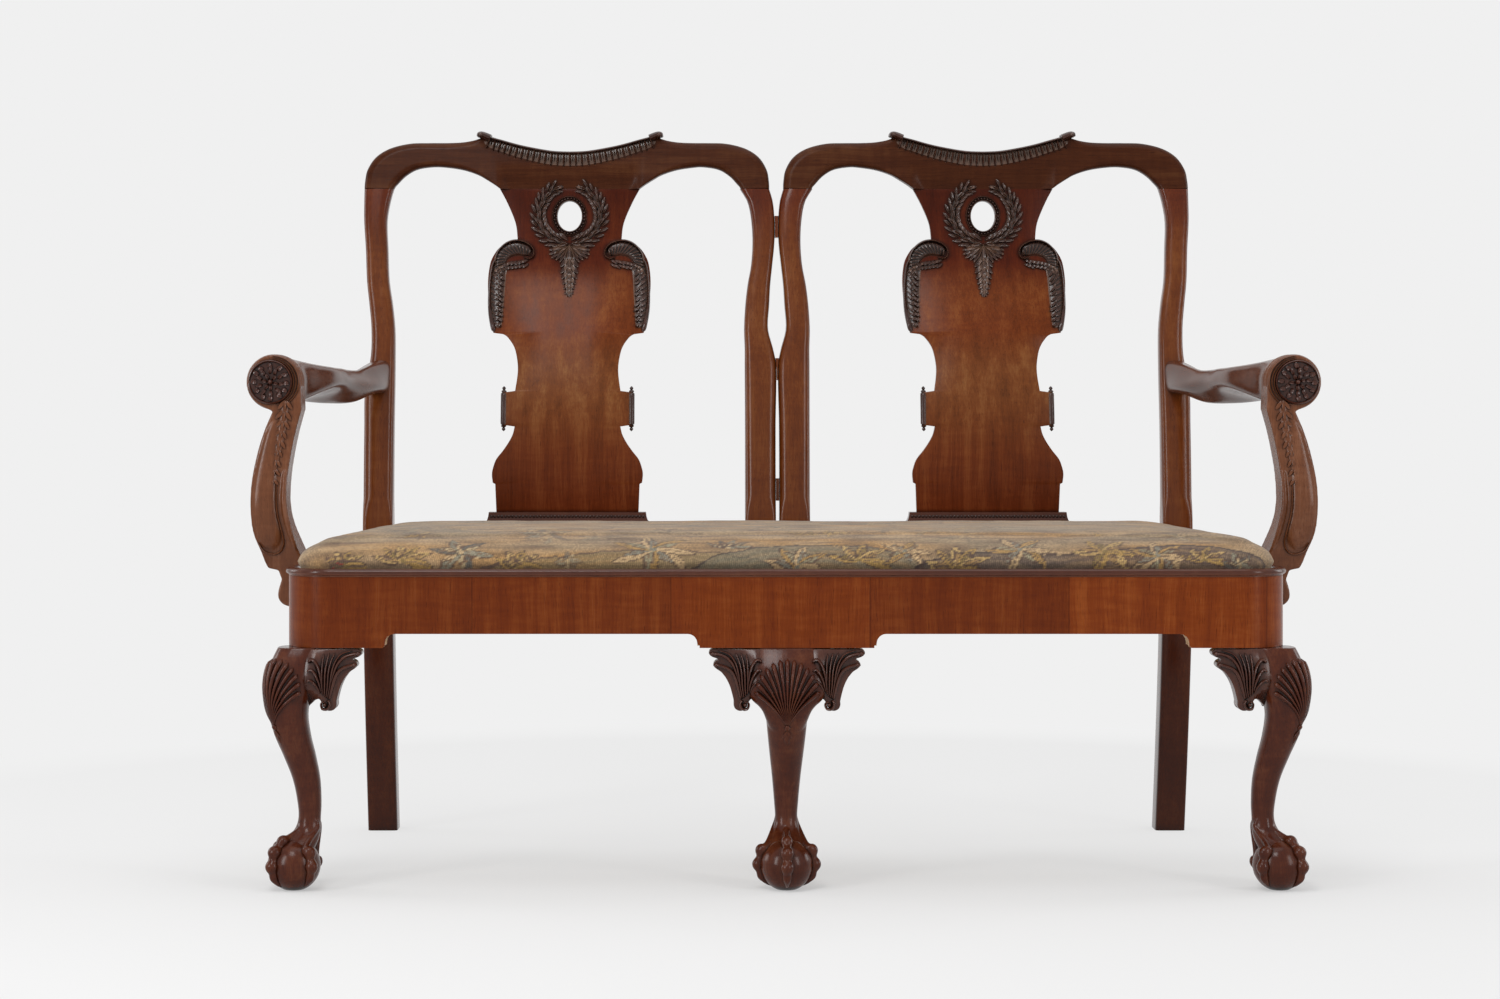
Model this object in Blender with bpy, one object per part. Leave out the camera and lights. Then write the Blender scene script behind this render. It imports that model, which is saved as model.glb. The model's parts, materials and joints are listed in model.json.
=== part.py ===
"""Double chair-back settee with scrolled arms, a slip seat and claw-and-ball feet.

Metres, +Z up, front towards -Y. While it is modelled, y = 0 is the front face of the
seat rail and x = 0 the centre line; the last step centres the settee on its depth.
"""

import math

import bmesh
import bpy
from mathutils import Matrix, Vector

# Fits and small rules of the joinery
FIT = 0.0003
SEAT_PLAY = 0.0015
OVERRUN = 0.002
SHARP_DEGREES = 38
BEVEL_DEGREES = 50
CORNER_STEPS = 6
BAY_STEPS = 4

# Seat frame in plan
RAIL_WIDTH = 1.308
RAIL_TAPER = 0.101
CORNER_RADIUS = 0.060
CORNER_RUN = 0.010
POST_FRONT = 0.489
RAIL_THICKNESS = 0.030
VENEER_THICKNESS = 0.0018
REAR_RAIL_THICKNESS = 0.040
REAR_RAIL_FRONT = 0.478

# Seat frame in height
FLOOR_TO_LIP = 0.4085
RAIL_HEIGHT = 0.0739
LEG_DROP = 0.0182
LIP_HEIGHT = 0.0105
LIP_WIDTH = 0.0150
LIP_PROUD = 0.0040
LIP_ROUNDING = 0.0030
SEAT_LEDGE_DEPTH = 0.0165
REAR_RAIL_RISE = 0.0215
DROP_HALF_CENTRE = 0.1135
DROP_OUTER = 0.1285
SIDE_DROP = 0.105
BAY_CORNER = 0.0125
BAY_QUIRK = 0.0030

# Tenons and braces of the seat frame
TENON_LENGTH = 0.0140
TENON_THICKNESS = 0.0100
TENON_HEIGHT = 0.0400
BRACE_WIDTH = 0.0500
BRACE_THICKNESS = 0.0200
BLOCK_HEIGHT = 0.0400
BLOCK_LEG = 0.0520
BLOCK_RISE = 0.0060

# Rear posts
POST_WIDTH = 0.0437
POST_DEPTH = 0.0460
POST_TOP_DEPTH = 0.0300
POST_SWING = 0.0158
REAR_LEG_RAKE = 0.0800
BACK_RAKE = 0.0950
SEAM_RISE = 0.5400
INNER_GAP = 0.0130
POST_TENON_WIDTH = 0.0180
POST_TENON_DEPTH = 0.0120
POST_TENON_HEIGHT = 0.0160
POST_SIDES = 12
FOOT_STEPS = 6
SQUARE_POST = 7
SOFT_POST = 4
SOFT_FROM_SHARE = 0.15

# Crest rails, one on each chair back
CHAIR_OFFSET = 0.00425
CREST_RISE = 0.0695
CREST_THICKNESS = 0.0280
CREST_ROUNDING = 0.0050

# Splats and shoes
SPLAT_HALF = 0.1200
SPLAT_THICKNESS = 0.0115
SPLAT_SPOON = 0.0150
SPLAT_TONGUE = 0.0080
SPLAT_TONGUE_THICKNESS = 0.0055
OVAL_HALF_WIDTH = 0.0180
OVAL_HALF_HEIGHT = 0.0223
OVAL_BELOW_SEAM = 0.0405
OVAL_RIM = 0.0065
OVAL_RIM_PROUD = 0.0020
ROLL_RADIUS = 0.0044
ROLL_HEIGHT = 0.0620
SPLAT_BANDS = 16
OVAL_SIDES = 20
SMALL_SIDES = 8
SHOE_HEIGHT = 0.0430
SHOE_HALF = 0.1230
SHOE_TOP_HALF = 0.1135
SHOE_DEPTH = 0.0330
SHOE_TOP_DEPTH = 0.0220

# Cabriole legs
LEG_INSET = 0.0295
LEG_BACK = 0.0370
KNEE_OUT = 0.0354
KNEE_HALF = 0.0300
FOOT_OUT = 0.0255
BALL_RADIUS = 0.0345
BALL_SINK = 0.0020
TOE_HALF = 0.0088
TOE_SPREAD = 0.0370
CENTRE_LEG_BACK = 0.0450
LEG_TENON_WIDTH = 0.0300
LEG_TENON_DEPTH = 0.0150
LEG_TENON_HEIGHT = 0.0400
LEG_SIDES = 16
TOE_SIDES = 6
BALL_SEGMENTS = (17, 11)

# Knee brackets
BRACKET_SPAN = 0.0605
BRACKET_DROP = 0.0810
BRACKET_THICKNESS = 0.0260
BRACKET_SEAM = 0.0410
BRACKET_LAP = 0.0120
BRACKET_BULGE = 0.0100
BRACKET_VOLUTE = 0.0085
VOLUTE_STEPS = 5

# Arms and their supports
SCROLL_OVERHANG = 0.0327
SCROLL_FLOOR = 0.6620
SCROLL_RADIUS = 0.0363
SUPPORT_FRONT = 0.1500
SUPPORT_DEPTH = 0.0480
SUPPORT_TAIL = 0.0500
SUPPORT_BOW = 0.0130
ARM_HALF_WIDTH = 0.0430
ARM_HALF_HEIGHT = 0.0330
ARM_RISE_AT_POST = 0.0080
ARM_DIP = 0.0060
ARM_TENON_HALF = 0.0070
SCREW_RADIUS = 0.0025
SCREW_HEAD_RADIUS = 0.0050
SCREW_HEAD_HEIGHT = 0.0030
SCREW_GRIP = 0.0220
SCREW_SPACING = 0.0240
SCREW_FLOOR = 0.3780
ARM_SCREW_LENGTH = 0.0300
ARM_SIDES = 16
ARM_SQUARENESS = 2.3
SCROLL_STEPS = 16
SCROLL_START_DEGREES = -62
SCROLL_END_DEGREES = 186
WELL_SIDES = 10

# Slip seat
SEAT_MARGIN = 0.0170
SEAT_FRAME_WIDTH = 0.0450
SEAT_FRAME_THICKNESS = 0.0200
SEAT_TENON = 0.0120
SEAT_TENON_THICKNESS = 0.0070
WEBBING_THICKNESS = 0.0020
WEB_WIDTH = 0.0550
WEB_COLUMNS = 9
WEB_ROWS = 3
CROWN_HEIGHT = 0.0360
EDGE_HEIGHT = 0.0200
CROWN_REACH = 0.1500
COVER_THICKNESS = 0.0020
CUSHION_SIDE_STEPS = 3
CUSHION_FRONT_STEPS = 8

# How far up the post, out from its lower line and how wide: shares of the rise above
# the seat rail, of the swing and of the post's width
OUTER_POST_SHARES = (
    (0.00, 0.00, 1.00), (0.35, 0.00, 1.00), (0.455, -0.02, 1.00), (0.54, -0.50, 0.82),
    (0.615, -0.51, 0.79), (0.68, -0.28, 0.78), (0.745, 0.00, 0.75), (0.833, 0.18, 0.75),
    (0.911, 0.40, 0.78), (0.967, 0.44, 0.89), (1.00, 0.44, 1.00))
INNER_POST_SHARES = (
    (0.00, 0.18, 1.03), (0.35, 0.18, 1.03), (0.515, 0.10, 1.06), (0.56, 0.43, 0.96),
    (0.615, 1.00, 0.81), (0.68, 0.85, 0.81), (0.735, 0.72, 0.77), (0.79, 0.48, 0.72),
    (0.856, 0.215, 0.75), (0.92, 0.215, 0.80), (0.967, 0.40, 0.87), (1.00, 0.785, 1.00))
# Heights of the post's sections, closest where it swings
POST_RING_SHARES = (0.12, 0.24, 0.35, 0.455, 0.51, 0.56, 0.615, 0.68, 0.745, 0.80, 0.856, 0.911, 0.955, 0.985)
# Slips between the inner posts: name, share of the rise at the foot and at the top
SPACER_SHARES = (("upper", 0.865, 0.925), ("middle", 0.475, 0.535), ("lower", 0.15, 0.21))
# Side view: share of the height, share of the rake
LEG_RAKE_SHARES = ((0.0, 1.0), (0.25, 0.66), (0.5, 0.36), (0.75, 0.12), (1.0, 0.0))
BACK_RAKE_SHARES = (
    (0.0, 0.0), (0.15, 0.02), (0.35, 0.14), (0.55, 0.36), (0.75, 0.64), (0.9, 0.86), (1.0, 1.0))
SPOON_SHARES = ((0.0, 0.0), (0.2, -0.75), (0.35, -1.0), (0.55, -0.2), (0.75, 0.9), (0.9, 0.4), (1.0, 0.0))

# Crest outline from the outer seam over the shoulder to the horn: shares of the half
# width and of the crest's rise
CREST_TOP_SHARES = (
    (1.0, 0.0), (1.0, 0.24), (0.985, 0.45), (0.948, 0.69), (0.893, 0.86), (0.834, 0.95),
    (0.775, 0.988), (0.66, 1.0), (0.54, 1.0), (0.49, 1.04), (0.462, 1.14))
HORN_SHARES = ((0.468, 1.20), (0.452, 1.255), (0.425, 1.25))
DIP_SHARES = ((0.41, 1.20), (0.335, 1.065), (0.25, 0.955), (0.165, 0.875), (0.08, 0.815), (0.0, 0.80))
CREST_ARCH_SHARES = (
    (0.335, 0.0), (0.365, 0.09), (0.405, 0.20), (0.45, 0.31), (0.52, 0.41), (0.60, 0.465),
    (0.67, 0.475), (0.745, 0.42), (0.80, 0.28), (0.84, 0.10), (0.8565, 0.0))
CREST_CUT_SHARES = (0.3, 0.6, 0.9)
SHOULDER_SHARE = 0.6

# Splat outline from the shoe upwards: shares of the splat's rise and half width, in runs
# that meet at the sharp steps of the outline
SPLAT_RUN_SHARES = (
    ((0.0, 0.862), (0.086, 0.875)),
    ((0.090, 0.905), (0.116, 0.915), (0.137, 0.90), (0.162, 0.862), (0.187, 0.785),
     (0.212, 0.717), (0.237, 0.665), (0.262, 0.640)),
    ((0.267, 0.785), (0.366, 0.785)),
    ((0.371, 0.640), (0.416, 0.615), (0.449, 0.612), (0.487, 0.636), (0.512, 0.6725),
     (0.537, 0.745), (0.546, 0.80)),
    ((0.550, 0.918), (0.587, 0.955), (0.648, 0.988), (0.712, 1.0), (0.761, 0.98), (0.787, 0.945),
     (0.812, 0.88), (0.829, 0.80), (0.8376, 0.725)),
    ((0.842, 0.640), (0.880, 0.655), (0.912, 0.692), (0.962, 0.78), (1.0, 0.862)))
ROLL_CENTRE_SHARE = 0.3165
ROLL_TURN_SHARES = ((0.0, 0.35), (0.05, 0.8), (0.10, 0.45), (0.14, 1.0), (0.86, 1.0), (0.90, 0.45),
                    (0.95, 0.8), (1.0, 0.35))

# Cabriole leg: shares of its height, of the knee's reach, of its half width, and squareness
LEG_SHARES = (
    (1.00, 0.62, 1.00, 3.4), (0.96, 0.74, 1.02, 3.4), (0.90, 0.90, 1.02, 3.2), (0.84, 0.98, 0.99, 3.0),
    (0.78, 1.00, 0.93, 2.8), (0.715, 0.96, 0.84, 2.6), (0.63, 0.75, 0.775, 2.4), (0.55, 0.455, 0.70, 2.3),
    (0.45, 0.14, 0.60, 2.2), (0.35, 0.0, 0.52, 2.1), (0.285, 0.0, 0.49, 2.0), (0.24, 0.06, 0.53, 2.0),
    (0.20, 0.30, 0.66, 2.0), (0.14, 0.60, 0.60, 2.0))
# A toe over the ball: degrees down from the top, reach and half width as shares
TOE_SHARES = ((8, 1.02, 0.70), (26, 1.04, 0.95), (42, 1.02, 0.80), (58, 1.08, 1.0), (74, 1.03, 0.78),
              (90, 1.07, 0.92), (106, 1.02, 0.62), (124, 1.0, 0.25))

# Knee bracket outline: shares of its span from the seam, and of its drop
BRACKET_TIP_SHARES = ((0.94, 0.0), (1.0, 0.065), (0.93, 0.12), (0.80, 0.17), (0.89, 0.235), (0.89, 0.30),
                      (0.76, 0.355), (0.655, 0.455), (0.565, 0.58), (0.505, 0.71), (0.465, 0.84))
BRACKET_VOLUTE_SHARES = (0.33, 0.89)
BRACKET_NOTCH_SHARES = (0.10, 0.80)
BRACKET_CUT_SHARES = (0.2, 0.45, 0.7)

# Arm support in front view, from the rail up: shares of the rise to the scroll's centre
# and of the reach from the rail's face to the scroll's centre
SUPPORT_OUTER_SHARES = ((-0.10, 0.82), (0.0, 0.86), (0.02, 1.20), (0.10, 1.38), (0.20, 1.60), (0.32, 1.68),
                        (0.47, 1.66), (0.62, 1.50), (0.74, 1.29), (0.845, 1.03))
SUPPORT_INNER_SHARES = ((0.855, 0.12), (0.74, 0.30), (0.62, 0.44), (0.47, 0.56), (0.35, 0.59), (0.25, 0.50),
                        (0.15, 0.30), (0.06, 0.10), (0.0, 0.02))
SUPPORT_CUT_SHARES = (0.0, 0.15, 0.3, 0.45, 0.6, 0.75)
SUPPORT_BOW_SHARES = ((0.0, 0.0), (0.35, -1.0), (0.7, -0.35), (1.0, 0.0), (1.3, 0.0))
# Arm from the scroll back to the post: shares of its run, sideways travel, half width,
# half height and height
ARM_SHARES = (
    (0.0, 0.0, 0.80, 1.04, 0.0), (0.06, 0.02, 0.83, 1.0, 0.0), (0.16, 0.10, 0.98, 0.80, 0.1),
    (0.28, 0.22, 1.04, 0.60, 0.0), (0.42, 0.36, 0.92, 0.50, -0.5), (0.56, 0.55, 0.66, 0.50, -1.0),
    (0.70, 0.74, 0.47, 0.56, -1.0), (0.84, 0.88, 0.40, 0.64, 0.2), (1.0, 1.0, 0.38, 0.72, 1.0))
# Heights at which the arm is fitted to the post, about the arm's middle
POST_FACE_SHARES = (-1.0, -0.75, -0.5, -0.25, 0.0, 0.25, 0.5, 0.75, 1.0)
# Crown of the stuffed seat: share of the reach in from the edge, share of the height
CROWN_SHARES = ((0.0, 0.0), (0.03, 0.26), (0.09, 0.48), (0.20, 0.68), (0.38, 0.85), (0.65, 0.96), (1.0, 1.0))

# Colours as seen: red, green, blue (linear) and roughness
WALNUT_VENEER = ((0.262, 0.085, 0.024), 0.28)
MAHOGANY = ((0.130, 0.040, 0.016), 0.33)
DARK_CARVING = ((0.060, 0.022, 0.012), 0.38)
SPLAT_VENEER = ((0.165, 0.058, 0.022), 0.36)
BEECH = ((0.400, 0.255, 0.130), 0.65)
IRON = ((0.120, 0.110, 0.100), 0.45)
JUTE = ((0.360, 0.270, 0.150), 0.90)
HORSEHAIR = ((0.085, 0.070, 0.055), 0.95)
NEEDLEWORK = ((0.310, 0.265, 0.165), 0.95)

REAR_WIDTH = RAIL_WIDTH - RAIL_TAPER
CORNER_BACK = CORNER_RADIUS + CORNER_RUN
CHAIR_CENTRE = REAR_WIDTH / 4 + CHAIR_OFFSET
CREST_HALF_OUTER = REAR_WIDTH / 2 + POST_SWING * OUTER_POST_SHARES[-1][1] - CHAIR_CENTRE
CREST_HALF_INNER = CHAIR_CENTRE - INNER_GAP * INNER_POST_SHARES[-1][1]
LEG_ACROSS = RAIL_WIDTH / 2 - LEG_INSET
SCROLL_ACROSS = RAIL_WIDTH / 2 + SCROLL_OVERHANG
LEG_TOP = FLOOR_TO_LIP - RAIL_HEIGHT - LEG_DROP - FIT
RAIL_BOTTOM = FLOOR_TO_LIP - RAIL_HEIGHT
DROP_BOTTOM = RAIL_BOTTOM - LEG_DROP
SEAT_LEDGE = FLOOR_TO_LIP - SEAT_LEDGE_DEPTH
REAR_RAIL_TOP = FLOOR_TO_LIP + REAR_RAIL_RISE
SEAM_HEIGHT = FLOOR_TO_LIP + SEAM_RISE
SHOE_TOP = REAR_RAIL_TOP + SHOE_HEIGHT
CREST_TOP = SEAM_HEIGHT + CREST_RISE
POST_CENTRE_DEPTH = POST_FRONT + POST_DEPTH / 2
SEAT_BACK = POST_FRONT - SEAT_PLAY


def clear_scene():
    """Remove whatever the file holds, so that only the settee is left."""
    for item in list(bpy.data.objects):
        bpy.data.objects.remove(item, do_unlink=True)


def smooth_value(table, x):
    """Read a table of (x, value) pairs as one smooth curve."""
    last = len(table) - 1
    if x <= table[0][0]:
        return table[0][1]
    if x >= table[last][0]:
        return table[last][1]
    i = max(k for k in range(last) if table[k][0] <= x)
    slopes = []
    for k in (i, i + 1):
        low, high = table[max(k - 1, 0)], table[min(k + 1, last)]
        slopes.append((high[1] - low[1]) / (high[0] - low[0]))
    span = table[i + 1][0] - table[i][0]
    t = (x - table[i][0]) / span
    start = (1 + 2 * t) * (1 - t) ** 2 * table[i][1] + t * (1 - t) ** 2 * span * slopes[0]
    end = t * t * (3 - 2 * t) * table[i + 1][1] + t * t * (t - 1) * span * slopes[1]
    return start + end


def smooth_run(points, steps):
    """A Catmull-Rom curve through 2-D points, with so many steps to each stretch."""
    result = []
    last = len(points) - 1
    for i in range(last):
        a, b, c, d = (Vector(points[k]) for k in (max(i - 1, 0), i, i + 1, min(i + 2, last)))
        for step in range(steps):
            t = step / steps
            result.append(0.5 * (2 * b + (c - a) * t + (2 * a - 5 * b + 4 * c - d) * t * t
                                 + (3 * b - a - 3 * c + d) * t ** 3))
    result.append(Vector(points[last]))
    return result


def arc(centre, radius, start, end, steps):
    """Points of an arc, from one angle in degrees to another."""
    turns = [math.radians(start + (end - start) * i / steps) for i in range(steps + 1)]
    return [Vector((centre[0] + radius * math.cos(a), centre[1] + radius * math.sin(a))) for a in turns]


def make_material(name, finish):
    """A plain finish: its colour and how rough it is."""
    material = bpy.data.materials.new(name)
    material.use_nodes = True
    shader = material.node_tree.nodes["Principled BSDF"]
    colour, roughness = finish
    shader.inputs["Base Color"].default_value = (*colour, 1.0)
    shader.inputs["Roughness"].default_value = roughness
    shader.inputs["Metallic"].default_value = 1.0 if finish is IRON else 0.0
    material.diffuse_color = (*colour, 1.0)
    return material


class Bench:
    """Collects the pieces under the empty that places them."""

    def __init__(self):
        self.frame = self.add_empty("settee_frame", None)
        self.seat = self.add_empty("slip_seat_lift", self.frame)
        self.seat.location = (0, SEAT_BACK / 2, SEAT_LEDGE)

    def add_empty(self, name, parent):
        """An empty that places the pieces below it."""
        empty = bpy.data.objects.new(name, None)
        bpy.context.scene.collection.objects.link(empty)
        empty.parent = parent
        return empty

    def add(self, name, bm, finish, parent=None):
        """Turn a bmesh into a named piece with a finish of its own."""
        bmesh.ops.recalc_face_normals(bm, faces=bm.faces)
        if bm.calc_volume(signed=True) < 0:
            bmesh.ops.reverse_faces(bm, faces=bm.faces)
        mesh = bpy.data.meshes.new(name)
        bm.to_mesh(mesh)
        bm.free()
        mesh.shade_smooth()
        mesh.set_sharp_from_angle(angle=math.radians(SHARP_DEGREES))
        piece = bpy.data.objects.new(name, mesh)
        bpy.context.scene.collection.objects.link(piece)
        piece.parent = parent or self.frame
        if parent:
            piece.matrix_parent_inverse = Matrix.Translation(parent.location).inverted()
        if finish is not None:
            mesh.materials.append(make_material(name + "_finish", finish))
        return piece

    def add_cutter(self, name, bm):
        """A guide that shapes a piece and is no piece itself."""
        cutter = self.add(name, bm, None)
        cutter.hide_render = True
        cutter.display_type = "WIRE"
        return cutter


def combine(piece, other, operation):
    """Cut one solid with another, or join them into one body."""
    modifier = piece.modifiers.new(other.name, "BOOLEAN")
    modifier.operation = operation
    modifier.solver = "EXACT"
    modifier.object = other


def round_edges(piece, width):
    """Take the sharpness off the edges of a piece."""
    bevel = piece.modifiers.new("rounding", "BEVEL")
    bevel.width = width
    bevel.segments = 2
    bevel.limit_method = "ANGLE"
    bevel.angle_limit = math.radians(BEVEL_DEGREES)


def box(x, y, z):
    """A block between two values on each axis."""
    bm = bmesh.new()
    bmesh.ops.create_cube(bm, size=1.0)
    size = Vector((x[1] - x[0], y[1] - y[0], z[1] - z[0]))
    centre = Vector((x[1] + x[0], y[1] + y[0], z[1] + z[0])) / 2
    bmesh.ops.scale(bm, vec=size, verts=bm.verts)
    bmesh.ops.translate(bm, vec=centre, verts=bm.verts)
    return bm


def slab(outline, low, high):
    """A plan outline (x, y) raised from one height to another."""
    bm = bmesh.new()
    face = bm.faces.new([bm.verts.new((p[0], p[1], low)) for p in outline])
    raised = bmesh.ops.extrude_face_region(bm, geom=[face])
    top = [item for item in raised["geom"] if isinstance(item, bmesh.types.BMVert)]
    bmesh.ops.translate(bm, vec=(0, 0, high - low), verts=top)
    return bm


def plate(outline, front, back, heights=(), line=None):
    """A front-view outline (x, z) given depth, and bent to follow a line in side view."""
    bm = bmesh.new()
    face = bm.faces.new([bm.verts.new((p[0], front, p[1])) for p in outline])
    for height in heights:
        bmesh.ops.bisect_plane(bm, geom=bm.faces[:] + bm.edges[:] + bm.verts[:],
                               plane_co=(0, 0, height), plane_no=(0, 0, 1))
    raised = bmesh.ops.extrude_face_region(bm, geom=bm.faces[:])
    rear = [item for item in raised["geom"] if isinstance(item, bmesh.types.BMVert)]
    bmesh.ops.translate(bm, vec=(0, back - front, 0), verts=rear)
    if line:
        ends = [point[1] for point in outline]
        levels = [min(ends)] + [height for height in heights if min(ends) < height < max(ends)] + [max(ends)]
        for vert in bm.verts:
            vert.co.y += banded_value(line, levels, vert.co.z)
    return bm


def banded_value(line, levels, z):
    """A line in side view, straight between its levels so that each band stays flat."""
    i = max([k for k in range(len(levels) - 1) if levels[k] <= z] or [0])
    low, high = levels[i], levels[i + 1]
    return line(low) + (line(high) - line(low)) * (z - low) / (high - low)


def loft(rings):
    """Skin a row of rings with equal counts and close both ends."""
    bm = bmesh.new()
    loops = [[bm.verts.new(point) for point in ring] for ring in rings]
    for low, high in zip(loops, loops[1:]):
        for i in range(len(low)):
            bm.faces.new((low[i - 1], low[i], high[i], high[i - 1]))
    bm.faces.new(loops[0])
    bm.faces.new(list(reversed(loops[-1])))
    return bm


def turned(profile, segments, axis_end):
    """A turned solid about Z from (radius, height) pairs, then laid along an axis."""
    rings = []
    for radius, height in profile:
        angles = [math.tau * i / segments for i in range(segments)]
        rings.append([Vector((radius * math.cos(a), radius * math.sin(a), height)) for a in angles])
    bm = loft(rings)
    turn = Vector((0, 0, 1)).rotation_difference(Vector(axis_end)).to_matrix()
    bmesh.ops.rotate(bm, cent=(0, 0, 0), matrix=turn, verts=bm.verts)
    return bm


def squircle(centre, half_x, half_y, squareness, count):
    """A ring that runs from a circle (2) towards a square (larger values)."""
    ring = []
    for i in range(count):
        a = math.tau * (i + 0.5) / count
        c, s = math.cos(a), math.sin(a)
        ring.append(Vector((centre[0] + half_x * math.copysign(abs(c) ** (2 / squareness), c),
                            centre[1] + half_y * math.copysign(abs(s) ** (2 / squareness), s))))
    return ring


def shifted(bm, offset):
    """The same bmesh, moved."""
    bmesh.ops.translate(bm, vec=offset, verts=bm.verts)
    return bm


# Seat plan

def side_turn():
    """The angle at which the rounded corner runs into the straight side."""
    to_rear = Vector((REAR_WIDTH / 2 - (RAIL_WIDTH / 2 - CORNER_RADIUS), POST_FRONT - CORNER_RADIUS))
    return math.atan2(to_rear.y, to_rear.x) - math.acos(CORNER_RADIUS / to_rear.length)


def side_x(inset, y):
    """Distance from the centre line to the side of the plan, set in by so much."""
    turn = side_turn()
    centre = RAIL_WIDTH / 2 - CORNER_RADIUS
    return centre + (CORNER_RADIUS - inset - (y - CORNER_RADIUS) * math.sin(turn)) / math.cos(turn)


def corner_points(inset):
    """The rounded front corner on the right, from the front face to the side."""
    centre = (RAIL_WIDTH / 2 - CORNER_RADIUS, CORNER_RADIUS)
    return arc(centre, CORNER_RADIUS - inset, -90, math.degrees(side_turn()), CORNER_STEPS)


def band(outer, inner, back):
    """The strip along the front and round both corners, back to a given depth."""
    right_outer = corner_points(outer) + [Vector((side_x(outer, back), back))]
    right_inner = corner_points(inner) + [Vector((side_x(inner, back), back))]
    mirror = [Vector((-p.x, p.y)) for p in reversed(right_outer)]
    mirror_inner = [Vector((-p.x, p.y)) for p in right_inner]
    return mirror + right_outer + list(reversed(right_inner)) + mirror_inner


def seat_outline(inset, back):
    """The closed plan of the seat's rebate."""
    half = corner_points(inset) + [Vector((side_x(inset, back), back))]
    mirror = [Vector((-p.x, p.y)) for p in reversed(half)]
    return mirror + half


def seat_well(bench):
    """The rebate that the loose seat drops into."""
    outline = seat_outline(SEAT_MARGIN - SEAT_PLAY, POST_FRONT)
    return bench.add_cutter("seat_well", slab(outline, SEAT_LEDGE, REAR_RAIL_TOP + OVERRUN))


def bay_outline(start, end, depth=OVERRUN):
    """The raised stretch under a rail, with round upper corners and a small quirk."""
    low = DROP_BOTTOM - depth
    step = DROP_BOTTOM + BAY_QUIRK
    crown = RAIL_BOTTOM - BAY_CORNER
    left = arc((start + BAY_QUIRK + BAY_CORNER, crown), BAY_CORNER, 180, 90, BAY_STEPS)
    right = arc((end - BAY_QUIRK - BAY_CORNER, crown), BAY_CORNER, 90, 0, BAY_STEPS)
    return ([Vector((start, low)), Vector((start, step)), Vector((start + BAY_QUIRK, step))] + left + right
            + [Vector((end - BAY_QUIRK, step)), Vector((end, step)), Vector((end, low))])


def front_bays(bench):
    """The two bays between the three front legs."""
    bays = []
    for side in (-1, 1):
        outline = bay_outline(DROP_HALF_CENTRE, RAIL_WIDTH / 2 - DROP_OUTER)
        outline = [Vector((side * p.x, p.y)) for p in outline]
        bays.append(bench.add_cutter("front_bay", plate(outline, -OVERRUN, RAIL_THICKNESS + OVERRUN)))
    return bays


def side_bay(bench):
    """The bay between the front and rear legs, right through both side rails."""
    outline = bay_outline(SIDE_DROP, POST_FRONT + SIDE_DROP)
    bm = slab([(p.x, p.y) for p in outline], -RAIL_WIDTH / 2 - OVERRUN, RAIL_WIDTH / 2 + OVERRUN)
    for vert in bm.verts:
        vert.co = Vector((vert.co.z, vert.co.x, vert.co.y))
    return bench.add_cutter("side_bay", bm)


def tenon(x, y, z, grow=0.0):
    """A tenon, or with some growth its mortise."""
    return box((x[0] - grow, x[1] + grow), (y[0] - grow, y[1] + grow), (z[0] - grow, z[1] + grow))


def rail_tenon_heights():
    """Where the tenons of the seat rails lie in height."""
    middle = (SEAT_LEDGE + RAIL_BOTTOM) / 2
    return middle - TENON_HEIGHT / 2, middle + TENON_HEIGHT / 2


def front_tenon(side, grow=0.0):
    """The front rail's tenon in the outer leg's stile."""
    start = RAIL_WIDTH / 2 - CORNER_RADIUS
    middle = (VENEER_THICKNESS + RAIL_THICKNESS) / 2
    x = sorted((side * (start - OVERRUN), side * (start + TENON_LENGTH)))
    y = (middle - TENON_THICKNESS / 2, middle + TENON_THICKNESS / 2)
    return tenon(x, y, rail_tenon_heights(), grow)


def side_tenon(side, end, grow=0.0):
    """The side rail's tenon in the front stile or in the rear post."""
    start = CORNER_BACK if end < 0 else POST_FRONT
    middle = side_x((VENEER_THICKNESS + RAIL_THICKNESS) / 2, start)
    x = (side * middle - TENON_THICKNESS / 2, side * middle + TENON_THICKNESS / 2)
    y = sorted((start - end * OVERRUN, start + end * TENON_LENGTH))
    return tenon(x, y, rail_tenon_heights(), grow)


def rear_tenon(side, grow=0.0):
    """The rear rail's tenon in the outer post."""
    start = REAR_WIDTH / 2 - POST_WIDTH
    middle = REAR_RAIL_FRONT + REAR_RAIL_THICKNESS * 3 / 4
    x = sorted((side * (start - OVERRUN), side * (start + TENON_LENGTH)))
    y = (middle - TENON_THICKNESS / 2, middle + TENON_THICKNESS / 2)
    return tenon(x, y, rail_tenon_heights(), grow)


def leg_tenon(grow=0.0):
    """The centre leg's tenon up into the front rail."""
    middle = (VENEER_THICKNESS + RAIL_THICKNESS) / 2
    return tenon((-LEG_TENON_WIDTH / 2, LEG_TENON_WIDTH / 2),
                 (middle - LEG_TENON_DEPTH / 2, middle + LEG_TENON_DEPTH / 2),
                 (LEG_TOP - OVERRUN, LEG_TOP + LEG_TENON_HEIGHT), grow)


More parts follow.
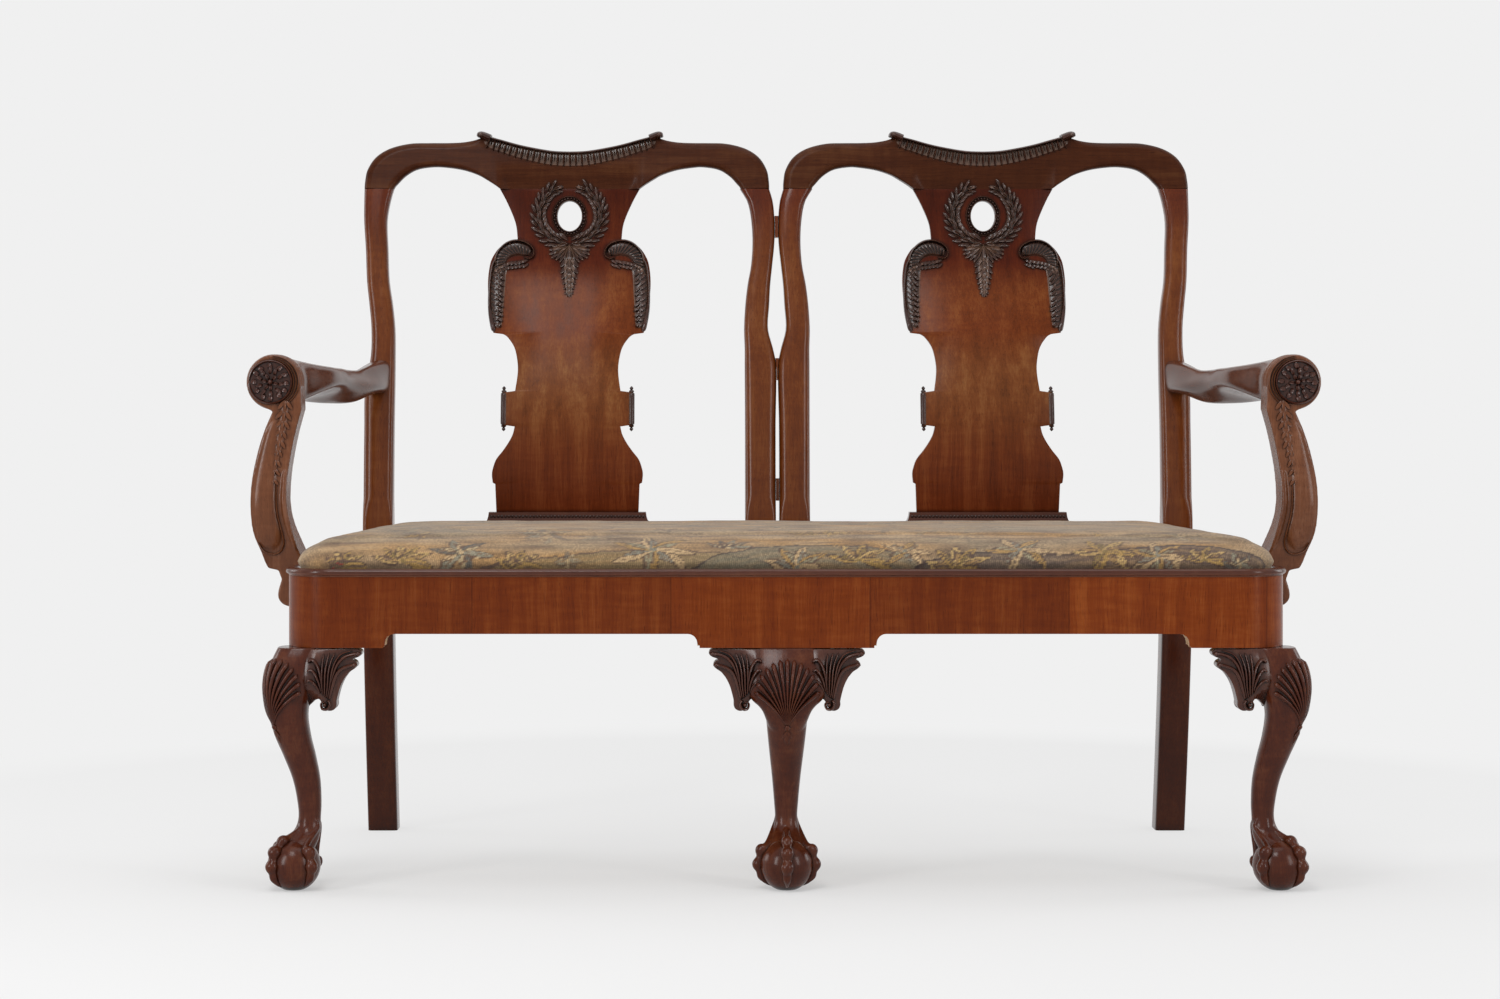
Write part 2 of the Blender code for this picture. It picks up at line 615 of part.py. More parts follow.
def build_front_rail(bench, cutters):
    """The core of the front rail, its veneer and the bays under both."""
    reach = RAIL_WIDTH / 2 - CORNER_RADIUS - FIT
    core = bench.add("front_rail", box((-reach, reach), (VENEER_THICKNESS + FIT, RAIL_THICKNESS),
                                       (DROP_BOTTOM, FLOOR_TO_LIP)), BEECH)
    for side in (-1, 1):
        combine(core, bench.add_cutter("front_tenon", front_tenon(side)), "UNION")
    combine(core, bench.add_cutter("leg_mortise", leg_tenon(FIT)), "DIFFERENCE")
    veneer = bench.add("front_rail_veneer", slab(band(0, VENEER_THICKNESS, CORNER_BACK),
                                                 DROP_BOTTOM, FLOOR_TO_LIP), WALNUT_VENEER)
    for piece in (core, veneer):
        for bay in cutters["front_bays"]:
            combine(piece, bay, "DIFFERENCE")
    combine(core, cutters["well"], "DIFFERENCE")
    return core


def build_side_rails(bench, cutters):
    """Both side rails and their veneers, from the front corner to the rear post."""
    front = CORNER_BACK + FIT
    back = POST_FRONT - FIT
    for side, word in ((-1, "left"), (1, "right")):
        for name, outer, inner, finish in (
                ("side_rail_", VENEER_THICKNESS + FIT, RAIL_THICKNESS, BEECH),
                ("side_rail_veneer_", 0, VENEER_THICKNESS, WALNUT_VENEER)):
            outline = [(side * side_x(outer, front), front), (side * side_x(outer, back), back),
                       (side * side_x(inner, back), back), (side * side_x(inner, front), front)]
            rail = bench.add(name + word, slab(outline, DROP_BOTTOM, FLOOR_TO_LIP), finish)
            if finish is BEECH:
                for end in (-1, 1):
                    combine(rail, bench.add_cutter("side_tenon", side_tenon(side, end)), "UNION")
                combine(rail, cutters["well"], "DIFFERENCE")
            combine(rail, cutters["side_bay"], "DIFFERENCE")
            for hole in cutters["support_screws"][side]:
                combine(rail, hole, "DIFFERENCE")


def build_lip(bench, cutters):
    """The bead that stands round the top of the rails and keeps the seat in."""
    low = FLOOR_TO_LIP + FIT
    high = FLOOR_TO_LIP + LIP_HEIGHT
    front = bench.add("lip_moulding_front", slab(band(-LIP_PROUD, LIP_WIDTH, CORNER_BACK), low, high),
                      DARK_CARVING)
    round_edges(front, LIP_ROUNDING)
    for side, word in ((-1, "left"), (1, "right")):
        start, end = CORNER_BACK + FIT, POST_FRONT - FIT
        outline = [(side * side_x(-LIP_PROUD, start), start), (side * side_x(-LIP_PROUD, end), end),
                   (side * side_x(LIP_WIDTH, end), end), (side * side_x(LIP_WIDTH, start), start)]
        piece = bench.add("lip_moulding_" + word, slab(outline, low, high), DARK_CARVING)
        round_edges(piece, LIP_ROUNDING)
        combine(piece, cutters["supports"][side], "DIFFERENCE")


def build_rear_rail(bench, cutters):
    """The rear rail between the outer posts, higher than the others to carry the shoes."""
    reach = REAR_WIDTH / 2 - POST_WIDTH - FIT
    bm = box((-reach, reach), (REAR_RAIL_FRONT, REAR_RAIL_FRONT + REAR_RAIL_THICKNESS),
             (RAIL_BOTTOM, REAR_RAIL_TOP))
    rail = bench.add("rear_rail", bm, BEECH)
    for side in (-1, 1):
        combine(rail, bench.add_cutter("rear_tenon", rear_tenon(side)), "UNION")
        centre = inner_post_centre(side, 0)
        combine(rail, bench.add_cutter("post_mortise", post_tenon(centre, REAR_RAIL_TOP, -1, FIT)),
                "DIFFERENCE")
    combine(rail, cutters["well"], "DIFFERENCE")
    return rail


def build_brace_and_blocks(bench, front_rail, rear_rail):
    """The brace from front to back and the four glued corner blocks."""
    high = SEAT_LEDGE - FIT - OVERRUN
    low = high - BRACE_THICKNESS
    half = BRACE_WIDTH / 2
    reach = TENON_LENGTH * 2 / 3
    brace = box((-half, half), (RAIL_THICKNESS - reach, REAR_RAIL_FRONT + reach), (low, high))
    bench.add("centre_seat_brace", brace, BEECH)
    for rail, y in ((front_rail, (RAIL_THICKNESS - reach, RAIL_THICKNESS + OVERRUN)),
                    (rear_rail, (REAR_RAIL_FRONT - OVERRUN, REAR_RAIL_FRONT + reach))):
        housing = tenon((-half, half), y, (low, high), FIT)
        combine(rail, bench.add_cutter("brace_housing", housing), "DIFFERENCE")
    low = RAIL_BOTTOM + BLOCK_RISE
    for side, word in ((-1, "left"), (1, "right")):
        x = RAIL_WIDTH / 2 - CORNER_RADIUS - FIT
        y = RAIL_THICKNESS + FIT
        inner = RAIL_THICKNESS + FIT
        behind = CORNER_BACK + FIT
        outline = [(side * (x - BLOCK_LEG), y), (side * x, y), (side * x, behind),
                   (side * side_x(inner, behind), behind),
                   (side * side_x(inner, behind + BLOCK_LEG), behind + BLOCK_LEG)]
        bench.add("front_corner_block_" + word, slab(outline, low, low + BLOCK_HEIGHT), BEECH)
        y = REAR_RAIL_FRONT - FIT
        outline = [(side * side_x(inner, y), y), (side * side_x(inner, y - BLOCK_LEG), y - BLOCK_LEG),
                   (side * (side_x(inner, y) - BLOCK_LEG), y)]
        bench.add("rear_corner_block_" + word, slab(outline, low, low + BLOCK_HEIGHT), BEECH)


# Back

def back_line(z):
    """Depth of the middle of the posts at a height: raked foot, upright seat, raked back."""
    if z < FLOOR_TO_LIP:
        return POST_CENTRE_DEPTH + REAR_LEG_RAKE * smooth_value(LEG_RAKE_SHARES, z / FLOOR_TO_LIP)
    share = (z - FLOOR_TO_LIP) / (CREST_TOP - FLOOR_TO_LIP)
    return POST_CENTRE_DEPTH + BACK_RAKE * smooth_value(BACK_RAKE_SHARES, share)


def splat_line(z):
    """Depth of the middle of a splat, spooned forward low down and back above."""
    share = (z - REAR_RAIL_TOP) / (SEAM_HEIGHT - REAR_RAIL_TOP)
    return back_line(z) + SPLAT_SPOON * smooth_value(SPOON_SHARES, share)


def outer_post_ring(side, z, grow=0.0):
    """The section of an outer post at a height."""
    share = max((z - FLOOR_TO_LIP) / SEAM_RISE, 0)
    out = smooth_value([(s, a) for s, a, _ in OUTER_POST_SHARES], share)
    width = POST_WIDTH * smooth_value([(s, w) for s, _, w in OUTER_POST_SHARES], share)
    outer = REAR_WIDTH / 2 + POST_SWING * out
    return post_ring(side * (outer - width / 2), width / 2 + grow, z, share, grow)


def inner_post_share(share):
    """The gap to the centre line and the width of an inner post."""
    gap = INNER_GAP * smooth_value([(s, a) for s, a, _ in INNER_POST_SHARES], share)
    width = POST_WIDTH * smooth_value([(s, w) for s, _, w in INNER_POST_SHARES], share)
    return gap, width


def inner_post_centre(side, share):
    """Where the middle of an inner post lies across."""
    gap, width = inner_post_share(share)
    return side * (gap + width / 2)


def post_depth(share):
    """How deep a post is from front to back."""
    return POST_DEPTH + (POST_TOP_DEPTH - POST_DEPTH) * min(share * 3 / 2, 1)


def post_ring(x, half, z, share, grow=0.0):
    """A post section, squarer at the seat and rounder above."""
    squareness = SQUARE_POST if share < SOFT_FROM_SHARE else SOFT_POST
    ring = squircle((x, back_line(z)), half, post_depth(share) / 2 + grow, squareness, POST_SIDES)
    return [Vector((p.x, p.y, z)) for p in ring]


def post_tenon(x, z, up, grow=0.0):
    """The tenon between a post and the piece above or below it."""
    y = back_line(z)
    heights = sorted((z - up * OVERRUN, z + up * POST_TENON_HEIGHT))
    return tenon((x - POST_TENON_WIDTH / 2, x + POST_TENON_WIDTH / 2),
                 (y - POST_TENON_DEPTH / 2, y + POST_TENON_DEPTH / 2), heights, grow)


def outer_post_rings(side, heights, grow=0.0):
    """The sections of an outer post at several heights."""
    return [outer_post_ring(side, z, grow) for z in heights]


def post_heights(low):
    """Heights of the sections above the seat, closest where the post swings."""
    rises = [FLOOR_TO_LIP + SEAM_RISE * share for share in POST_RING_SHARES]
    top = SEAM_HEIGHT - FIT
    return [low] + [rise for rise in rises if low < rise < top] + [top]


def build_posts(bench, cutters):
    """Two outer posts from the floor, two inner ones from the rear rail, and their spacers."""
    feet = [FLOOR_TO_LIP * i / FOOT_STEPS for i in range(FOOT_STEPS)]
    top = SEAM_HEIGHT - FIT
    for side, word in ((-1, "left"), (1, "right")):
        outer = bench.add("outer_post_" + word,
                          loft(outer_post_rings(side, feet + post_heights(FLOOR_TO_LIP))), MAHOGANY)
        x = outer_post_ring(side, SEAM_HEIGHT)
        centre = sum(p.x for p in x) / len(x)
        combine(outer, bench.add_cutter("post_tenon", post_tenon(centre, top, 1)), "UNION")
        combine(outer, bench.add_cutter("side_mortise", side_tenon(side, 1, FIT)), "DIFFERENCE")
        combine(outer, bench.add_cutter("rear_mortise", rear_tenon(side, FIT)), "DIFFERENCE")
        combine(outer, cutters["arm_tenons"][side], "DIFFERENCE")
        combine(outer, cutters["arm_screws"][side], "DIFFERENCE")
        rings = []
        for z in post_heights(REAR_RAIL_TOP + FIT):
            share = (z - FLOOR_TO_LIP) / SEAM_RISE
            _, width = inner_post_share(share)
            rings.append(post_ring(inner_post_centre(side, share), width / 2, z, share))
        inner = bench.add("inner_post_" + word, loft(rings), MAHOGANY)
        foot = post_tenon(inner_post_centre(side, 0), REAR_RAIL_TOP, -1)
        combine(inner, bench.add_cutter("post_foot", foot), "UNION")
        head = post_tenon(inner_post_centre(side, 1), top, 1)
        combine(inner, bench.add_cutter("post_head", head), "UNION")


def build_spacers(bench):
    """Thin slips that join the two inner posts."""
    for name, low, high in SPACER_SHARES:
        rings = []
        for i in range(3):
            share = low + (high - low) * i / 2
            z = FLOOR_TO_LIP + SEAM_RISE * share
            gap, _ = inner_post_share(share)
            half = max(gap - FIT, FIT * 2)
            depth = POST_TOP_DEPTH / 3
            y = back_line(z)
            rings.append([Vector((-half, y - depth, z)), Vector((half, y - depth, z)),
                          Vector((half, y + depth, z)), Vector((-half, y + depth, z))])
        bench.add("post_spacer_" + name, loft(rings), MAHOGANY)


def crest_side(side, half):
    """One half of a crest outline, from the outer seam to the middle of the dip."""
    def place(point):
        scale = half if point[0] > SHOULDER_SHARE else CREST_HALF_OUTER
        return side * point[0] * scale, SEAM_HEIGHT + point[1] * CREST_RISE
    shoulder = [Vector(place(p)) for p in CREST_TOP_SHARES]
    horn = [Vector(place(p)) for p in HORN_SHARES]
    dip = smooth_run([place(p) for p in DIP_SHARES], 2)
    arch = [Vector(place(p)) for p in CREST_ARCH_SHARES]
    return shoulder + horn + dip, arch


def build_crests(bench):
    """The crest rail of each chair back, with horns, a dip and its arched underside."""
    for side, word in ((-1, "left"), (1, "right")):
        halves = {side: CREST_HALF_OUTER, -side: CREST_HALF_INNER}
        left_top, left_arch = crest_side(-1, halves[-1])
        right_top, right_arch = crest_side(1, halves[1])
        outline = left_top + list(reversed(right_top))[1:] + list(reversed(right_arch)) + left_arch
        outline = [Vector((p[0] + side * CHAIR_CENTRE, p[1])) for p in outline]
        cuts = [SEAM_HEIGHT + CREST_RISE * share for share in CREST_CUT_SHARES]
        bm = plate(outline, -CREST_THICKNESS / 2, CREST_THICKNESS / 2, cuts, back_line)
        crest = bench.add("crest_rail_" + word, bm, MAHOGANY)
        round_edges(crest, CREST_ROUNDING)
        top = SEAM_HEIGHT - FIT
        outer = outer_post_ring(side, SEAM_HEIGHT)
        centres = (sum(p.x for p in outer) / len(outer), inner_post_centre(side, 1))
        for x in centres:
            combine(crest, bench.add_cutter("crest_mortise", post_tenon(x, top, 1, FIT)), "DIFFERENCE")
        combine(crest, bench.add_cutter("splat_groove", splat_tongue(side, 1, FIT)), "DIFFERENCE")


def splat_tongue(side, up, grow=0.0):
    """The thin tongue along the top or the foot of a splat."""
    seam = SEAM_HEIGHT if up > 0 else SHOE_TOP
    half = SPLAT_HALF * SPLAT_RUN_SHARES[0][0][1] - SPLAT_TONGUE
    heights = sorted((seam - up * OVERRUN, seam + up * SPLAT_TONGUE))
    outline = [(-half - grow, heights[0] - grow), (half + grow, heights[0] - grow),
               (half + grow, heights[1] + grow), (-half - grow, heights[1] + grow)]
    outline = [(x + side * CHAIR_CENTRE, z) for x, z in outline]
    thick = SPLAT_TONGUE_THICKNESS / 2 + grow
    return plate(outline, -thick, thick, (), splat_line)


def splat_half_outline():
    """Half of the splat's outline, from the shoe to the crest."""
    low, high = SHOE_TOP + FIT, SEAM_HEIGHT - FIT
    points = []
    for run in SPLAT_RUN_SHARES:
        placed = [(share * SPLAT_HALF, low + rise * (high - low)) for rise, share in run]
        points += smooth_run(placed, 2 if len(run) > 2 else 1)
    return points


def build_splats(bench):
    """Solid splats, spooned in side view, pierced by an oval and flanked by small rolls."""
    for side, word in ((-1, "left"), (1, "right")):
        middle = side * CHAIR_CENTRE
        right = splat_half_outline()
        outline = [Vector((middle + p.x, p.y)) for p in right]
        outline += [Vector((middle - p.x, p.y)) for p in reversed(right)]
        rise = SEAM_HEIGHT - SHOE_TOP
        cuts = [SHOE_TOP + rise * i / SPLAT_BANDS for i in range(1, SPLAT_BANDS)]
        bm = plate(outline, -SPLAT_THICKNESS / 2, SPLAT_THICKNESS / 2, cuts, splat_line)
        splat = bench.add("splat_" + word, bm, SPLAT_VENEER)
        for up in (-1, 1):
            combine(splat, bench.add_cutter("splat_tongue", splat_tongue(side, up)), "UNION")
        centre = (middle, SEAM_HEIGHT - OVAL_BELOW_SEAM)
        turns = [math.tau * i / OVAL_SIDES for i in range(OVAL_SIDES)]
        for name, grow, front, action in (("oval_rim", OVAL_RIM, OVAL_RIM_PROUD, "UNION"),
                                          ("oval", 0, SPLAT_THICKNESS, "DIFFERENCE")):
            oval = [(centre[0] + (OVAL_HALF_WIDTH + grow) * math.cos(a),
                     centre[1] + (OVAL_HALF_HEIGHT + grow) * math.sin(a)) for a in turns]
            back = 0 if action == "UNION" else SPLAT_THICKNESS
            bm = plate(oval, -SPLAT_THICKNESS / 2 - front, back, (), splat_line)
            combine(splat, bench.add_cutter(name, bm), action)
        z = SHOE_TOP + rise * ROLL_CENTRE_SHARE
        for hand in (-1, 1):
            profile = [(ROLL_RADIUS * radius, ROLL_HEIGHT * (height - 0.5))
                       for height, radius in ROLL_TURN_SHARES]
            x = middle + hand * (SPLAT_HALF * SPLAT_RUN_SHARES[2][0][1] - ROLL_RADIUS / 4)
            lean = Vector((0, splat_line(z + ROLL_HEIGHT / 2) - splat_line(z - ROLL_HEIGHT / 2), ROLL_HEIGHT))
            roll = shifted(turned(profile, SMALL_SIDES, lean.normalized()),
                           (x, splat_line(z) - SPLAT_THICKNESS / 4, z))
            combine(splat, bench.add_cutter("splat_roll", roll), "UNION")


def build_shoes(bench):
    """The moulded shoe on the rear rail that each splat stands in."""
    low, high = REAR_RAIL_TOP + FIT, SHOE_TOP
    ledge = (low + high) / 2
    y = splat_line(SHOE_TOP)
    for side, word in ((-1, "left"), (1, "right")):
        rings = []
        for z, half, depth in ((low, SHOE_HALF, SHOE_DEPTH), (ledge, SHOE_HALF, SHOE_DEPTH),
                               (ledge + FIT, SHOE_TOP_HALF + OVERRUN, SHOE_DEPTH - OVERRUN * 2),
                               ((ledge + high) / 2, SHOE_TOP_HALF, SHOE_TOP_DEPTH + OVERRUN * 2),
                               (high, SHOE_TOP_HALF, SHOE_TOP_DEPTH)):
            x = side * CHAIR_CENTRE
            rings.append([Vector((x - half, y - depth / 2, z)), Vector((x + half, y - depth / 2, z)),
                          Vector((x + half, y + depth / 2, z)), Vector((x - half, y + depth / 2, z))])
        shoe = bench.add("shoe_" + word, loft(rings), MAHOGANY)
        combine(shoe, bench.add_cutter("shoe_groove", splat_tongue(side, -1, FIT)), "DIFFERENCE")


# Legs

def leg_rings(inflate=0.0):
    """Sections of the leg about its ankle, with the knee towards +X -Y at 45 degrees."""
    diagonal = Vector((1, -1)).normalized()
    rings = []
    for height, out, width, squareness in LEG_SHARES:
        centre = diagonal * KNEE_OUT * out
        half = KNEE_HALF * width + inflate
        ring = squircle(centre, half, half, squareness, LEG_SIDES)
        z = LEG_TOP * height + (inflate if height == 1 else 0)
        rings.append([Vector((p.x, p.y, z)) for p in ring])
    return rings


def toe(angle, centre):
    """One toe of the claw, laid over the ball in the direction of an angle."""
    out = Vector((math.cos(angle), math.sin(angle), 0))
    across = Vector((-out.y, out.x, 0))
    rings = []
    for down, reach, width in TOE_SHARES:
        a = math.radians(down)
        spine = out * math.sin(a) + Vector((0, 0, math.cos(a)))
        half = TOE_HALF * width
        middle = centre + spine * BALL_RADIUS * reach
        rings.append([middle + across * half * math.cos(t) + spine * half * math.sin(t)
                      for t in (math.tau * i / TOE_SIDES for i in range(TOE_SIDES))])
    return loft(rings)


def leg_matrix(turn, place):
    """Turn a leg about its ankle and set it in its place."""
    return Matrix.Translation(place) @ Matrix.Rotation(turn, 4, "Z")


def leg_place(side):
    """Where the leg of a side (or 0, the centre) stands and how it is turned."""
    if side == 0:
        return leg_matrix(math.radians(-45), (0, CENTRE_LEG_BACK, 0))
    return leg_matrix(0 if side > 0 else math.radians(-90), (side * LEG_ACROSS, LEG_BACK, 0))


def build_leg(bench, side, word):
    """One cabriole leg with its claw-and-ball foot, cut flat where it stands."""
    place = leg_place(side)
    bm = loft(leg_rings())
    bm.transform(place)
    leg = bench.add("front_leg_" + word, bm, MAHOGANY)
    diagonal = Vector((1, -1, 0)).normalized()
    centre = diagonal * FOOT_OUT + Vector((0, 0, BALL_RADIUS - BALL_SINK))
    ball = bmesh.new()
    bmesh.ops.create_uvsphere(ball, u_segments=BALL_SEGMENTS[0], v_segments=BALL_SEGMENTS[1],
                              radius=BALL_RADIUS)
    bmesh.ops.translate(ball, vec=centre, verts=ball.verts)
    ball.transform(place)
    combine(leg, bench.add_cutter("ball", ball), "UNION")
    for i in range(4):
        claw = toe(math.radians(-45 + 90 * i), centre)
        claw.transform(place)
        combine(leg, bench.add_cutter("toe", claw), "UNION")
    wide = TOE_SPREAD * 2
    floor = box((-wide, wide), (-wide, wide), (-BALL_RADIUS, 0))
    floor.transform(place)
    combine(leg, bench.add_cutter("floor_cut", floor), "DIFFERENCE")
    return leg


def stile_outline(side):
    """The quarter-round stile of an outer leg, behind the veneer of the corner."""
    inset = VENEER_THICKNESS + FIT
    points = corner_points(inset)
    points += [Vector((side_x(inset, CORNER_BACK), CORNER_BACK)),
               Vector((RAIL_WIDTH / 2 - CORNER_RADIUS, CORNER_BACK))]
    return [(side * p[0], p[1]) for p in points]


def build_legs(bench, cutters):
    """Three cabriole legs; the outer ones rise as stiles inside the rounded corners."""
    for side, word in ((-1, "left"), (1, "right")):
        leg = build_leg(bench, side, word)
        stile = slab(stile_outline(side), LEG_TOP - FIT, FLOOR_TO_LIP)
        combine(leg, bench.add_cutter("stile", stile), "UNION")
        combine(leg, bench.add_cutter("front_mortise", front_tenon(side, FIT)), "DIFFERENCE")
        combine(leg, bench.add_cutter("side_mortise", side_tenon(side, -1, FIT)), "DIFFERENCE")
        combine(leg, cutters["well"], "DIFFERENCE")
    centre = build_leg(bench, 0, "centre")
    combine(centre, bench.add_cutter("leg_tenon", leg_tenon()), "UNION")


def bracket_outline():
    """A knee bracket in front view: two leaf tips, a volute and the arch to the leg."""
    top = LEG_TOP - FIT * 2
    span = [Vector((BRACKET_SEAM + s * BRACKET_SPAN, top - d * BRACKET_DROP))
            for s, d in BRACKET_TIP_SHARES]
    volute = Vector((BRACKET_SEAM + BRACKET_VOLUTE_SHARES[0] * BRACKET_SPAN,
                     top - BRACKET_VOLUTE_SHARES[1] * BRACKET_DROP))
    notch = Vector((BRACKET_SEAM + BRACKET_NOTCH_SHARES[0] * BRACKET_SPAN,
                    top - BRACKET_NOTCH_SHARES[1] * BRACKET_DROP))
    lap = BRACKET_SEAM - BRACKET_LAP
    return (span + arc(volute, BRACKET_VOLUTE, 0, -180, VOLUTE_STEPS)
            + [notch, Vector((lap, notch.y)), Vector((lap, top))])


def bracket_plate():
    """A knee bracket along +X, thicker where it meets the knee."""
    bm = plate(bracket_outline(), 0, BRACKET_THICKNESS)
    for step in BRACKET_CUT_SHARES:
        bmesh.ops.bisect_plane(bm, geom=bm.faces[:] + bm.edges[:] + bm.verts[:],
                               plane_co=(BRACKET_SEAM + step * BRACKET_SPAN, 0, 0), plane_no=(1, 0, 0))
    for vert in bm.verts:
        if vert.co.y < BRACKET_THICKNESS / 2:
            share = min(max((vert.co.x - BRACKET_SEAM) / BRACKET_SPAN, 0), 1)
            vert.co.y -= BRACKET_BULGE * (1 - share) ** 2
    return bm


def build_brackets(bench):
    """Six knee brackets, each cut to fit the leg it is glued to."""
    inset = VENEER_THICKNESS
    knees = {}
    for side in (-1, 0, 1):
        bm = loft(leg_rings(FIT))
        bm.transform(leg_place(side))
        knees[side] = bench.add_cutter("knee", bm)
    flip = Matrix.Diagonal((-1, 1, 1, 1))
    front = Matrix.Translation((RAIL_WIDTH / 2, inset, 0)) @ flip
    lean = Matrix.Rotation(math.pi / 2 + side_turn(), 4, "Z")
    along_side = Matrix.Translation((side_x(inset, 0), 0, 0)) @ lean @ Matrix.Diagonal((1, -1, 1, 1))
    for side, word in ((-1, "left"), (1, "right")):
        for name, leg, matrix in (("centre", 0, Matrix.Translation((0, inset, 0))), ("front", side, front),
                                  ("side", side, along_side)):
            bm = bracket_plate()
            bm.transform(flip @ matrix if side < 0 else matrix)
            bracket = bench.add("knee_bracket_" + name + "_" + word, bm, DARK_CARVING)
            combine(bracket, knees[leg], "DIFFERENCE")


# Arms

def support_base():
    """Distance from the centre line to the face that the arm support is screwed to."""
    return side_x(0, SUPPORT_FRONT) + FIT


def support_outline(side, grow=0.0):
    """The S-shaped arm support in front view, ending in the rolled scroll."""
    base = support_base()
    rise = SCROLL_FLOOR - FLOOR_TO_LIP
    reach = SCROLL_ACROSS - base
    outer = smooth_run([(base + reach * out, FLOOR_TO_LIP + rise * up)
                        for up, out in SUPPORT_OUTER_SHARES[2:]], 2)
    tail = [(base + reach * out, FLOOR_TO_LIP + rise * up) for up, out in SUPPORT_OUTER_SHARES[:2]]
    foot = [Vector((base, FLOOR_TO_LIP - SUPPORT_TAIL)),
            Vector((base + reach * SUPPORT_OUTER_SHARES[0][1] / 2, FLOOR_TO_LIP - SUPPORT_TAIL - grow)),
            Vector((tail[0][0], FLOOR_TO_LIP - SUPPORT_TAIL * 3 / 4))]
    inner = smooth_run([(base + reach * out, FLOOR_TO_LIP + rise * up)
                        for up, out in SUPPORT_INNER_SHARES], 2)
    scroll = arc((SCROLL_ACROSS, SCROLL_FLOOR), SCROLL_RADIUS, SCROLL_START_DEGREES,
                 SCROLL_END_DEGREES, SCROLL_STEPS)
    points = foot + [Vector(tail[1])] + outer + scroll + inner
    return [Vector((side * p[0], p[1])) for p in points]


def support_line(z):
    """How the arm support bows forward in side view."""
    share = (z - FLOOR_TO_LIP) / (SCROLL_FLOOR - FLOOR_TO_LIP)
    return SUPPORT_BOW * min(smooth_value(SUPPORT_BOW_SHARES, share), 0)


def support_solid(side, grow=0.0):
    """The support as a board sawn to its outline, bowed, and fitted to the side of the rail."""
    rise = SCROLL_FLOOR - FLOOR_TO_LIP
    cuts = [FLOOR_TO_LIP + rise * share for share in SUPPORT_CUT_SHARES]
    bm = plate(support_outline(side), SUPPORT_FRONT - grow, SUPPORT_FRONT + SUPPORT_DEPTH + grow,
               cuts, support_line)
    for vert in bm.verts:
        fitted = 1 - min(max((vert.co.z - FLOOR_TO_LIP - LIP_HEIGHT) / rise * 2, 0), 1)
        taper = side_x(0, vert.co.y) - side_x(0, SUPPORT_FRONT)
        vert.co.x += side * (fitted * taper - grow)
    return bm


def arm_rings(side):
    """Sections of the arm from behind the scroll to inside the rear post."""
    start = SUPPORT_FRONT + SUPPORT_DEPTH + FIT
    end = back_line(SCROLL_FLOOR) - POST_TOP_DEPTH / 3
    post_x = REAR_WIDTH / 2 - POST_WIDTH / 2
    rings = []
    for run, across, width, height, level in ARM_SHARES:
        y = start + (end - start) * run
        x = SCROLL_ACROSS + (post_x - SCROLL_ACROSS) * across
        lift = ARM_RISE_AT_POST if level > 0 else ARM_DIP
        z = SCROLL_FLOOR + lift * level
        ring = squircle((x, z), ARM_HALF_WIDTH * width, ARM_HALF_HEIGHT * height, ARM_SQUARENESS,
                        ARM_SIDES)
        rings.append([Vector((side * p.x, y, p.y)) for p in ring])
    return rings


def arm_tenon(side, grow=0.0):
    """The square tenon of the arm in the rear post."""
    x = side * (REAR_WIDTH / 2 - POST_WIDTH / 2)
    z = SCROLL_FLOOR + ARM_RISE_AT_POST
    front = back_line(SCROLL_FLOOR) - POST_DEPTH / 2 - OVERRUN
    return tenon((x - ARM_TENON_HALF, x + ARM_TENON_HALF), (front, back_line(SCROLL_FLOOR)),
                 (z - ARM_TENON_HALF * 2, z + ARM_TENON_HALF * 2), grow)


def screw_profile(length, grow=0.0, reach=0.0):
    """Radius and height down a plain screw: a flat head and a shank that narrows to its tip."""
    head = SCREW_HEAD_RADIUS + grow
    shank = SCREW_RADIUS + grow
    return [(head, -SCREW_HEAD_HEIGHT - grow - reach), (head, grow), (shank, grow),
            (shank, length - SCREW_RADIUS * 2), (shank / 2, length + grow)]


def support_screw(side, row, grow=0.0):
    """A screw from inside the side rail into the arm support."""
    x = side * (side_x(RAIL_THICKNESS, SUPPORT_FRONT + SUPPORT_DEPTH / 2) + SCREW_HEAD_HEIGHT * 2)
    y = SUPPORT_FRONT + SUPPORT_DEPTH / 2 + row * SCREW_SPACING / 2
    length = RAIL_THICKNESS + SCREW_GRIP - SCREW_HEAD_HEIGHT * 2
    return shifted(turned(screw_profile(length, grow), SMALL_SIDES, (side, 0, 0)), (x, y, SCREW_FLOOR))


def arm_screw(side, grow=0.0, reach=0.0):
    """The screw from the back of the post into the arm's tenon, its head just below the surface."""
    x = side * (REAR_WIDTH / 2 - POST_WIDTH / 2)
    z = SCROLL_FLOOR + ARM_RISE_AT_POST
    y = back_line(z) + post_depth((z - FLOOR_TO_LIP) / SEAM_RISE) / 2 - SCREW_HEAD_HEIGHT - FIT * 2
    profile = screw_profile(ARM_SCREW_LENGTH, grow, reach)
    return shifted(turned(profile, SMALL_SIDES, (0, -1, 0)), (x, y, z))


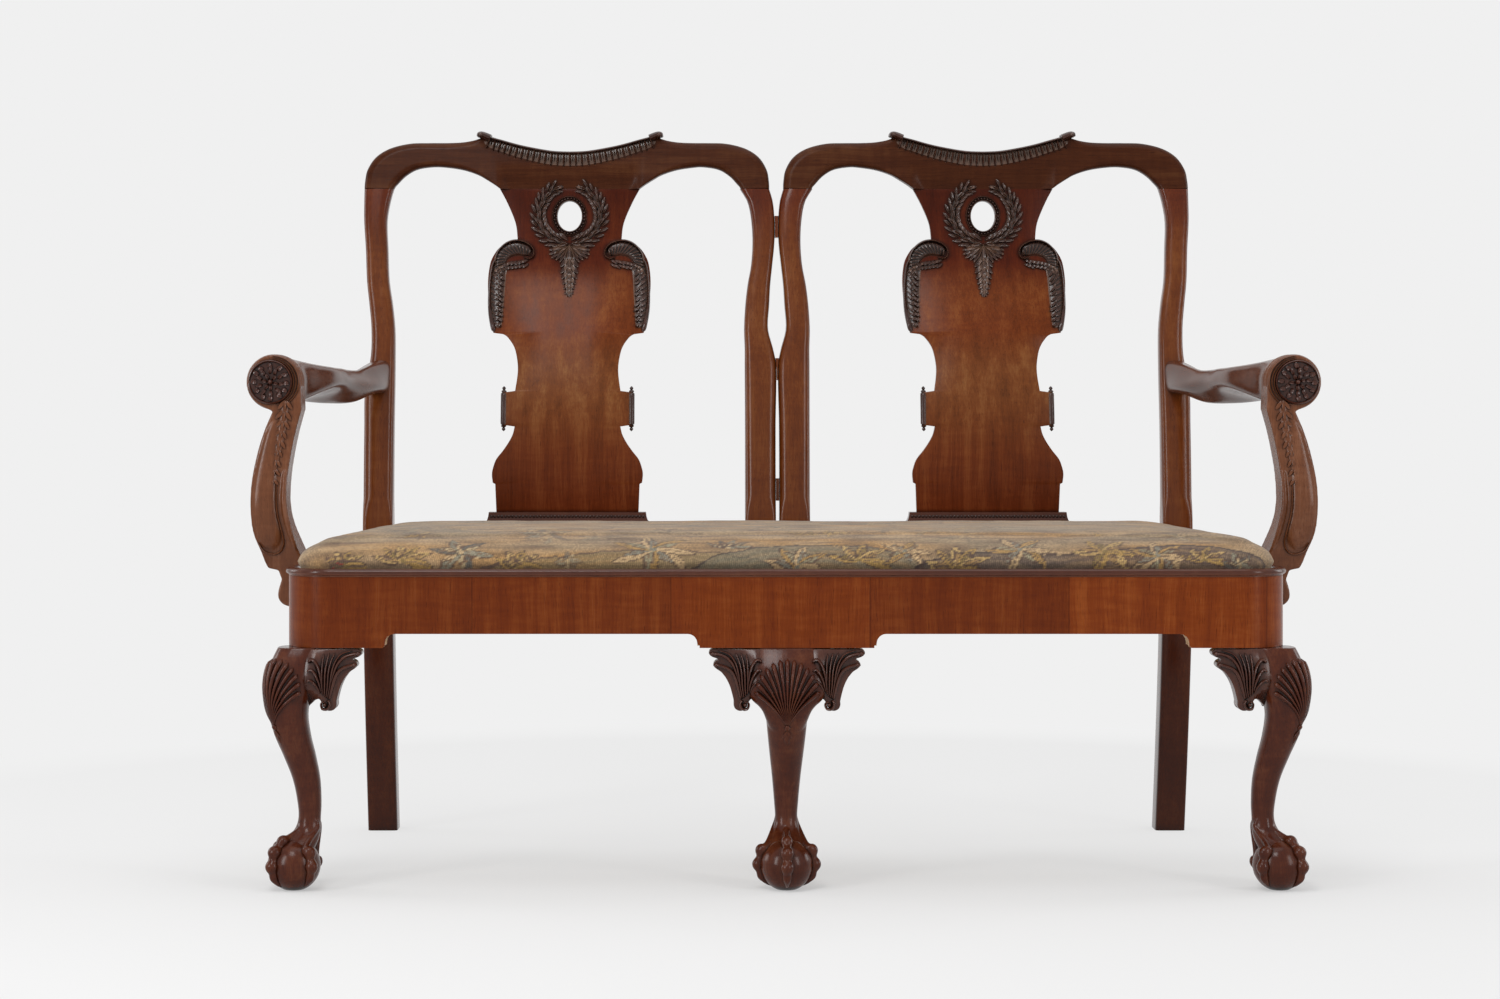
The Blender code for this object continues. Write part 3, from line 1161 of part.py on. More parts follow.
def arm_cutters(bench):
    """The guides that seat the arms, the supports and their screws."""
    cutters = {"supports": {}, "arm_tenons": {}, "support_screws": {}, "arm_screws": {}}
    for side in (-1, 1):
        cutters["supports"][side] = bench.add_cutter("support_housing", support_solid(side, FIT))
        cutters["arm_tenons"][side] = bench.add_cutter("arm_mortise", arm_tenon(side, FIT))
        cutters["arm_screws"][side] = bench.add_cutter("arm_screw_hole", arm_screw(side, FIT, OVERRUN))
        holes = []
        for row in (-1, 1):
            holes.append(bench.add_cutter("support_screw_hole", support_screw(side, row, FIT)))
            y = SUPPORT_FRONT + SUPPORT_DEPTH / 2 + row * SCREW_SPACING / 2
            inner = side_x(RAIL_THICKNESS, y) - OVERRUN * 2
            access = turned([(SCREW_HEAD_RADIUS + FIT, 0), (SCREW_HEAD_RADIUS + FIT, SCREW_HEAD_HEIGHT * 2)],
                            WELL_SIDES, (side, 0, 0))
            holes.append(bench.add_cutter("screw_well", shifted(access, (side * inner, y, SCREW_FLOOR))))
        cutters["support_screws"][side] = holes
    return cutters


def build_arms(bench, cutters):
    """Both arms, their supports and the screws that hold them."""
    for side, word in ((-1, "left"), (1, "right")):
        support = bench.add("arm_support_" + word, support_solid(side), MAHOGANY)
        for hole in cutters["support_screws"][side]:
            combine(support, hole, "DIFFERENCE")
        arm = bench.add("arm_" + word, loft(arm_rings(side)), MAHOGANY)
        heights = [SCROLL_FLOOR + ARM_HALF_HEIGHT * 2 * share for share in POST_FACE_SHARES]
        post = bench.add_cutter("post_face", loft(outer_post_rings(side, heights, FIT)))
        combine(arm, post, "DIFFERENCE")
        combine(arm, bench.add_cutter("arm_tenon", arm_tenon(side)), "UNION")
        combine(arm, cutters["arm_screws"][side], "DIFFERENCE")
        for row, place in ((-1, "front"), (1, "rear")):
            bench.add("support_screw_" + word + "_" + place, support_screw(side, row), IRON)
        bench.add("arm_screw_" + word, arm_screw(side), IRON)


# Slip seat

def seat_tenon(x, y, grow=0.0):
    """A stub tenon between two members of the seat frame."""
    low = SEAT_LEDGE + FIT + (SEAT_FRAME_THICKNESS - SEAT_TENON_THICKNESS) / 2
    return tenon(x, y, (low, low + SEAT_TENON_THICKNESS), grow)


def build_seat_frame(bench):
    """Five members: front and rear run through, the others are tenoned between them."""
    low = SEAT_LEDGE + FIT
    high = low + SEAT_FRAME_THICKNESS
    inset = SEAT_MARGIN + COVER_THICKNESS + FIT
    front_end = CORNER_BACK
    back = SEAT_BACK - COVER_THICKNESS - FIT
    rear_start = back - SEAT_FRAME_WIDTH
    right = corner_points(inset) + [Vector((side_x(inset, front_end), front_end))]
    outline = [Vector((-p.x, p.y)) for p in reversed(right)] + right
    front = bench.add("seat_frame_front", slab(outline, low, high), BEECH, bench.seat)
    outline = [(-side_x(inset, rear_start), rear_start), (side_x(inset, rear_start), rear_start),
               (side_x(inset, back), back), (-side_x(inset, back), back)]
    rear = bench.add("seat_frame_rear", slab(outline, low, high), BEECH, bench.seat)
    members = []
    for side, word in ((-1, "left"), (1, "right")):
        ends = (front_end + FIT, rear_start - FIT)
        outline = [(side * side_x(inset, ends[0]), ends[0]), (side * side_x(inset, ends[1]), ends[1]),
                   (side * side_x(inset + SEAT_FRAME_WIDTH, ends[1]), ends[1]),
                   (side * side_x(inset + SEAT_FRAME_WIDTH, ends[0]), ends[0])]
        middles = [side * side_x(inset + SEAT_FRAME_WIDTH / 2, end) for end in ends]
        members.append(("seat_frame_" + word, slab(outline, low, high), middles))
    half = SEAT_FRAME_WIDTH / 2
    middle = box((-half, half), (front_end + FIT, rear_start - FIT), (low, high))
    members.append(("seat_frame_middle", middle, [0.0, 0.0]))
    for name, bm, middles in members:
        member = bench.add(name, bm, BEECH, bench.seat)
        for other, x, y in ((front, middles[0], (front_end - SEAT_TENON, front_end + OVERRUN)),
                            (rear, middles[1], (rear_start - OVERRUN, rear_start + SEAT_TENON))):
            width = (x - SEAT_TENON, x + SEAT_TENON)
            combine(member, bench.add_cutter("seat_tenon", seat_tenon(width, y)), "UNION")
            combine(other, bench.add_cutter("seat_mortise", seat_tenon(width, y, FIT)), "DIFFERENCE")


def build_webbing(bench):
    """Interlaced webbing across the top of the seat frame, as one open lattice."""
    low = SEAT_LEDGE + FIT * 2 + SEAT_FRAME_THICKNESS
    inset = SEAT_MARGIN + SEAT_FRAME_WIDTH / 3
    back = SEAT_BACK - SEAT_FRAME_WIDTH / 3
    half = side_x(inset, back) - FIT
    gap_x = (2 * half - WEB_COLUMNS * WEB_WIDTH) / (WEB_COLUMNS - 1)
    gap_y = (back - inset - WEB_ROWS * WEB_WIDTH) / (WEB_ROWS - 1)
    xs = [-half]
    for i in range(2 * WEB_COLUMNS - 1):
        xs.append(xs[-1] + (WEB_WIDTH if i % 2 == 0 else gap_x))
    ys = [inset]
    for i in range(2 * WEB_ROWS - 1):
        ys.append(ys[-1] + (WEB_WIDTH if i % 2 == 0 else gap_y))
    bm = bmesh.new()
    grid = [[bm.verts.new((x, y, low)) for x in xs] for y in ys]
    for j in range(len(ys) - 1):
        for i in range(len(xs) - 1):
            if i % 2 == 0 or j % 2 == 0:
                bm.faces.new((grid[j][i], grid[j][i + 1], grid[j + 1][i + 1], grid[j + 1][i]))
    raised = bmesh.ops.extrude_face_region(bm, geom=bm.faces[:])
    top = [item for item in raised["geom"] if isinstance(item, bmesh.types.BMVert)]
    bmesh.ops.translate(bm, vec=(0, 0, WEBBING_THICKNESS), verts=top)
    bench.add("seat_webbing", bm, JUTE, bench.seat)


def cushion(inset, low, edge, crown):
    """A crowned form: a straight edge of some height, then the stuffed crown."""
    rings = [(inset, low), (inset, edge)]
    for reach, rise in CROWN_SHARES[1:]:
        rings.append((inset + CROWN_REACH * reach, edge + (crown - edge) * rise))
    result = []
    for step, z in rings:
        back = SEAT_BACK - (step - SEAT_MARGIN)
        outline = seat_outline_by_scale(step, back)
        result.append([Vector((p[0], p[1], z)) for p in outline])
    return loft(result)


def divided(start, end, steps):
    """The points that divide a straight stretch evenly, without its ends."""
    return [start.lerp(end, i / steps) for i in range(1, steps)]


def seat_outline_by_scale(inset, back):
    """The seat's plan set in by any amount, its rounded corners shrinking to a point."""
    radius = max(CORNER_RADIUS - inset, CORNER_RADIUS / 8)
    centre = Vector((side_x(inset + radius, inset + radius), inset + radius))
    half = arc(centre, radius, -90, math.degrees(side_turn()), CORNER_STEPS)
    end = Vector((side_x(inset, back), back))
    half += divided(half[-1], end, CUSHION_SIDE_STEPS) + [end]
    mirror = [Vector((-p.x, p.y)) for p in reversed(half)]
    across = divided(mirror[-1], half[0], CUSHION_FRONT_STEPS)
    behind = divided(half[-1], mirror[0], CUSHION_FRONT_STEPS)
    return mirror + across + half + behind


def build_stuffing(bench):
    """The stuffing pad and the needlework cover drawn over it and down round the frame."""
    low = SEAT_LEDGE + FIT
    pad_low = low + SEAT_FRAME_THICKNESS + WEBBING_THICKNESS + FIT * 2
    edge = pad_low + EDGE_HEIGHT / 2
    crown = FLOOR_TO_LIP + LIP_HEIGHT + CROWN_HEIGHT + EDGE_HEIGHT / 2
    inner = SEAT_MARGIN + COVER_THICKNESS + FIT
    pad = cushion(inner, pad_low, edge, crown)
    bench.add("seat_stuffing", pad, HORSEHAIR, bench.seat)
    shell = cushion(SEAT_MARGIN, low, edge + COVER_THICKNESS, crown + COVER_THICKNESS)
    cover = bench.add("seat_cover", shell, NEEDLEWORK, bench.seat)
    hollow = cushion(inner - FIT, low - OVERRUN, edge + FIT, crown + FIT)
    combine(cover, bench.add_cutter("cover_hollow", hollow), "DIFFERENCE")


def centre_on_depth(bench):
    """Move the frame so that the settee's depth is centred on y = 0."""
    bpy.context.view_layer.update()
    graph = bpy.context.evaluated_depsgraph_get()
    depths = []
    for item in bpy.context.scene.objects:
        if item.type == "MESH" and not item.hide_render:
            solid = item.evaluated_get(graph)
            depths += [(solid.matrix_world @ vert.co).y for vert in solid.data.vertices]
    middle = (min(depths) + max(depths)) / 2
    bench.frame.location.y = -middle
    bpy.context.view_layer.update()
    print("front rail face at y =", round(-middle, 6))


def build():
    """Build the settee from the rails outwards."""
    clear_scene()
    bench = Bench()
    cutters = arm_cutters(bench)
    cutters["well"] = seat_well(bench)
    cutters["front_bays"] = front_bays(bench)
    cutters["side_bay"] = side_bay(bench)
    front_rail = build_front_rail(bench, cutters)
    build_side_rails(bench, cutters)
    build_lip(bench, cutters)
    rear_rail = build_rear_rail(bench, cutters)
    build_brace_and_blocks(bench, front_rail, rear_rail)
    build_posts(bench, cutters)
    build_spacers(bench)
    build_crests(bench)
    build_splats(bench)
    build_shoes(bench)
    build_legs(bench, cutters)
    build_brackets(bench)
    build_arms(bench, cutters)
    build_seat_frame(bench)
    build_webbing(bench)
    build_stuffing(bench)
    centre_on_depth(bench)


build()
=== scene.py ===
"""Dressed model of a double chair-back settee: walnut and carved mahogany, with a needlework seat.

Pieces are worked out with y = 0 on the front face of the seat rail and are moved by
FRONT when they are finished, so they land on the solids that they dress.
"""

import json
import logging
import math
import random
from dataclasses import dataclass
from enum import Enum
from typing import Any, Callable, Iterable, Sequence

import bmesh
import bpy
from mathutils import Matrix, Vector, noise
from mathutils.bvhtree import BVHTree


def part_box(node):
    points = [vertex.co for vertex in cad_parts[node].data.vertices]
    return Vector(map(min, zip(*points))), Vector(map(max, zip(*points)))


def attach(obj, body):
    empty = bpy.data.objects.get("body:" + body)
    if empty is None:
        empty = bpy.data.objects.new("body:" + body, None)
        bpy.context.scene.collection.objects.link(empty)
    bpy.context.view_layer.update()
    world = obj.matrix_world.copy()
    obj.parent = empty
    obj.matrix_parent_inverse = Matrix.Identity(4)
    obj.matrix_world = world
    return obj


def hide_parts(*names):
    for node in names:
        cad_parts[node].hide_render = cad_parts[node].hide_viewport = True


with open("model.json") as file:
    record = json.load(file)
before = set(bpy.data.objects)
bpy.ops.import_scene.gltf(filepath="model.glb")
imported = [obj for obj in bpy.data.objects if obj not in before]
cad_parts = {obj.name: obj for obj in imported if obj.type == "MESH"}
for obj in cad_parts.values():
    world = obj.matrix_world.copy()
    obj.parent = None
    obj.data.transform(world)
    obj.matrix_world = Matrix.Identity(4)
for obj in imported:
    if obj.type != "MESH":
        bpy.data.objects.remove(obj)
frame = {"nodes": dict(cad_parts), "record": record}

LOG = logging.getLogger("settee")
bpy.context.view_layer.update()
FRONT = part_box("front_rail_veneer")[0].y

Table = Sequence[tuple[float, ...]]
Mesh = bmesh.types.BMesh
Tree = bpy.types.NodeTree
Socket = bpy.types.NodeSocket
Surface = Callable[[float, float, float], Vector]


class Body(Enum):
    """The two bodies of the settee: its frame and the seat that lifts out."""

    FRAME = "frame"
    SEAT = "slip_seat"


class Grain(Enum):
    """The axis that the grain of a piece runs along."""

    ACROSS = 0
    BACKWARD = 1
    UPRIGHT = 2


# Shape helpers

def clip(value: float, low: float = 0.0, high: float = 1.0) -> float:
    """Hold a value between two bounds."""
    return min(max(value, low), high)


def eased(share: float) -> float:
    """Turn an even share into one that starts and ends gently."""
    return share * share * (3 - 2 * share)


def fan(first: float, last: float, steps: int) -> list[float]:
    """Divide the turn between two directions in degrees, both included, and give radians."""
    return [math.radians(first + (last - first) * i / steps) for i in range(steps + 1)]


def arc(reach: tuple[float, float], turns: Iterable[float], middle: tuple[float, float] = (0.0, 0.0)) -> list[Vector]:
    """Walk along an arc of a circle or an oval.

    Args:
        reach: Half its width and half its height.
        turns: The angles of its points, in radians.
        middle: Its centre.

    Returns:
        The points.
    """
    return [Vector((middle[0] + reach[0] * math.cos(a), middle[1] + reach[1] * math.sin(a))) for a in turns]


def heading(step: Vector) -> float:
    """Give the direction of a step in the plane, in degrees from +X."""
    return math.degrees(math.atan2(step.y, step.x))


def flipped(points: Sequence[Vector]) -> list[Vector]:
    """Mirror a run of points across the middle and turn its order round."""
    return [Vector((-p.x, p.y)) for p in reversed(points)]


def curve_value(table: Table, x: float, column: int = 1) -> float:
    """Read one column of a table as a smooth curve.

    Args:
        table: Rows that start with their place, in rising order.
        x: The place to read.
        column: Which column to read.

    Returns:
        The value at that place, held level beyond both ends.
    """
    last = len(table) - 1
    if x <= table[0][0]:
        return table[0][column]
    if x >= table[last][0]:
        return table[last][column]
    i = max(k for k in range(last) if table[k][0] <= x)
    slopes = []
    for k in (i, i + 1):
        low, high = table[max(k - 1, 0)], table[min(k + 1, last)]
        slopes.append((high[column] - low[column]) / (high[0] - low[0]))
    span = table[i + 1][0] - table[i][0]
    t = (x - table[i][0]) / span
    start = (1 + 2 * t) * (1 - t) ** 2 * table[i][column] + t * (1 - t) ** 2 * span * slopes[0]
    end = t * t * (3 - 2 * t) * table[i + 1][column] + t * t * (t - 1) * span * slopes[1]
    return start + end


def smooth_run(points: Iterable[Sequence[float]], steps: int) -> list[Vector]:
    """Lay a Catmull-Rom curve through points.

    Args:
        points: The points that the curve passes through.
        steps: How many steps each stretch gets.

    Returns:
        The points of the curve, both ends included.
    """
    knots = [Vector(p) for p in points]
    result = []
    last = len(knots) - 1
    for i in range(last):
        a, b, c, d = (knots[k] for k in (max(i - 1, 0), i, i + 1, min(i + 2, last)))
        for step in range(steps):
            t = step / steps
            result.append(0.5 * (2 * b + (c - a) * t + (2 * a - 5 * b + 4 * c - d) * t * t
                                 + (3 * b - a - 3 * c + d) * t ** 3))
    result.append(knots[last])
    return result


def along(path: Sequence[Vector], share: float) -> tuple[Vector, Vector]:
    """Find a point and the direction at a share of a path's length.

    Args:
        path: The points of the path.
        share: 0 at its start and 1 at its end.

    Returns:
        The point and the unit direction there.
    """
    lengths = [(b - a).length for a, b in zip(path, path[1:])]
    left = share * sum(lengths)
    for i, length in enumerate(lengths):
        if left <= length or i == len(lengths) - 1:
            step = path[i + 1] - path[i]
            return path[i] + step * (left / length), step.normalized()
        left -= length
    return path[-1], (path[-1] - path[-2]).normalized()


def skin(place: Callable[[float, float], Vector], around: int, lengthwise: int) -> Mesh:
    """Shape a grid into a tube and close its ends.

    Args:
        place: Gives the point for a share around and a share along.
        around: Steps around.
        lengthwise: Steps along.

    Returns:
        The closed tube.
    """
    bm = bmesh.new()
    bmesh.ops.create_grid(bm, x_segments=around, y_segments=lengthwise, size=0.5)
    for vert in bm.verts:
        vert.co = place(vert.co.x + 0.5, vert.co.y + 0.5)
    bmesh.ops.remove_doubles(bm, verts=bm.verts, dist=1e-7)
    bmesh.ops.holes_fill(bm, edges=[e for e in bm.edges if e.is_boundary], sides=0)
    return bm


def sheet(points: Iterable[Sequence[float]]) -> Mesh:
    """Fill an outline with one face."""
    bm = bmesh.new()
    bm.faces.new([bm.verts.new(point) for point in points])
    return bm


def divide(bm: Mesh, axis: int, places: Iterable[float]) -> None:
    """Cut a mesh across one axis, so that it can bend there.

    Args:
        bm: The mesh, changed in place.
        axis: 0 for X, 1 for Y and 2 for Z.
        places: Where the cuts go.
    """
    across = Vector([float(i == axis) for i in range(3)])
    for place in places:
        bmesh.ops.bisect_plane(bm, geom=bm.faces[:] + bm.edges[:] + bm.verts[:], plane_co=across * place,
                               plane_no=across)


def thicken(bm: Mesh, move: Sequence[float]) -> list[bmesh.types.BMVert]:
    """Draw a sheet out into a solid.

    Args:
        bm: The sheet, changed in place.
        move: How far its second face lies from the first.

    Returns:
        The points of the second face.
    """
    raised = bmesh.ops.extrude_face_region(bm, geom=bm.faces[:])
    far = [item for item in raised["geom"] if isinstance(item, bmesh.types.BMVert)]
    bmesh.ops.translate(bm, vec=move, verts=far)
    return far


def ring_point(share: float, half_x: float, half_y: float, squareness: float) -> Vector:
    """Place a point on a ring that runs from a circle (2) towards a square.

    Args:
        share: Share of a full turn.
        half_x: Half the width.
        half_y: Half the depth.
        squareness: 2 for an ellipse, more for squarer.

    Returns:
        The point in the ring's own plane.
    """
    a = math.tau * share
    c, s = math.cos(a), math.sin(a)
    return Vector((half_x * math.copysign(abs(c) ** (2 / squareness), c),
                   half_y * math.copysign(abs(s) ** (2 / squareness), s)))


def ease(bm: Mesh, width: float, segments: int, degrees: float) -> None:
    """Round the sharp edges of a solid.

    Args:
        bm: The mesh to round, changed in place.
        width: Width of the rounding.
        segments: Steps across it.
        degrees: Edges sharper than this are rounded.
    """
    limit = math.radians(degrees)
    sharp = [e for e in bm.edges if e.is_manifold and e.calc_face_angle(0) > limit]
    bmesh.ops.bevel(bm, geom=sharp, offset=width, offset_type="OFFSET", segments=segments, profile=0.5,
                    affect="EDGES", clamp_overlap=True, material=-1)


def kept(name: str, bm: Mesh) -> bpy.types.Mesh:
    """Turn a worked mesh into one that an object can hold, and free it."""
    mesh = bpy.data.meshes.new(name)
    bm.to_mesh(mesh)
    bm.free()
    return mesh


def shown(name: str, data: bpy.types.ID) -> bpy.types.Object:
    """Put an object with this data in the scene."""
    thing = bpy.data.objects.new(name, data)
    bpy.context.scene.collection.objects.link(thing)
    return thing


def merge(parts: Iterable[Mesh]) -> Mesh:
    """Gather several meshes in one.

    Args:
        parts: The meshes, which are freed.

    Returns:
        One mesh that holds them all.
    """
    whole = bmesh.new()
    for part in parts:
        held = kept("part", part)
        whole.from_mesh(held)
        bpy.data.meshes.remove(held)
    return whole


def remeshed(bm: Mesh, voxel: float, smoothing: int) -> Mesh:
    """Blend overlapping solids into one carved skin.

    Args:
        bm: The solids, freed afterwards.
        voxel: Size of the smallest detail kept.
        smoothing: How many times the skin is relaxed.

    Returns:
        The blended skin.
    """
    mesh = kept("clay", bm)
    clay = shown("clay", mesh)
    modifier = clay.modifiers.new("blend", "REMESH")
    modifier.mode = "VOXEL"
    modifier.voxel_size = voxel
    bpy.context.view_layer.update()
    blended = bmesh.new()
    shaped = clay.evaluated_get(bpy.context.evaluated_depsgraph_get()).to_mesh()
    blended.from_mesh(shaped)
    bpy.data.objects.remove(clay, do_unlink=True)
    bpy.data.meshes.remove(mesh)
    for _ in range(smoothing):
        relax(blended)
    return blended


def relax(bm: Mesh) -> None:
    """Draw every point halfway to the middle of its neighbours."""
    bmesh.ops.smooth_vert(bm, verts=bm.verts, factor=0.5, use_axis_x=True, use_axis_y=True, use_axis_z=True)


def leaf(length: float, half: float, height: float, point: float = 1.0, groove: float = 0.35,
         curl: float = 0.0) -> Mesh:
    """Shape a sphere into a carved leaf that lies along +Y with its face to +Z.

    Args:
        length: From its stem to its tip.
        half: Half its greatest width.
        height: How far its face stands up.
        point: 1 for an even leaf, more for a longer tip.
        groove: Share of the height that the midrib is sunk.
        curl: How far the tip lifts.

    Returns:
        The closed leaf.
    """
    bm = bmesh.new()
    bmesh.ops.create_uvsphere(bm, u_segments=8, v_segments=7, radius=1.0)
    for vert in bm.verts:
        x, y, z = vert.co.x, vert.co.z, vert.co.y
        t = (y + 1) / 2
        reach = max(math.sqrt(max(1 - y * y, 0.0)), 1e-6)
        width = half * math.sin(math.pi * t ** point) ** 0.8
        across = x / reach
        crown = max(z / reach, -0.35)
        ridge = 1 - groove * math.exp(-(across * 3) ** 2) if crown > 0 else 1.0
        vert.co = Vector((width * across, length * t, height * math.sin(math.pi * min(t * 1.1, 1)) ** 0.6
                          * crown * ridge + curl * t ** 3))
    return bm


def placed(bm: Mesh, at: Sequence[float], turn: float) -> Mesh:
    """Turn a relief piece in its own plane and move it.

    Args:
        bm: The piece, with +Y along it and +Z up from the ground.
        at: Where its stem goes in the plane.
        turn: The direction of its length in degrees, from +X.

    Returns:
        The same mesh.
    """
    bm.transform(Matrix.Translation((at[0], at[1], 0.0)) @ Matrix.Rotation(math.radians(turn - 90), 4, "Z"))
    return bm


# Finishes

def linear(code: str) -> tuple[float, float, float, float]:
    """Turn an sRGB hex colour into a linear one.

    Args:
        code: Six hex digits after a hash.

    Returns:
        Red, green, blue and full opacity.
    """
    channels = [int(code[i:i + 2], 16) / 255 for i in (1, 3, 5)]
    red, green, blue = (c / 12.92 if c <= 0.04045 else ((c + 0.055) / 1.055) ** 2.4 for c in channels)
    return red, green, blue, 1.0


def add_node(tree: Tree, kind: str, inputs: dict[Any, Any] | None = None, **settings: Any) -> bpy.types.Node:
    """Add a node with its settings, values and links.

    Args:
        tree: The tree that gets it.
        kind: The node's type after ShaderNode.
        inputs: A value or another node's socket for each input, by name or number.
        settings: The node's own settings.

    Returns:
        The new node.
    """
    node = tree.nodes.new("ShaderNode" + kind)
    for name, value in settings.items():
        setattr(node, name, value)
    feed(tree, node, inputs or {})
    return node


def feed(tree: Tree, node: bpy.types.Node, inputs: dict[Any, Any]) -> None:
    """Give a node's inputs their values and links.

    Args:
        tree: The tree that it stands in.
        node: The node.
        inputs: A value or another node's socket for each input, by name or number.
    """
    for key, value in inputs.items():
        if isinstance(value, Socket):
            tree.links.new(value, node.inputs[key])
        else:
            node.inputs[key].default_value = value


def remap(tree: Tree, value: Socket, low: float, high: float, first: float, last: float,
          steps: str = "LINEAR") -> Socket:
    """Turn one range of a value into another, held at its ends.

    Args:
        tree: The tree that gets the node.
        value: The socket that it reads.
        low: Where the range starts.
        high: Where it ends.
        first: What it gives at the start.
        last: What it gives at the end.
        steps: How it runs between them.

    Returns:
        The result.
    """
    return add_node(tree, "MapRange", {0: value, 1: low, 2: high, 3: first, 4: last},
                    interpolation_type=steps).outputs[0]


def ramp(tree: Tree, factor: Socket, stops: Sequence[tuple[float, str]]) -> Socket:
    """Turn a factor into a colour.

    Args:
        tree: The tree that gets the ramp.
        factor: The socket that drives it.
        stops: Places and hex colours.

    Returns:
        The colour socket.
    """
    node = add_node(tree, "ValToRGB", {0: factor})
    elements = node.color_ramp.elements
    while len(elements) < len(stops):
        elements.new(0.5)
    for element, (place, code) in zip(elements, stops):
        element.position = place
        element.color = linear(code)
    return node.outputs[0]


def blend_colours(tree: Tree, factor: Any, first: Any, second: Any, mode: str = "MIX") -> Socket:
    """Mix two colours.

    Args:
        tree: The tree that gets the mix.
        factor: How much of the second.
        first: A colour or socket.
        second: A colour or socket.
        mode: How they mix.

    Returns:
        The mixed colour.
    """
    return add_node(tree, "Mix", {0: factor, 6: first, 7: second}, data_type="RGBA", blend_type=mode).outputs[2]


def calculate(tree: Tree, operation: str, first: Any, second: Any = 0.0, third: Any = 0.0) -> Socket:
    """Do a sum on sockets.

    Args:
        tree: The tree that gets the sum.
        operation: The Math node's operation.
        first: A value or socket.
        second: A value or socket.
        third: A value or socket.

    Returns:
        The result.
    """
    return add_node(tree, "Math", {0: first, 1: second, 2: third}, operation=operation).outputs[0]


@dataclass(frozen=True)
class Finish:
    """What a piece is made of, as a material that is built once.

    Attributes:
        name: What the finish is called.
    """

    name: str

    def material(self) -> bpy.types.Material:
        """Build the material once and hand it out again after that."""
        known = bpy.data.materials.get(self.name)
        if known:
            return known
        material = bpy.data.materials.new(self.name)
        material.use_nodes = True
        tree = material.node_tree
        feed(tree, tree.nodes["Principled BSDF"], self.paint(tree, add_node(tree, "TexCoord").outputs["Object"]))
        return material

    def paint(self, tree: Tree, place: Socket) -> dict[str, Any]:
        """Give the shader's inputs; each kind of finish has its own."""
        raise NotImplementedError


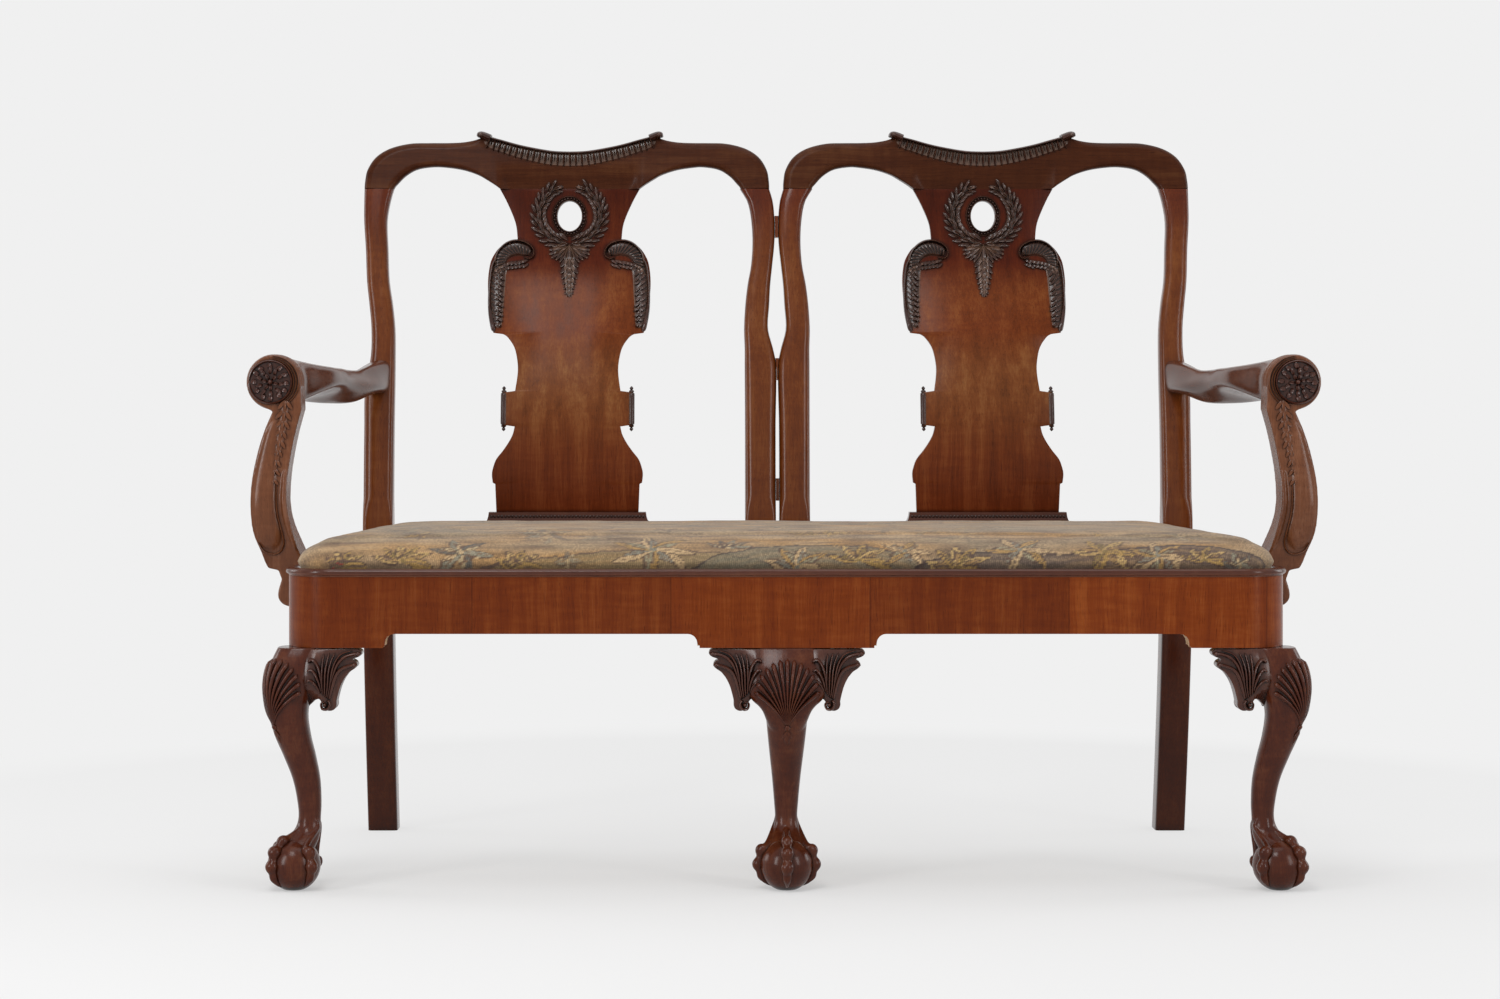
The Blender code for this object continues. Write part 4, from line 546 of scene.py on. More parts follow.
@dataclass(frozen=True)
class Wood(Finish):
    """A polished wood with grain, figure and pores, and painted shade in its recesses.

    Attributes:
        dark: Colour of the late wood.
        mid: Colour of most of it.
        light: Colour of the early wood.
        grain: The axis the grain follows.
        figure: How strongly the broad figure shows.
        ripple: How strongly the cross figure shows.
        shine: Roughness of the polish.
        coat: Strength of the wax coat.
        hollow_shade: How dark the painted shade in its recesses is.
        hollow_reach: How near a neighbour must come for the painted shade to darken a hollow, in metres.
        ridge_wear_and_highlight: How light the ridges are made, a painted highlight that also stands for their wear.
        joint: First joint between veneer leaves and their width, or None.
        gloss: Strength of its mirror-like reflection.
        painted_light_by_height: Heights and the hex tone that painted light and shade give there.
    """

    dark: str
    mid: str
    light: str
    grain: Grain
    figure: float = 0.6
    ripple: float = 0.2
    shine: float = 0.32
    coat: float = 0.2
    hollow_shade: float = 0.0
    hollow_reach: float = 0.006
    ridge_wear_and_highlight: float = 0.0
    joint: tuple[float, float] | None = None
    gloss: float = 0.15
    painted_light_by_height: tuple[tuple[float, str], ...] = ()

    def paint(self, tree: Tree, place: Socket) -> dict[str, Any]:
        """Draw the grain and give the shader's inputs.

        Args:
            tree: The material's tree.
            place: The object's own coordinates.

        Returns:
            A value or a socket for each input.
        """
        level = add_node(tree, "SeparateXYZ", {0: place}).outputs[2] if self.painted_light_by_height else None
        shade = None
        if self.joint:
            place, shade = self.leaves(tree, place)
        # Grain wanders by about 6 mm over a hand's length
        drift = add_node(tree, "TexNoise", {"Vector": place, "Scale": 7.0, "Detail": 2.0})
        push = add_node(tree, "VectorMath", {0: drift.outputs["Color"], 1: (0.5, 0.5, 0.5)}, operation="SUBTRACT")
        push = add_node(tree, "VectorMath", {0: push.outputs[0], "Scale": 0.012}, operation="SCALE")
        bent = add_node(tree, "VectorMath", {0: place, 1: push.outputs[0]}).outputs[0]
        # Figure is 20 mm wide, streaks 2 mm and pores 0.8 mm, drawn out along the grain
        broad = self.noise(tree, bent, 50.0, 0.06, 5.0)
        streaks = self.noise(tree, bent, 430.0, 0.025, 3.0)
        pores = self.noise(tree, bent, 1100.0, 0.05, 1.0)
        cross = self.noise(tree, bent, 22.0, 5.0, 2.0)
        factor = calculate(tree, "MULTIPLY_ADD", streaks, 0.35, calculate(tree, "MULTIPLY", broad, 0.65))
        factor = calculate(tree, "MULTIPLY_ADD", calculate(tree, "SUBTRACT", factor, 0.5), self.figure * 2.2, 0.5)
        factor = calculate(tree, "MULTIPLY_ADD", calculate(tree, "SUBTRACT", cross, 0.5), self.ripple * 2.0, factor)
        colour = ramp(tree, factor, ((0.12, self.dark), (0.5, self.mid), (0.88, self.light)))
        speck = remap(tree, pores, 0.62, 0.74, 0.0, 0.45)
        colour = blend_colours(tree, speck, colour, linear(self.dark), "MULTIPLY")
        if shade:
            colour = blend_colours(tree, 1.0, colour, shade, "MULTIPLY")
        # Painted light and shade by height: some heights are darkened, others are left light
        if level:
            colour = blend_colours(tree, 1.0, colour, ramp(tree, level, self.painted_light_by_height), "MULTIPLY")
        # Painted shade darkens the recesses where another surface comes near
        if self.hollow_shade:
            shelter = add_node(tree, "AmbientOcclusion", {"Distance": self.hollow_reach}, samples=6)
            hidden = remap(tree, shelter.outputs["AO"], 0.35, 0.95, self.hollow_shade, 0.0)
            colour = blend_colours(tree, hidden, colour, linear("#140b08"))
        if self.ridge_wear_and_highlight:
            # Painted highlight on the ridges, which also stands for wear: a ridge is where the wood behind the surface
            # is thin
            thin = add_node(tree, "AmbientOcclusion", {"Distance": 0.0011}, samples=6, inside=True)
            highlit_and_worn = remap(tree, thin.outputs["AO"], 0.25, 0.75, self.ridge_wear_and_highlight, 0.0)
            colour = blend_colours(tree, highlit_and_worn, colour, linear("#a98670"))
        height = calculate(tree, "MULTIPLY_ADD", streaks, 0.5, calculate(tree, "MULTIPLY", speck, -1.2))
        bump = add_node(tree, "Bump", {"Strength": 0.12, "Distance": 0.0004, "Height": height})
        return {"Base Color": colour, "Roughness": remap(tree, broad, 0.3, 0.7, self.shine - 0.05, self.shine + 0.07),
                "Normal": bump.outputs[0], "IOR": 1.5, "Specular IOR Level": self.gloss,
                "Coat Weight": self.coat, "Coat Roughness": 0.18}

    def noise(self, tree: Tree, place: Socket, scale: float, stretch: float, detail: float) -> Socket:
        """Add a noise that is drawn out along the grain.

        Args:
            tree: The tree that gets it.
            place: The coordinates it reads.
            scale: Features to the metre across the grain.
            stretch: Share of that scale along the grain.
            detail: How fine it goes.

        Returns:
            The noise value.
        """
        scales = [scale] * 3
        scales[self.grain.value] = scale * stretch
        drawn = add_node(tree, "Mapping", {"Vector": place, "Scale": scales})
        return add_node(tree, "TexNoise", {"Vector": drawn.outputs[0], "Scale": 1.0, "Detail": detail,
                                           "Roughness": 0.6}).outputs["Fac"]

    def leaves(self, tree: Tree, place: Socket) -> tuple[Socket, Socket]:
        """Divide a veneer into leaves with their own grain and tone.

        Args:
            tree: The tree that gets the nodes.
            place: The coordinates to divide.

        Returns:
            The shifted coordinates and the tone of each leaf.
        """
        start, width = self.joint
        across = add_node(tree, "SeparateXYZ", {0: place}).outputs[0]
        count = calculate(tree, "DIVIDE", calculate(tree, "SUBTRACT", across, start), width)
        whole = calculate(tree, "FLOOR", count)
        chance = add_node(tree, "TexWhiteNoise", {"W": whole}, noise_dimensions="1D")
        moved = add_node(tree, "VectorMath", {0: place, 1: chance.outputs["Color"]}).outputs[0]
        tone = ramp(tree, chance.outputs["Value"], ((0.0, "#d9d2cc"), (1.0, "#fffbf4")))
        edge = calculate(tree, "PINGPONG", count, 0.5)
        return moved, blend_colours(tree, remap(tree, edge, 0.0, 0.004, 0.55, 0.0), tone, linear("#4a2a18"))


# Cross-banded walnut, warm and glossy under its polish
RAIL_VENEER = Wood("walnut_cross_veneer", "#5c2306", "#6f300a", "#87461b", Grain.UPRIGHT, 0.75, 0.22, 0.22, 0.05,
                   joint=(-0.1507, 0.2585), gloss=0.10)
# Walnut with a satin polish, with painted shade towards the shoe and the crest and a painted sheen across its middle
SPLAT_VENEER = Wood("walnut_figured", "#4d2812", "#69391a", "#835630", Grain.UPRIGHT, 0.75, 0.14, 0.30, 0.03,
                    hollow_shade=0.75, hollow_reach=0.005, gloss=0.09,
                    painted_light_by_height=((0.475, "#d8a894"), (0.56, "#ecccbc"), (0.64, "#ffffff"), (0.68, "#ffffff"),
                           (0.74, "#f0cca8"), (0.79, "#f4d8bc"), (0.84, "#b88068"), (0.93, "#9c6a50")))
# Solid mahogany, polished by hand, with the grain up the posts, and painted shade on the legs below the seat and near
# the crest
POST_WOOD = Wood("mahogany_upright", "#431a06", "#5d2c0b", "#75431d", Grain.UPRIGHT, 0.6, 0.12, 0.17, 0.12,
                 hollow_shade=0.35, hollow_reach=0.012, gloss=0.14,
                 painted_light_by_height=((0.05, "#b8a4aa"), (0.38, "#c4aeb0"), (0.44, "#ffffff"), (0.85, "#ffffff"),
                        (0.93, "#dcb8a8")))
# The same mahogany with its grain across the crest
CREST_WOOD = Wood("mahogany_across", "#2b1107", "#3d1d0d", "#52301a", Grain.ACROSS, 0.7, 0.15, 0.28, 0.02,
                  hollow_shade=0.6, hollow_reach=0.006, gloss=0.06)
# Mahogany of the legs and arms, darker from handling
LEG_WOOD = Wood("mahogany_legs", "#30110a", "#451d0e", "#5e321c", Grain.UPRIGHT, 0.6, 0.2, 0.20, 0.05,
                hollow_shade=0.85, hollow_reach=0.007, gloss=0.18)
BRACKET_WOOD = Wood("mahogany_brackets", "#2b130d", "#422116", "#5e3a2b", Grain.UPRIGHT, 0.5, 0.1, 0.22, 0.12,
                    hollow_shade=0.95, hollow_reach=0.006, gloss=0.26)
SUPPORT_WOOD = Wood("mahogany_arm_supports", "#46230f", "#623820", "#7c523a", Grain.UPRIGHT, 0.55, 0.15, 0.24, 0.10,
                    hollow_shade=0.85, hollow_reach=0.007, gloss=0.20)
ARM_WOOD = Wood("mahogany_arms", "#341a10", "#4f2c1e", "#6b4634", Grain.BACKWARD, 0.5, 0.1, 0.22, 0.15,
                hollow_shade=0.5, hollow_reach=0.008, gloss=0.35)
# Carving, nearly black with painted shade in its cuts, and a painted highlight on the ridges that also stands for their
# wear
CARVED_WOOD = Wood("mahogany_carved", "#20100b", "#321a12", "#50322a", Grain.UPRIGHT, 0.5, 0.1, 0.20, 0.15,
                   hollow_shade=0.97, hollow_reach=0.005, ridge_wear_and_highlight=0.22, gloss=0.24)
# Mahogany of the beads and shoes, with a painted highlight along the bead's lower edge and painted shade above it
LIP_WOOD = Wood("mahogany_bead", "#432014", "#643826", "#80543e", Grain.ACROSS, 0.5, 0.1, 0.20, 0.10,
                hollow_shade=0.5, hollow_reach=0.006, gloss=0.22,
                painted_light_by_height=((0.4105, "#ffffff"), (0.4112, "#b8aaa4"), (0.60, "#b8aaa4")))
# Bare beech under the seat, dry and matt
PLAIN_BEECH = Wood("beech_unfinished", "#97744d", "#b08c63", "#c3a37b", Grain.ACROSS, 0.4, 0.05, 0.6, 0.0)


@dataclass(frozen=True)
class Metal(Finish):
    """A plain steel for the screws.

    Attributes:
        colour: Its hex colour.
        roughness: How rough it is.
    """

    colour: str
    roughness: float

    def paint(self, tree: Tree, place: Socket) -> dict[str, Any]:
        """Tarnish the steel in spots and give the shader's inputs.

        Args:
            tree: The material's tree.
            place: The object's own coordinates.

        Returns:
            A value or a socket for each input.
        """
        tarnish = add_node(tree, "TexNoise", {"Vector": place, "Scale": 900.0, "Detail": 4.0}).outputs["Fac"]
        colour = ramp(tree, tarnish, ((0.35, "#4a4038"), (0.65, self.colour)))
        rough = remap(tree, tarnish, 0.0, 1.0, self.roughness + 0.2, self.roughness - 0.1)
        return {"Base Color": colour, "Roughness": rough, "Metallic": 1.0}


# Hand-filed steel screws, dulled with age
SCREW_STEEL = Metal("steel_aged", "#8d8882", 0.4)


@dataclass(frozen=True)
class Cloth(Finish):
    """A plain woven or felted stuff, for the webbing and the stuffing.

    Attributes:
        dark: Colour between the threads.
        light: Colour of the threads.
        thread: Width of a thread in metres.
    """

    dark: str
    light: str
    thread: float

    def paint(self, tree: Tree, place: Socket) -> dict[str, Any]:
        """Weave the threads and give the shader's inputs.

        Args:
            tree: The material's tree.
            place: The object's own coordinates.

        Returns:
            A value or a socket for each input.
        """
        waves = [add_node(tree, "TexWave", {"Vector": place, "Scale": math.pi / self.thread / math.tau,
                                            "Distortion": 0.6, "Detail": 1.0}, bands_direction=axis)
                 for axis in ("X", "Y")]
        weave = calculate(tree, "MULTIPLY", waves[0].outputs["Fac"], waves[1].outputs["Fac"])
        fuzz = add_node(tree, "TexNoise", {"Vector": place, "Scale": 260.0, "Detail": 3.0}).outputs["Fac"]
        factor = calculate(tree, "MULTIPLY_ADD", fuzz, 0.5, calculate(tree, "MULTIPLY", weave, 0.5))
        bump = add_node(tree, "Bump", {"Strength": 0.5, "Distance": self.thread / 2, "Height": weave})
        return {"Base Color": ramp(tree, factor, ((0.2, self.dark), (0.7, self.light))), "Normal": bump.outputs[0],
                "Roughness": 0.95, "Sheen Weight": 0.2}


# Jute webbing with threads of 1.5 mm, and curled hair in a hessian bag
JUTE = Cloth("jute_webbing", "#6f5a3c", "#b89d72", 0.0015)
HESSIAN = Cloth("hessian_over_hair", "#5b4a34", "#9a8361", 0.0020)


def publish(name: str, bm: Mesh, finish: Finish, stands_for: Iterable[str] = (),
            body: Body = Body.FRAME, sharp: float = 40.0) -> bpy.types.Object:
    """Finish a piece: its place, its surface, its material and what it rides on.

    Args:
        name: The piece's name.
        bm: Its mesh, worked from the rail's face, freed afterwards.
        finish: Its finish.
        stands_for: The solids that it replaces.
        body: The body that it rides on.
        sharp: Edges sharper than this many degrees stay crisp.

    Returns:
        The finished object.
    """
    bmesh.ops.translate(bm, vec=(0, FRONT, 0), verts=bm.verts)
    bmesh.ops.recalc_face_normals(bm, faces=bm.faces)
    if bm.calc_volume(signed=True) < 0:
        bmesh.ops.reverse_faces(bm, faces=bm.faces)
    mesh = kept(name, bm)
    mesh.shade_smooth()
    mesh.set_sharp_from_angle(angle=math.radians(sharp))
    piece = shown(name, mesh)
    mesh.materials.append(finish.material())
    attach(piece, body.value)
    if stands_for:
        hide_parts(*stands_for)
    LOG.info("%s: %d faces", name, len(mesh.polygons))
    return piece


def both_sides() -> tuple[tuple[int, str], tuple[int, str]]:
    """Give the sign and the word for the left and the right."""
    return (-1, "left"), (1, "right")


# The frame's shared lines

@dataclass
class Lines:
    """The lines and sizes that the whole frame is drawn from, in metres."""

    rail_width: float = 1.308
    rear_width: float = 1.207
    corner_radius: float = 0.060
    corner_back: float = 0.070
    veneer: float = 0.0018
    post_front: float = 0.489
    lip_floor: float = 0.4085
    lip_height: float = 0.0105
    rail_bottom: float = 0.3346
    drop_bottom: float = 0.3164
    seat_ledge: float = 0.392
    rear_rail_top: float = 0.430
    shoe_top: float = 0.473
    seam: float = 0.9485
    crest_top: float = 1.018
    post_width: float = 0.0437
    post_depth: float = 0.046
    post_top_depth: float = 0.030
    post_swing: float = 0.0158
    inner_gap: float = 0.013
    chair_centre: float = 0.306
    crest_depth: float = 0.028
    splat_thickness: float = 0.0115
    crest_hollow: float = 0.034
    splat_top: float = 0.1034
    leg_sweep: float = 0.080
    back_sweep: float = 0.095
    spoon_sweep: float = 0.015
    fit: float = 0.0003
    tight: float = 0.00002
    leg_rake: Table = ((0.0, 1.0), (0.25, 0.66), (0.5, 0.36), (0.75, 0.12), (1.0, 0.0))
    back_rake: Table = ((0.0, 0.0), (0.15, 0.02), (0.35, 0.14), (0.55, 0.36), (0.75, 0.64), (0.9, 0.86), (1.0, 1.0))
    spoon: Table = ((0.0, 0.0), (0.2, -0.75), (0.35, -1.0), (0.55, -0.2), (0.75, 0.9), (0.9, 0.4), (1.0, 0.0))

    def side_turn(self) -> float:
        """Give the angle at which the rounded corner runs into the side."""
        to_rear = Vector((self.rear_width / 2 - (self.rail_width / 2 - self.corner_radius),
                          self.post_front - self.corner_radius))
        return math.atan2(to_rear.y, to_rear.x) - math.acos(self.corner_radius / to_rear.length)

    def side_x(self, inset: float, y: float) -> float:
        """Give the distance from the centre line to the side of the plan.

        Args:
            inset: How far in from the rail's face.
            y: How far behind the rail's front.

        Returns:
            The distance across.
        """
        turn = self.side_turn()
        centre = self.rail_width / 2 - self.corner_radius
        return centre + (self.corner_radius - inset - (y - self.corner_radius) * math.sin(turn)) / math.cos(turn)

    def corner(self, inset: float, steps: int) -> list[Vector]:
        """Trace the rounded front corner on the right.

        Args:
            inset: How far in from the rail's face.
            steps: Steps round the corner.

        Returns:
            Its points in plan, from the front to the side.
        """
        radius = self.corner_radius - inset
        centre = (self.rail_width / 2 - self.corner_radius, self.corner_radius)
        return arc((radius, radius), fan(-90, math.degrees(self.side_turn()), steps), centre)

    def front_end(self, inset: float, steps: int) -> list[Vector]:
        """Trace the rounded corner on the right and the short straight behind it.

        Args:
            inset: How far in from the rail's face.
            steps: Steps round the corner.

        Returns:
            Its points in plan, from the front to the side.
        """
        return self.corner(inset, steps) + [Vector((self.side_x(inset, self.corner_back), self.corner_back))]

    def chair_front(self, side: int) -> Surface:
        """Give the front of one chair's crest and splat, for laying relief on."""
        def place(x: float, z: float, height: float) -> Vector:
            return Vector((side * self.chair_centre + x, self.back_face(x, z) - height, z))
        return place

    def back_line(self, z: float) -> float:
        """Give the depth of the middle of the posts at a height."""
        centre = self.post_front + self.post_depth / 2
        if z < self.lip_floor:
            return centre + self.leg_sweep * curve_value(self.leg_rake, z / self.lip_floor)
        share = (z - self.lip_floor) / (self.crest_top - self.lip_floor)
        return centre + self.back_sweep * curve_value(self.back_rake, share)

    def splat_line(self, z: float) -> float:
        """Give the depth of the middle of a splat at a height."""
        share = (z - self.rear_rail_top) / (self.seam - self.rear_rail_top)
        return self.back_line(z) + self.spoon_sweep * curve_value(self.spoon, share)

    def back_face(self, x: float, z: float) -> float:
        """Give the depth of a chair back's front face, where the crest is hollowed to meet the splat.

        Args:
            x: Distance from the middle of the chair.
            z: Height.

        Returns:
            The depth of the face.
        """
        splat = self.splat_line(z) - self.splat_thickness / 2
        if z <= self.seam:
            return splat
        rise = min((z - self.seam) / self.crest_hollow, 1.0)
        side = clip((abs(x) - self.splat_top * 0.8) / (self.splat_top * 0.25))
        full = max(eased(rise), eased(side))
        return splat + (self.back_line(z) - self.crest_depth / 2 - splat) * full


LINES = Lines()


@dataclass
class SeatRails:
    """The veneered seat rail with its shaped underside, and the bead along its top."""

    corner_steps: int = 24
    bay_corner: float = 0.0125
    quirk: float = 0.003
    lip_width: float = 0.015
    lip_proud: float = 0.004
    drop_centre: float = 0.1135
    drop_outer: float = 0.1285
    side_drop: float = 0.105
    nick: float = 1e-5

    def build(self) -> None:
        """Make the veneers and the beads of all three rails."""
        self.build_front()
        self.build_sides()
        self.build_lips()

    def bay(self, start: float, end: float) -> list[Vector]:
        """Outline the raised stretch under a rail, for cutting.

        Args:
            start: Where it starts.
            end: Where it ends.

        Returns:
            Its points along and up.
        """
        low = LINES.drop_bottom - 0.01
        step = LINES.drop_bottom + self.quirk
        crown = LINES.rail_bottom - self.bay_corner
        left, right = start + self.quirk + self.bay_corner, end - self.quirk - self.bay_corner
        turns = fan(0, 90, 8)
        rise = [Vector((left - self.bay_corner * math.cos(a), crown + self.bay_corner * math.sin(a))) for a in turns]
        fall = [Vector((right + self.bay_corner * math.sin(a), crown + self.bay_corner * math.cos(a))) for a in turns]
        return ([Vector((start, low)), Vector((start, step)), Vector((start + self.quirk, step))] + rise + fall
                + [Vector((end - self.quirk, step)), Vector((end, step)), Vector((end, low))])

    def underside(self, x: float, bay: Sequence[Vector]) -> float:
        """Give the height of the rail's lower edge at a place along it.

        Args:
            x: The place along the rail.
            bay: The outline of the raised stretch.

        Returns:
            The height of the edge.
        """
        if bay[0].x < x < bay[-1].x:
            for a, b in zip(bay[1:], bay[2:-1]):
                if a.x <= x <= b.x and b.x > a.x:
                    return a.y + (b.y - a.y) * (x - a.x) / (b.x - a.x)
        return LINES.drop_bottom

    def build_front(self) -> None:
        """Wrap the front veneer round both corners, with its bays cut out below."""
        near, far = self.drop_centre, LINES.rail_width / 2 - self.drop_outer
        bay = self.bay(near, far)
        stops = sorted({round(p.x, 7) for p in bay} | {0.02, 0.06, 0.2, 0.3, 0.4, 0.5}
                       | {near - self.nick, far + self.nick})
        faces = []
        for inset in (0, LINES.veneer):
            half = [Vector((x, inset)) for x in stops] + LINES.front_end(inset, self.corner_steps)
            faces.append(flipped(half) + half)
        edge = [self.underside(x, bay) for x in stops] + [LINES.drop_bottom] * (self.corner_steps + 2)
        self.wrap("rail_veneer_front", *faces, list(reversed(edge)) + edge, ("front_rail_veneer",))

    def wrap(self, name: str, outer: Sequence[Vector], inner: Sequence[Vector], edge: Sequence[float],
             stands_for: Sequence[str]) -> None:
        """Raise a band of veneer with a shaped lower edge.

        Args:
            name: The piece's name.
            outer: Its face in plan.
            inner: Its back in plan.
            edge: The height of its lower edge at each point.
            stands_for: The solids that it replaces.
        """
        last = len(outer) - 1
        rows = ((0, 0.0), (0, 0.06), (0, 0.94), (0, 1.0), (1, 1.0), (1, 0.0))

        def place(u: float, v: float) -> Vector:
            i = round(v * last)
            layer, share = rows[round(u * len(rows)) % len(rows)]
            point = (outer, inner)[layer][i]
            return Vector((point.x, point.y, edge[i] + (LINES.lip_floor - edge[i]) * share))

        publish(name, skin(place, len(rows), last), RAIL_VENEER, stands_for, sharp=30)

    def build_sides(self) -> None:
        """Lay the veneer along both side rails."""
        start, end = LINES.corner_back + LINES.fit, LINES.post_front - LINES.fit
        bay = self.bay(self.side_drop, LINES.post_front + self.side_drop)
        stops = sorted({start, end, 0.2, 0.3, 0.4} | {round(p.x, 7) for p in bay if start < p.x < end}
                       | {self.side_drop - self.nick})
        edge = [self.underside(y, bay) for y in stops]
        for side, word in both_sides():
            faces = [[Vector((side * LINES.side_x(inset, y), y)) for y in stops] for inset in (0, LINES.veneer)]
            self.wrap("rail_veneer_side_" + word, *faces, edge, ("side_rail_veneer_" + word,))

    def build_lips(self) -> None:
        """Run a rounded bead with a quirk below it round the top of the rails."""
        low, height = LINES.lip_floor + LINES.fit, LINES.lip_height - LINES.fit
        half = [Vector((x, 0.0)) for x in (0.0, 0.2, 0.4)] + LINES.front_end(0, self.corner_steps)
        self.bead("lip_front", flipped(half[1:]) + half, low, height, ("lip_moulding_front",))
        for side, word in both_sides():
            ends = [LINES.corner_back + LINES.fit + (LINES.post_front - LINES.corner_back - 2 * LINES.fit) * i / 6
                    for i in range(7)]
            run = [Vector((side * LINES.side_x(0, y), y)) for y in ends]
            if side < 0:
                run.reverse()
            self.bead("lip_" + word, run, low, height, ("lip_moulding_" + word,))

    def bead(self, name: str, run: Sequence[Vector], low: float, height: float, stands_for: Sequence[str]) -> None:
        """Draw the bead's profile along a run in plan.

        Args:
            name: The piece's name.
            run: The face of the rail below it.
            low: Height of its underside.
            height: How high it is.
            stands_for: The solids that it replaces.
        """
        profile = [(0.0, 0.0), (0.0, 0.16), (self.lip_proud * 0.55, 0.2), (self.lip_proud * 0.9, 0.34),
                   (self.lip_proud, 0.52), (self.lip_proud * 0.9, 0.72), (self.lip_proud * 0.5, 0.9),
                   (-0.001, 1.0), (-0.006, 1.0), (-0.011, 0.93), (-self.lip_width, 0.74), (-self.lip_width, 0.0)]
        last = len(run) - 1

        def place(u: float, v: float) -> Vector:
            i = round(v * last)
            out, share = profile[round(u * len(profile)) % len(profile)]
            ahead, behind = run[min(i + 1, last)], run[max(i - 1, 0)]
            step = (ahead - behind).normalized()
            point = run[i] + Vector((step.y, -step.x)) * out
            return Vector((point.x, point.y, low + height * share))

        publish(name, skin(place, len(profile), last), LIP_WOOD, stands_for, sharp=50)


@dataclass
class Posts:
    """Outer posts from the floor to the crest and inner posts above the rear rail.

    Attributes:
        round_from: Height at which the edges start to be rounded.
        rounded: How much squareness the front and the back lose to the rounding.
        outer: Shares of the rise, of the sideways swing and of the width, up an outer post.
        inner: Shares of the rise, of the gap between the chairs and of the width.
    """

    sides: int = 28
    rise: float = 0.54
    round_from: float = 0.462
    squareness: float = 9
    rounded: tuple[float, float] = (5.6, 4)
    outer: Table = (
        (0.00, 0.00, 1.00), (0.35, 0.00, 1.00), (0.455, -0.02, 1.00), (0.54, -0.50, 0.82), (0.615, -0.51, 0.79),
        (0.68, -0.28, 0.78), (0.745, 0.00, 0.75), (0.833, 0.18, 0.75), (0.911, 0.40, 0.78), (0.967, 0.44, 0.89),
        (1.00, 0.44, 1.00))
    inner: Table = (
        (0.00, 0.18, 1.03), (0.35, 0.18, 1.03), (0.515, 0.10, 1.06), (0.56, 0.43, 0.96), (0.615, 1.00, 0.81),
        (0.68, 0.85, 0.81), (0.735, 0.72, 0.77), (0.79, 0.48, 0.72), (0.856, 0.215, 0.75), (0.92, 0.215, 0.80),
        (0.967, 0.40, 0.87), (1.00, 0.785, 1.00))

    def build(self) -> None:
        """Make all four posts."""
        for side, word in both_sides():
            self.post("post_outer_" + word, side, 0.0, self.outer_section, "outer_post_" + word)
            self.post("post_inner_" + word, side, LINES.rear_rail_top + LINES.fit, self.inner_section,
                      "inner_post_" + word)

    def outer_section(self, share: float) -> tuple[float, float]:
        """Give the middle and half width of an outer post.

        Args:
            share: Share of the rise above the seat rail.

        Returns:
            Its distance from the centre line and its half width.
        """
        half = LINES.post_width * curve_value(self.outer, share, 2) / 2
        return LINES.rear_width / 2 + LINES.post_swing * curve_value(self.outer, share) - half, half

    def inner_section(self, share: float) -> tuple[float, float]:
        """Give the middle and half width of an inner post.

        Args:
            share: Share of the rise above the seat rail.

        Returns:
            Its distance from the centre line and its half width.
        """
        half = LINES.post_width * curve_value(self.inner, share, 2) / 2
        return LINES.inner_gap * curve_value(self.inner, share) + half, half

    def post(self, name: str, side: int, low: float, section: Callable[[float], tuple[float, float]],
             node: str) -> None:
        """Draw a post from its foot to the crest.

        Args:
            name: The piece's name.
            side: -1 for the left, 1 for the right.
            low: Height of its foot.
            section: Gives its middle and half width at a share of the rise.
            node: The solid that it replaces.
        """
        high = LINES.seam - LINES.tight
        steps = 96 if low == 0 else 64

        def place(u: float, v: float) -> Vector:
            z = low + (high - low) * v
            share = max((z - LINES.lip_floor) / self.rise, 0.0)
            middle, half = section(share)
            deep = LINES.post_depth + (LINES.post_top_depth - LINES.post_depth) * min(share * 1.5, 1)
            # Above the seat the edges of the front are taken off in a long round
            round_off = clip((z - self.round_from) / 0.03)
            front, back = (self.squareness - less * round_off for less in self.rounded)
            turn = u + 0.5 / self.sides
            point = ring_point(turn, half, deep / 2, front)
            if point.y > 0:
                point = ring_point(turn, half, deep / 2, back)
            return Vector((side * middle + point.x, LINES.back_line(z) + point.y, z))

        publish(name, skin(place, self.sides, steps), POST_WOOD, (node,), sharp=60)


# Relief carving, drawn in a plane as (across, up, height) and then laid on a surface

def ridge(path: Sequence[Vector], half: Sequence[float], height: Sequence[float], steps: int = 14,
          sides: int = 8, taper: float = 0.07) -> Mesh:
    """Draw a rounded rib along a curve in the plane.

    Args:
        path: Its middle line, as points in the plane.
        half: Half its width at the start, the middle and the end.
        height: Its height at the start, the middle and the end.
        steps: Steps along it.
        sides: Steps around it.
        taper: Share of its length that each end rounds off in.

    Returns:
        The closed rib.
    """
    widths = [(0.0, half[0]), (0.5, half[1]), (1.0, half[2])]
    heights = [(0.0, height[0]), (0.5, height[1]), (1.0, height[2])]

    def place(u: float, v: float) -> Vector:
        point, step = along(path, v)
        a = math.tau * u
        end = max(math.sqrt(1 - (1 - min(min(v, 1 - v) / taper, 1)) ** 2), 0.12)
        out = curve_value(widths, v) * math.cos(a) * end
        up = curve_value(heights, v) * max(math.sin(a), -0.5) * end
        return Vector((point.x - step.y * out, point.y + step.x * out, up))

    return skin(place, sides, steps)


def bead(at: Sequence[float], radius: float, height: float, segments: int = 10) -> Mesh:
    """Set a round bead in the plane.

    Args:
        at: Its middle.
        radius: Its radius in the plane.
        height: How far it stands up.
        segments: Faces around it.

    Returns:
        The closed bead.
    """
    bm = bmesh.new()
    bmesh.ops.create_uvsphere(bm, u_segments=segments, v_segments=max(segments * 2 // 3, 5), radius=1.0)
    bmesh.ops.scale(bm, vec=(radius, radius, height), verts=bm.verts)
    bmesh.ops.translate(bm, vec=(at[0], at[1], 0), verts=bm.verts)
    return bm


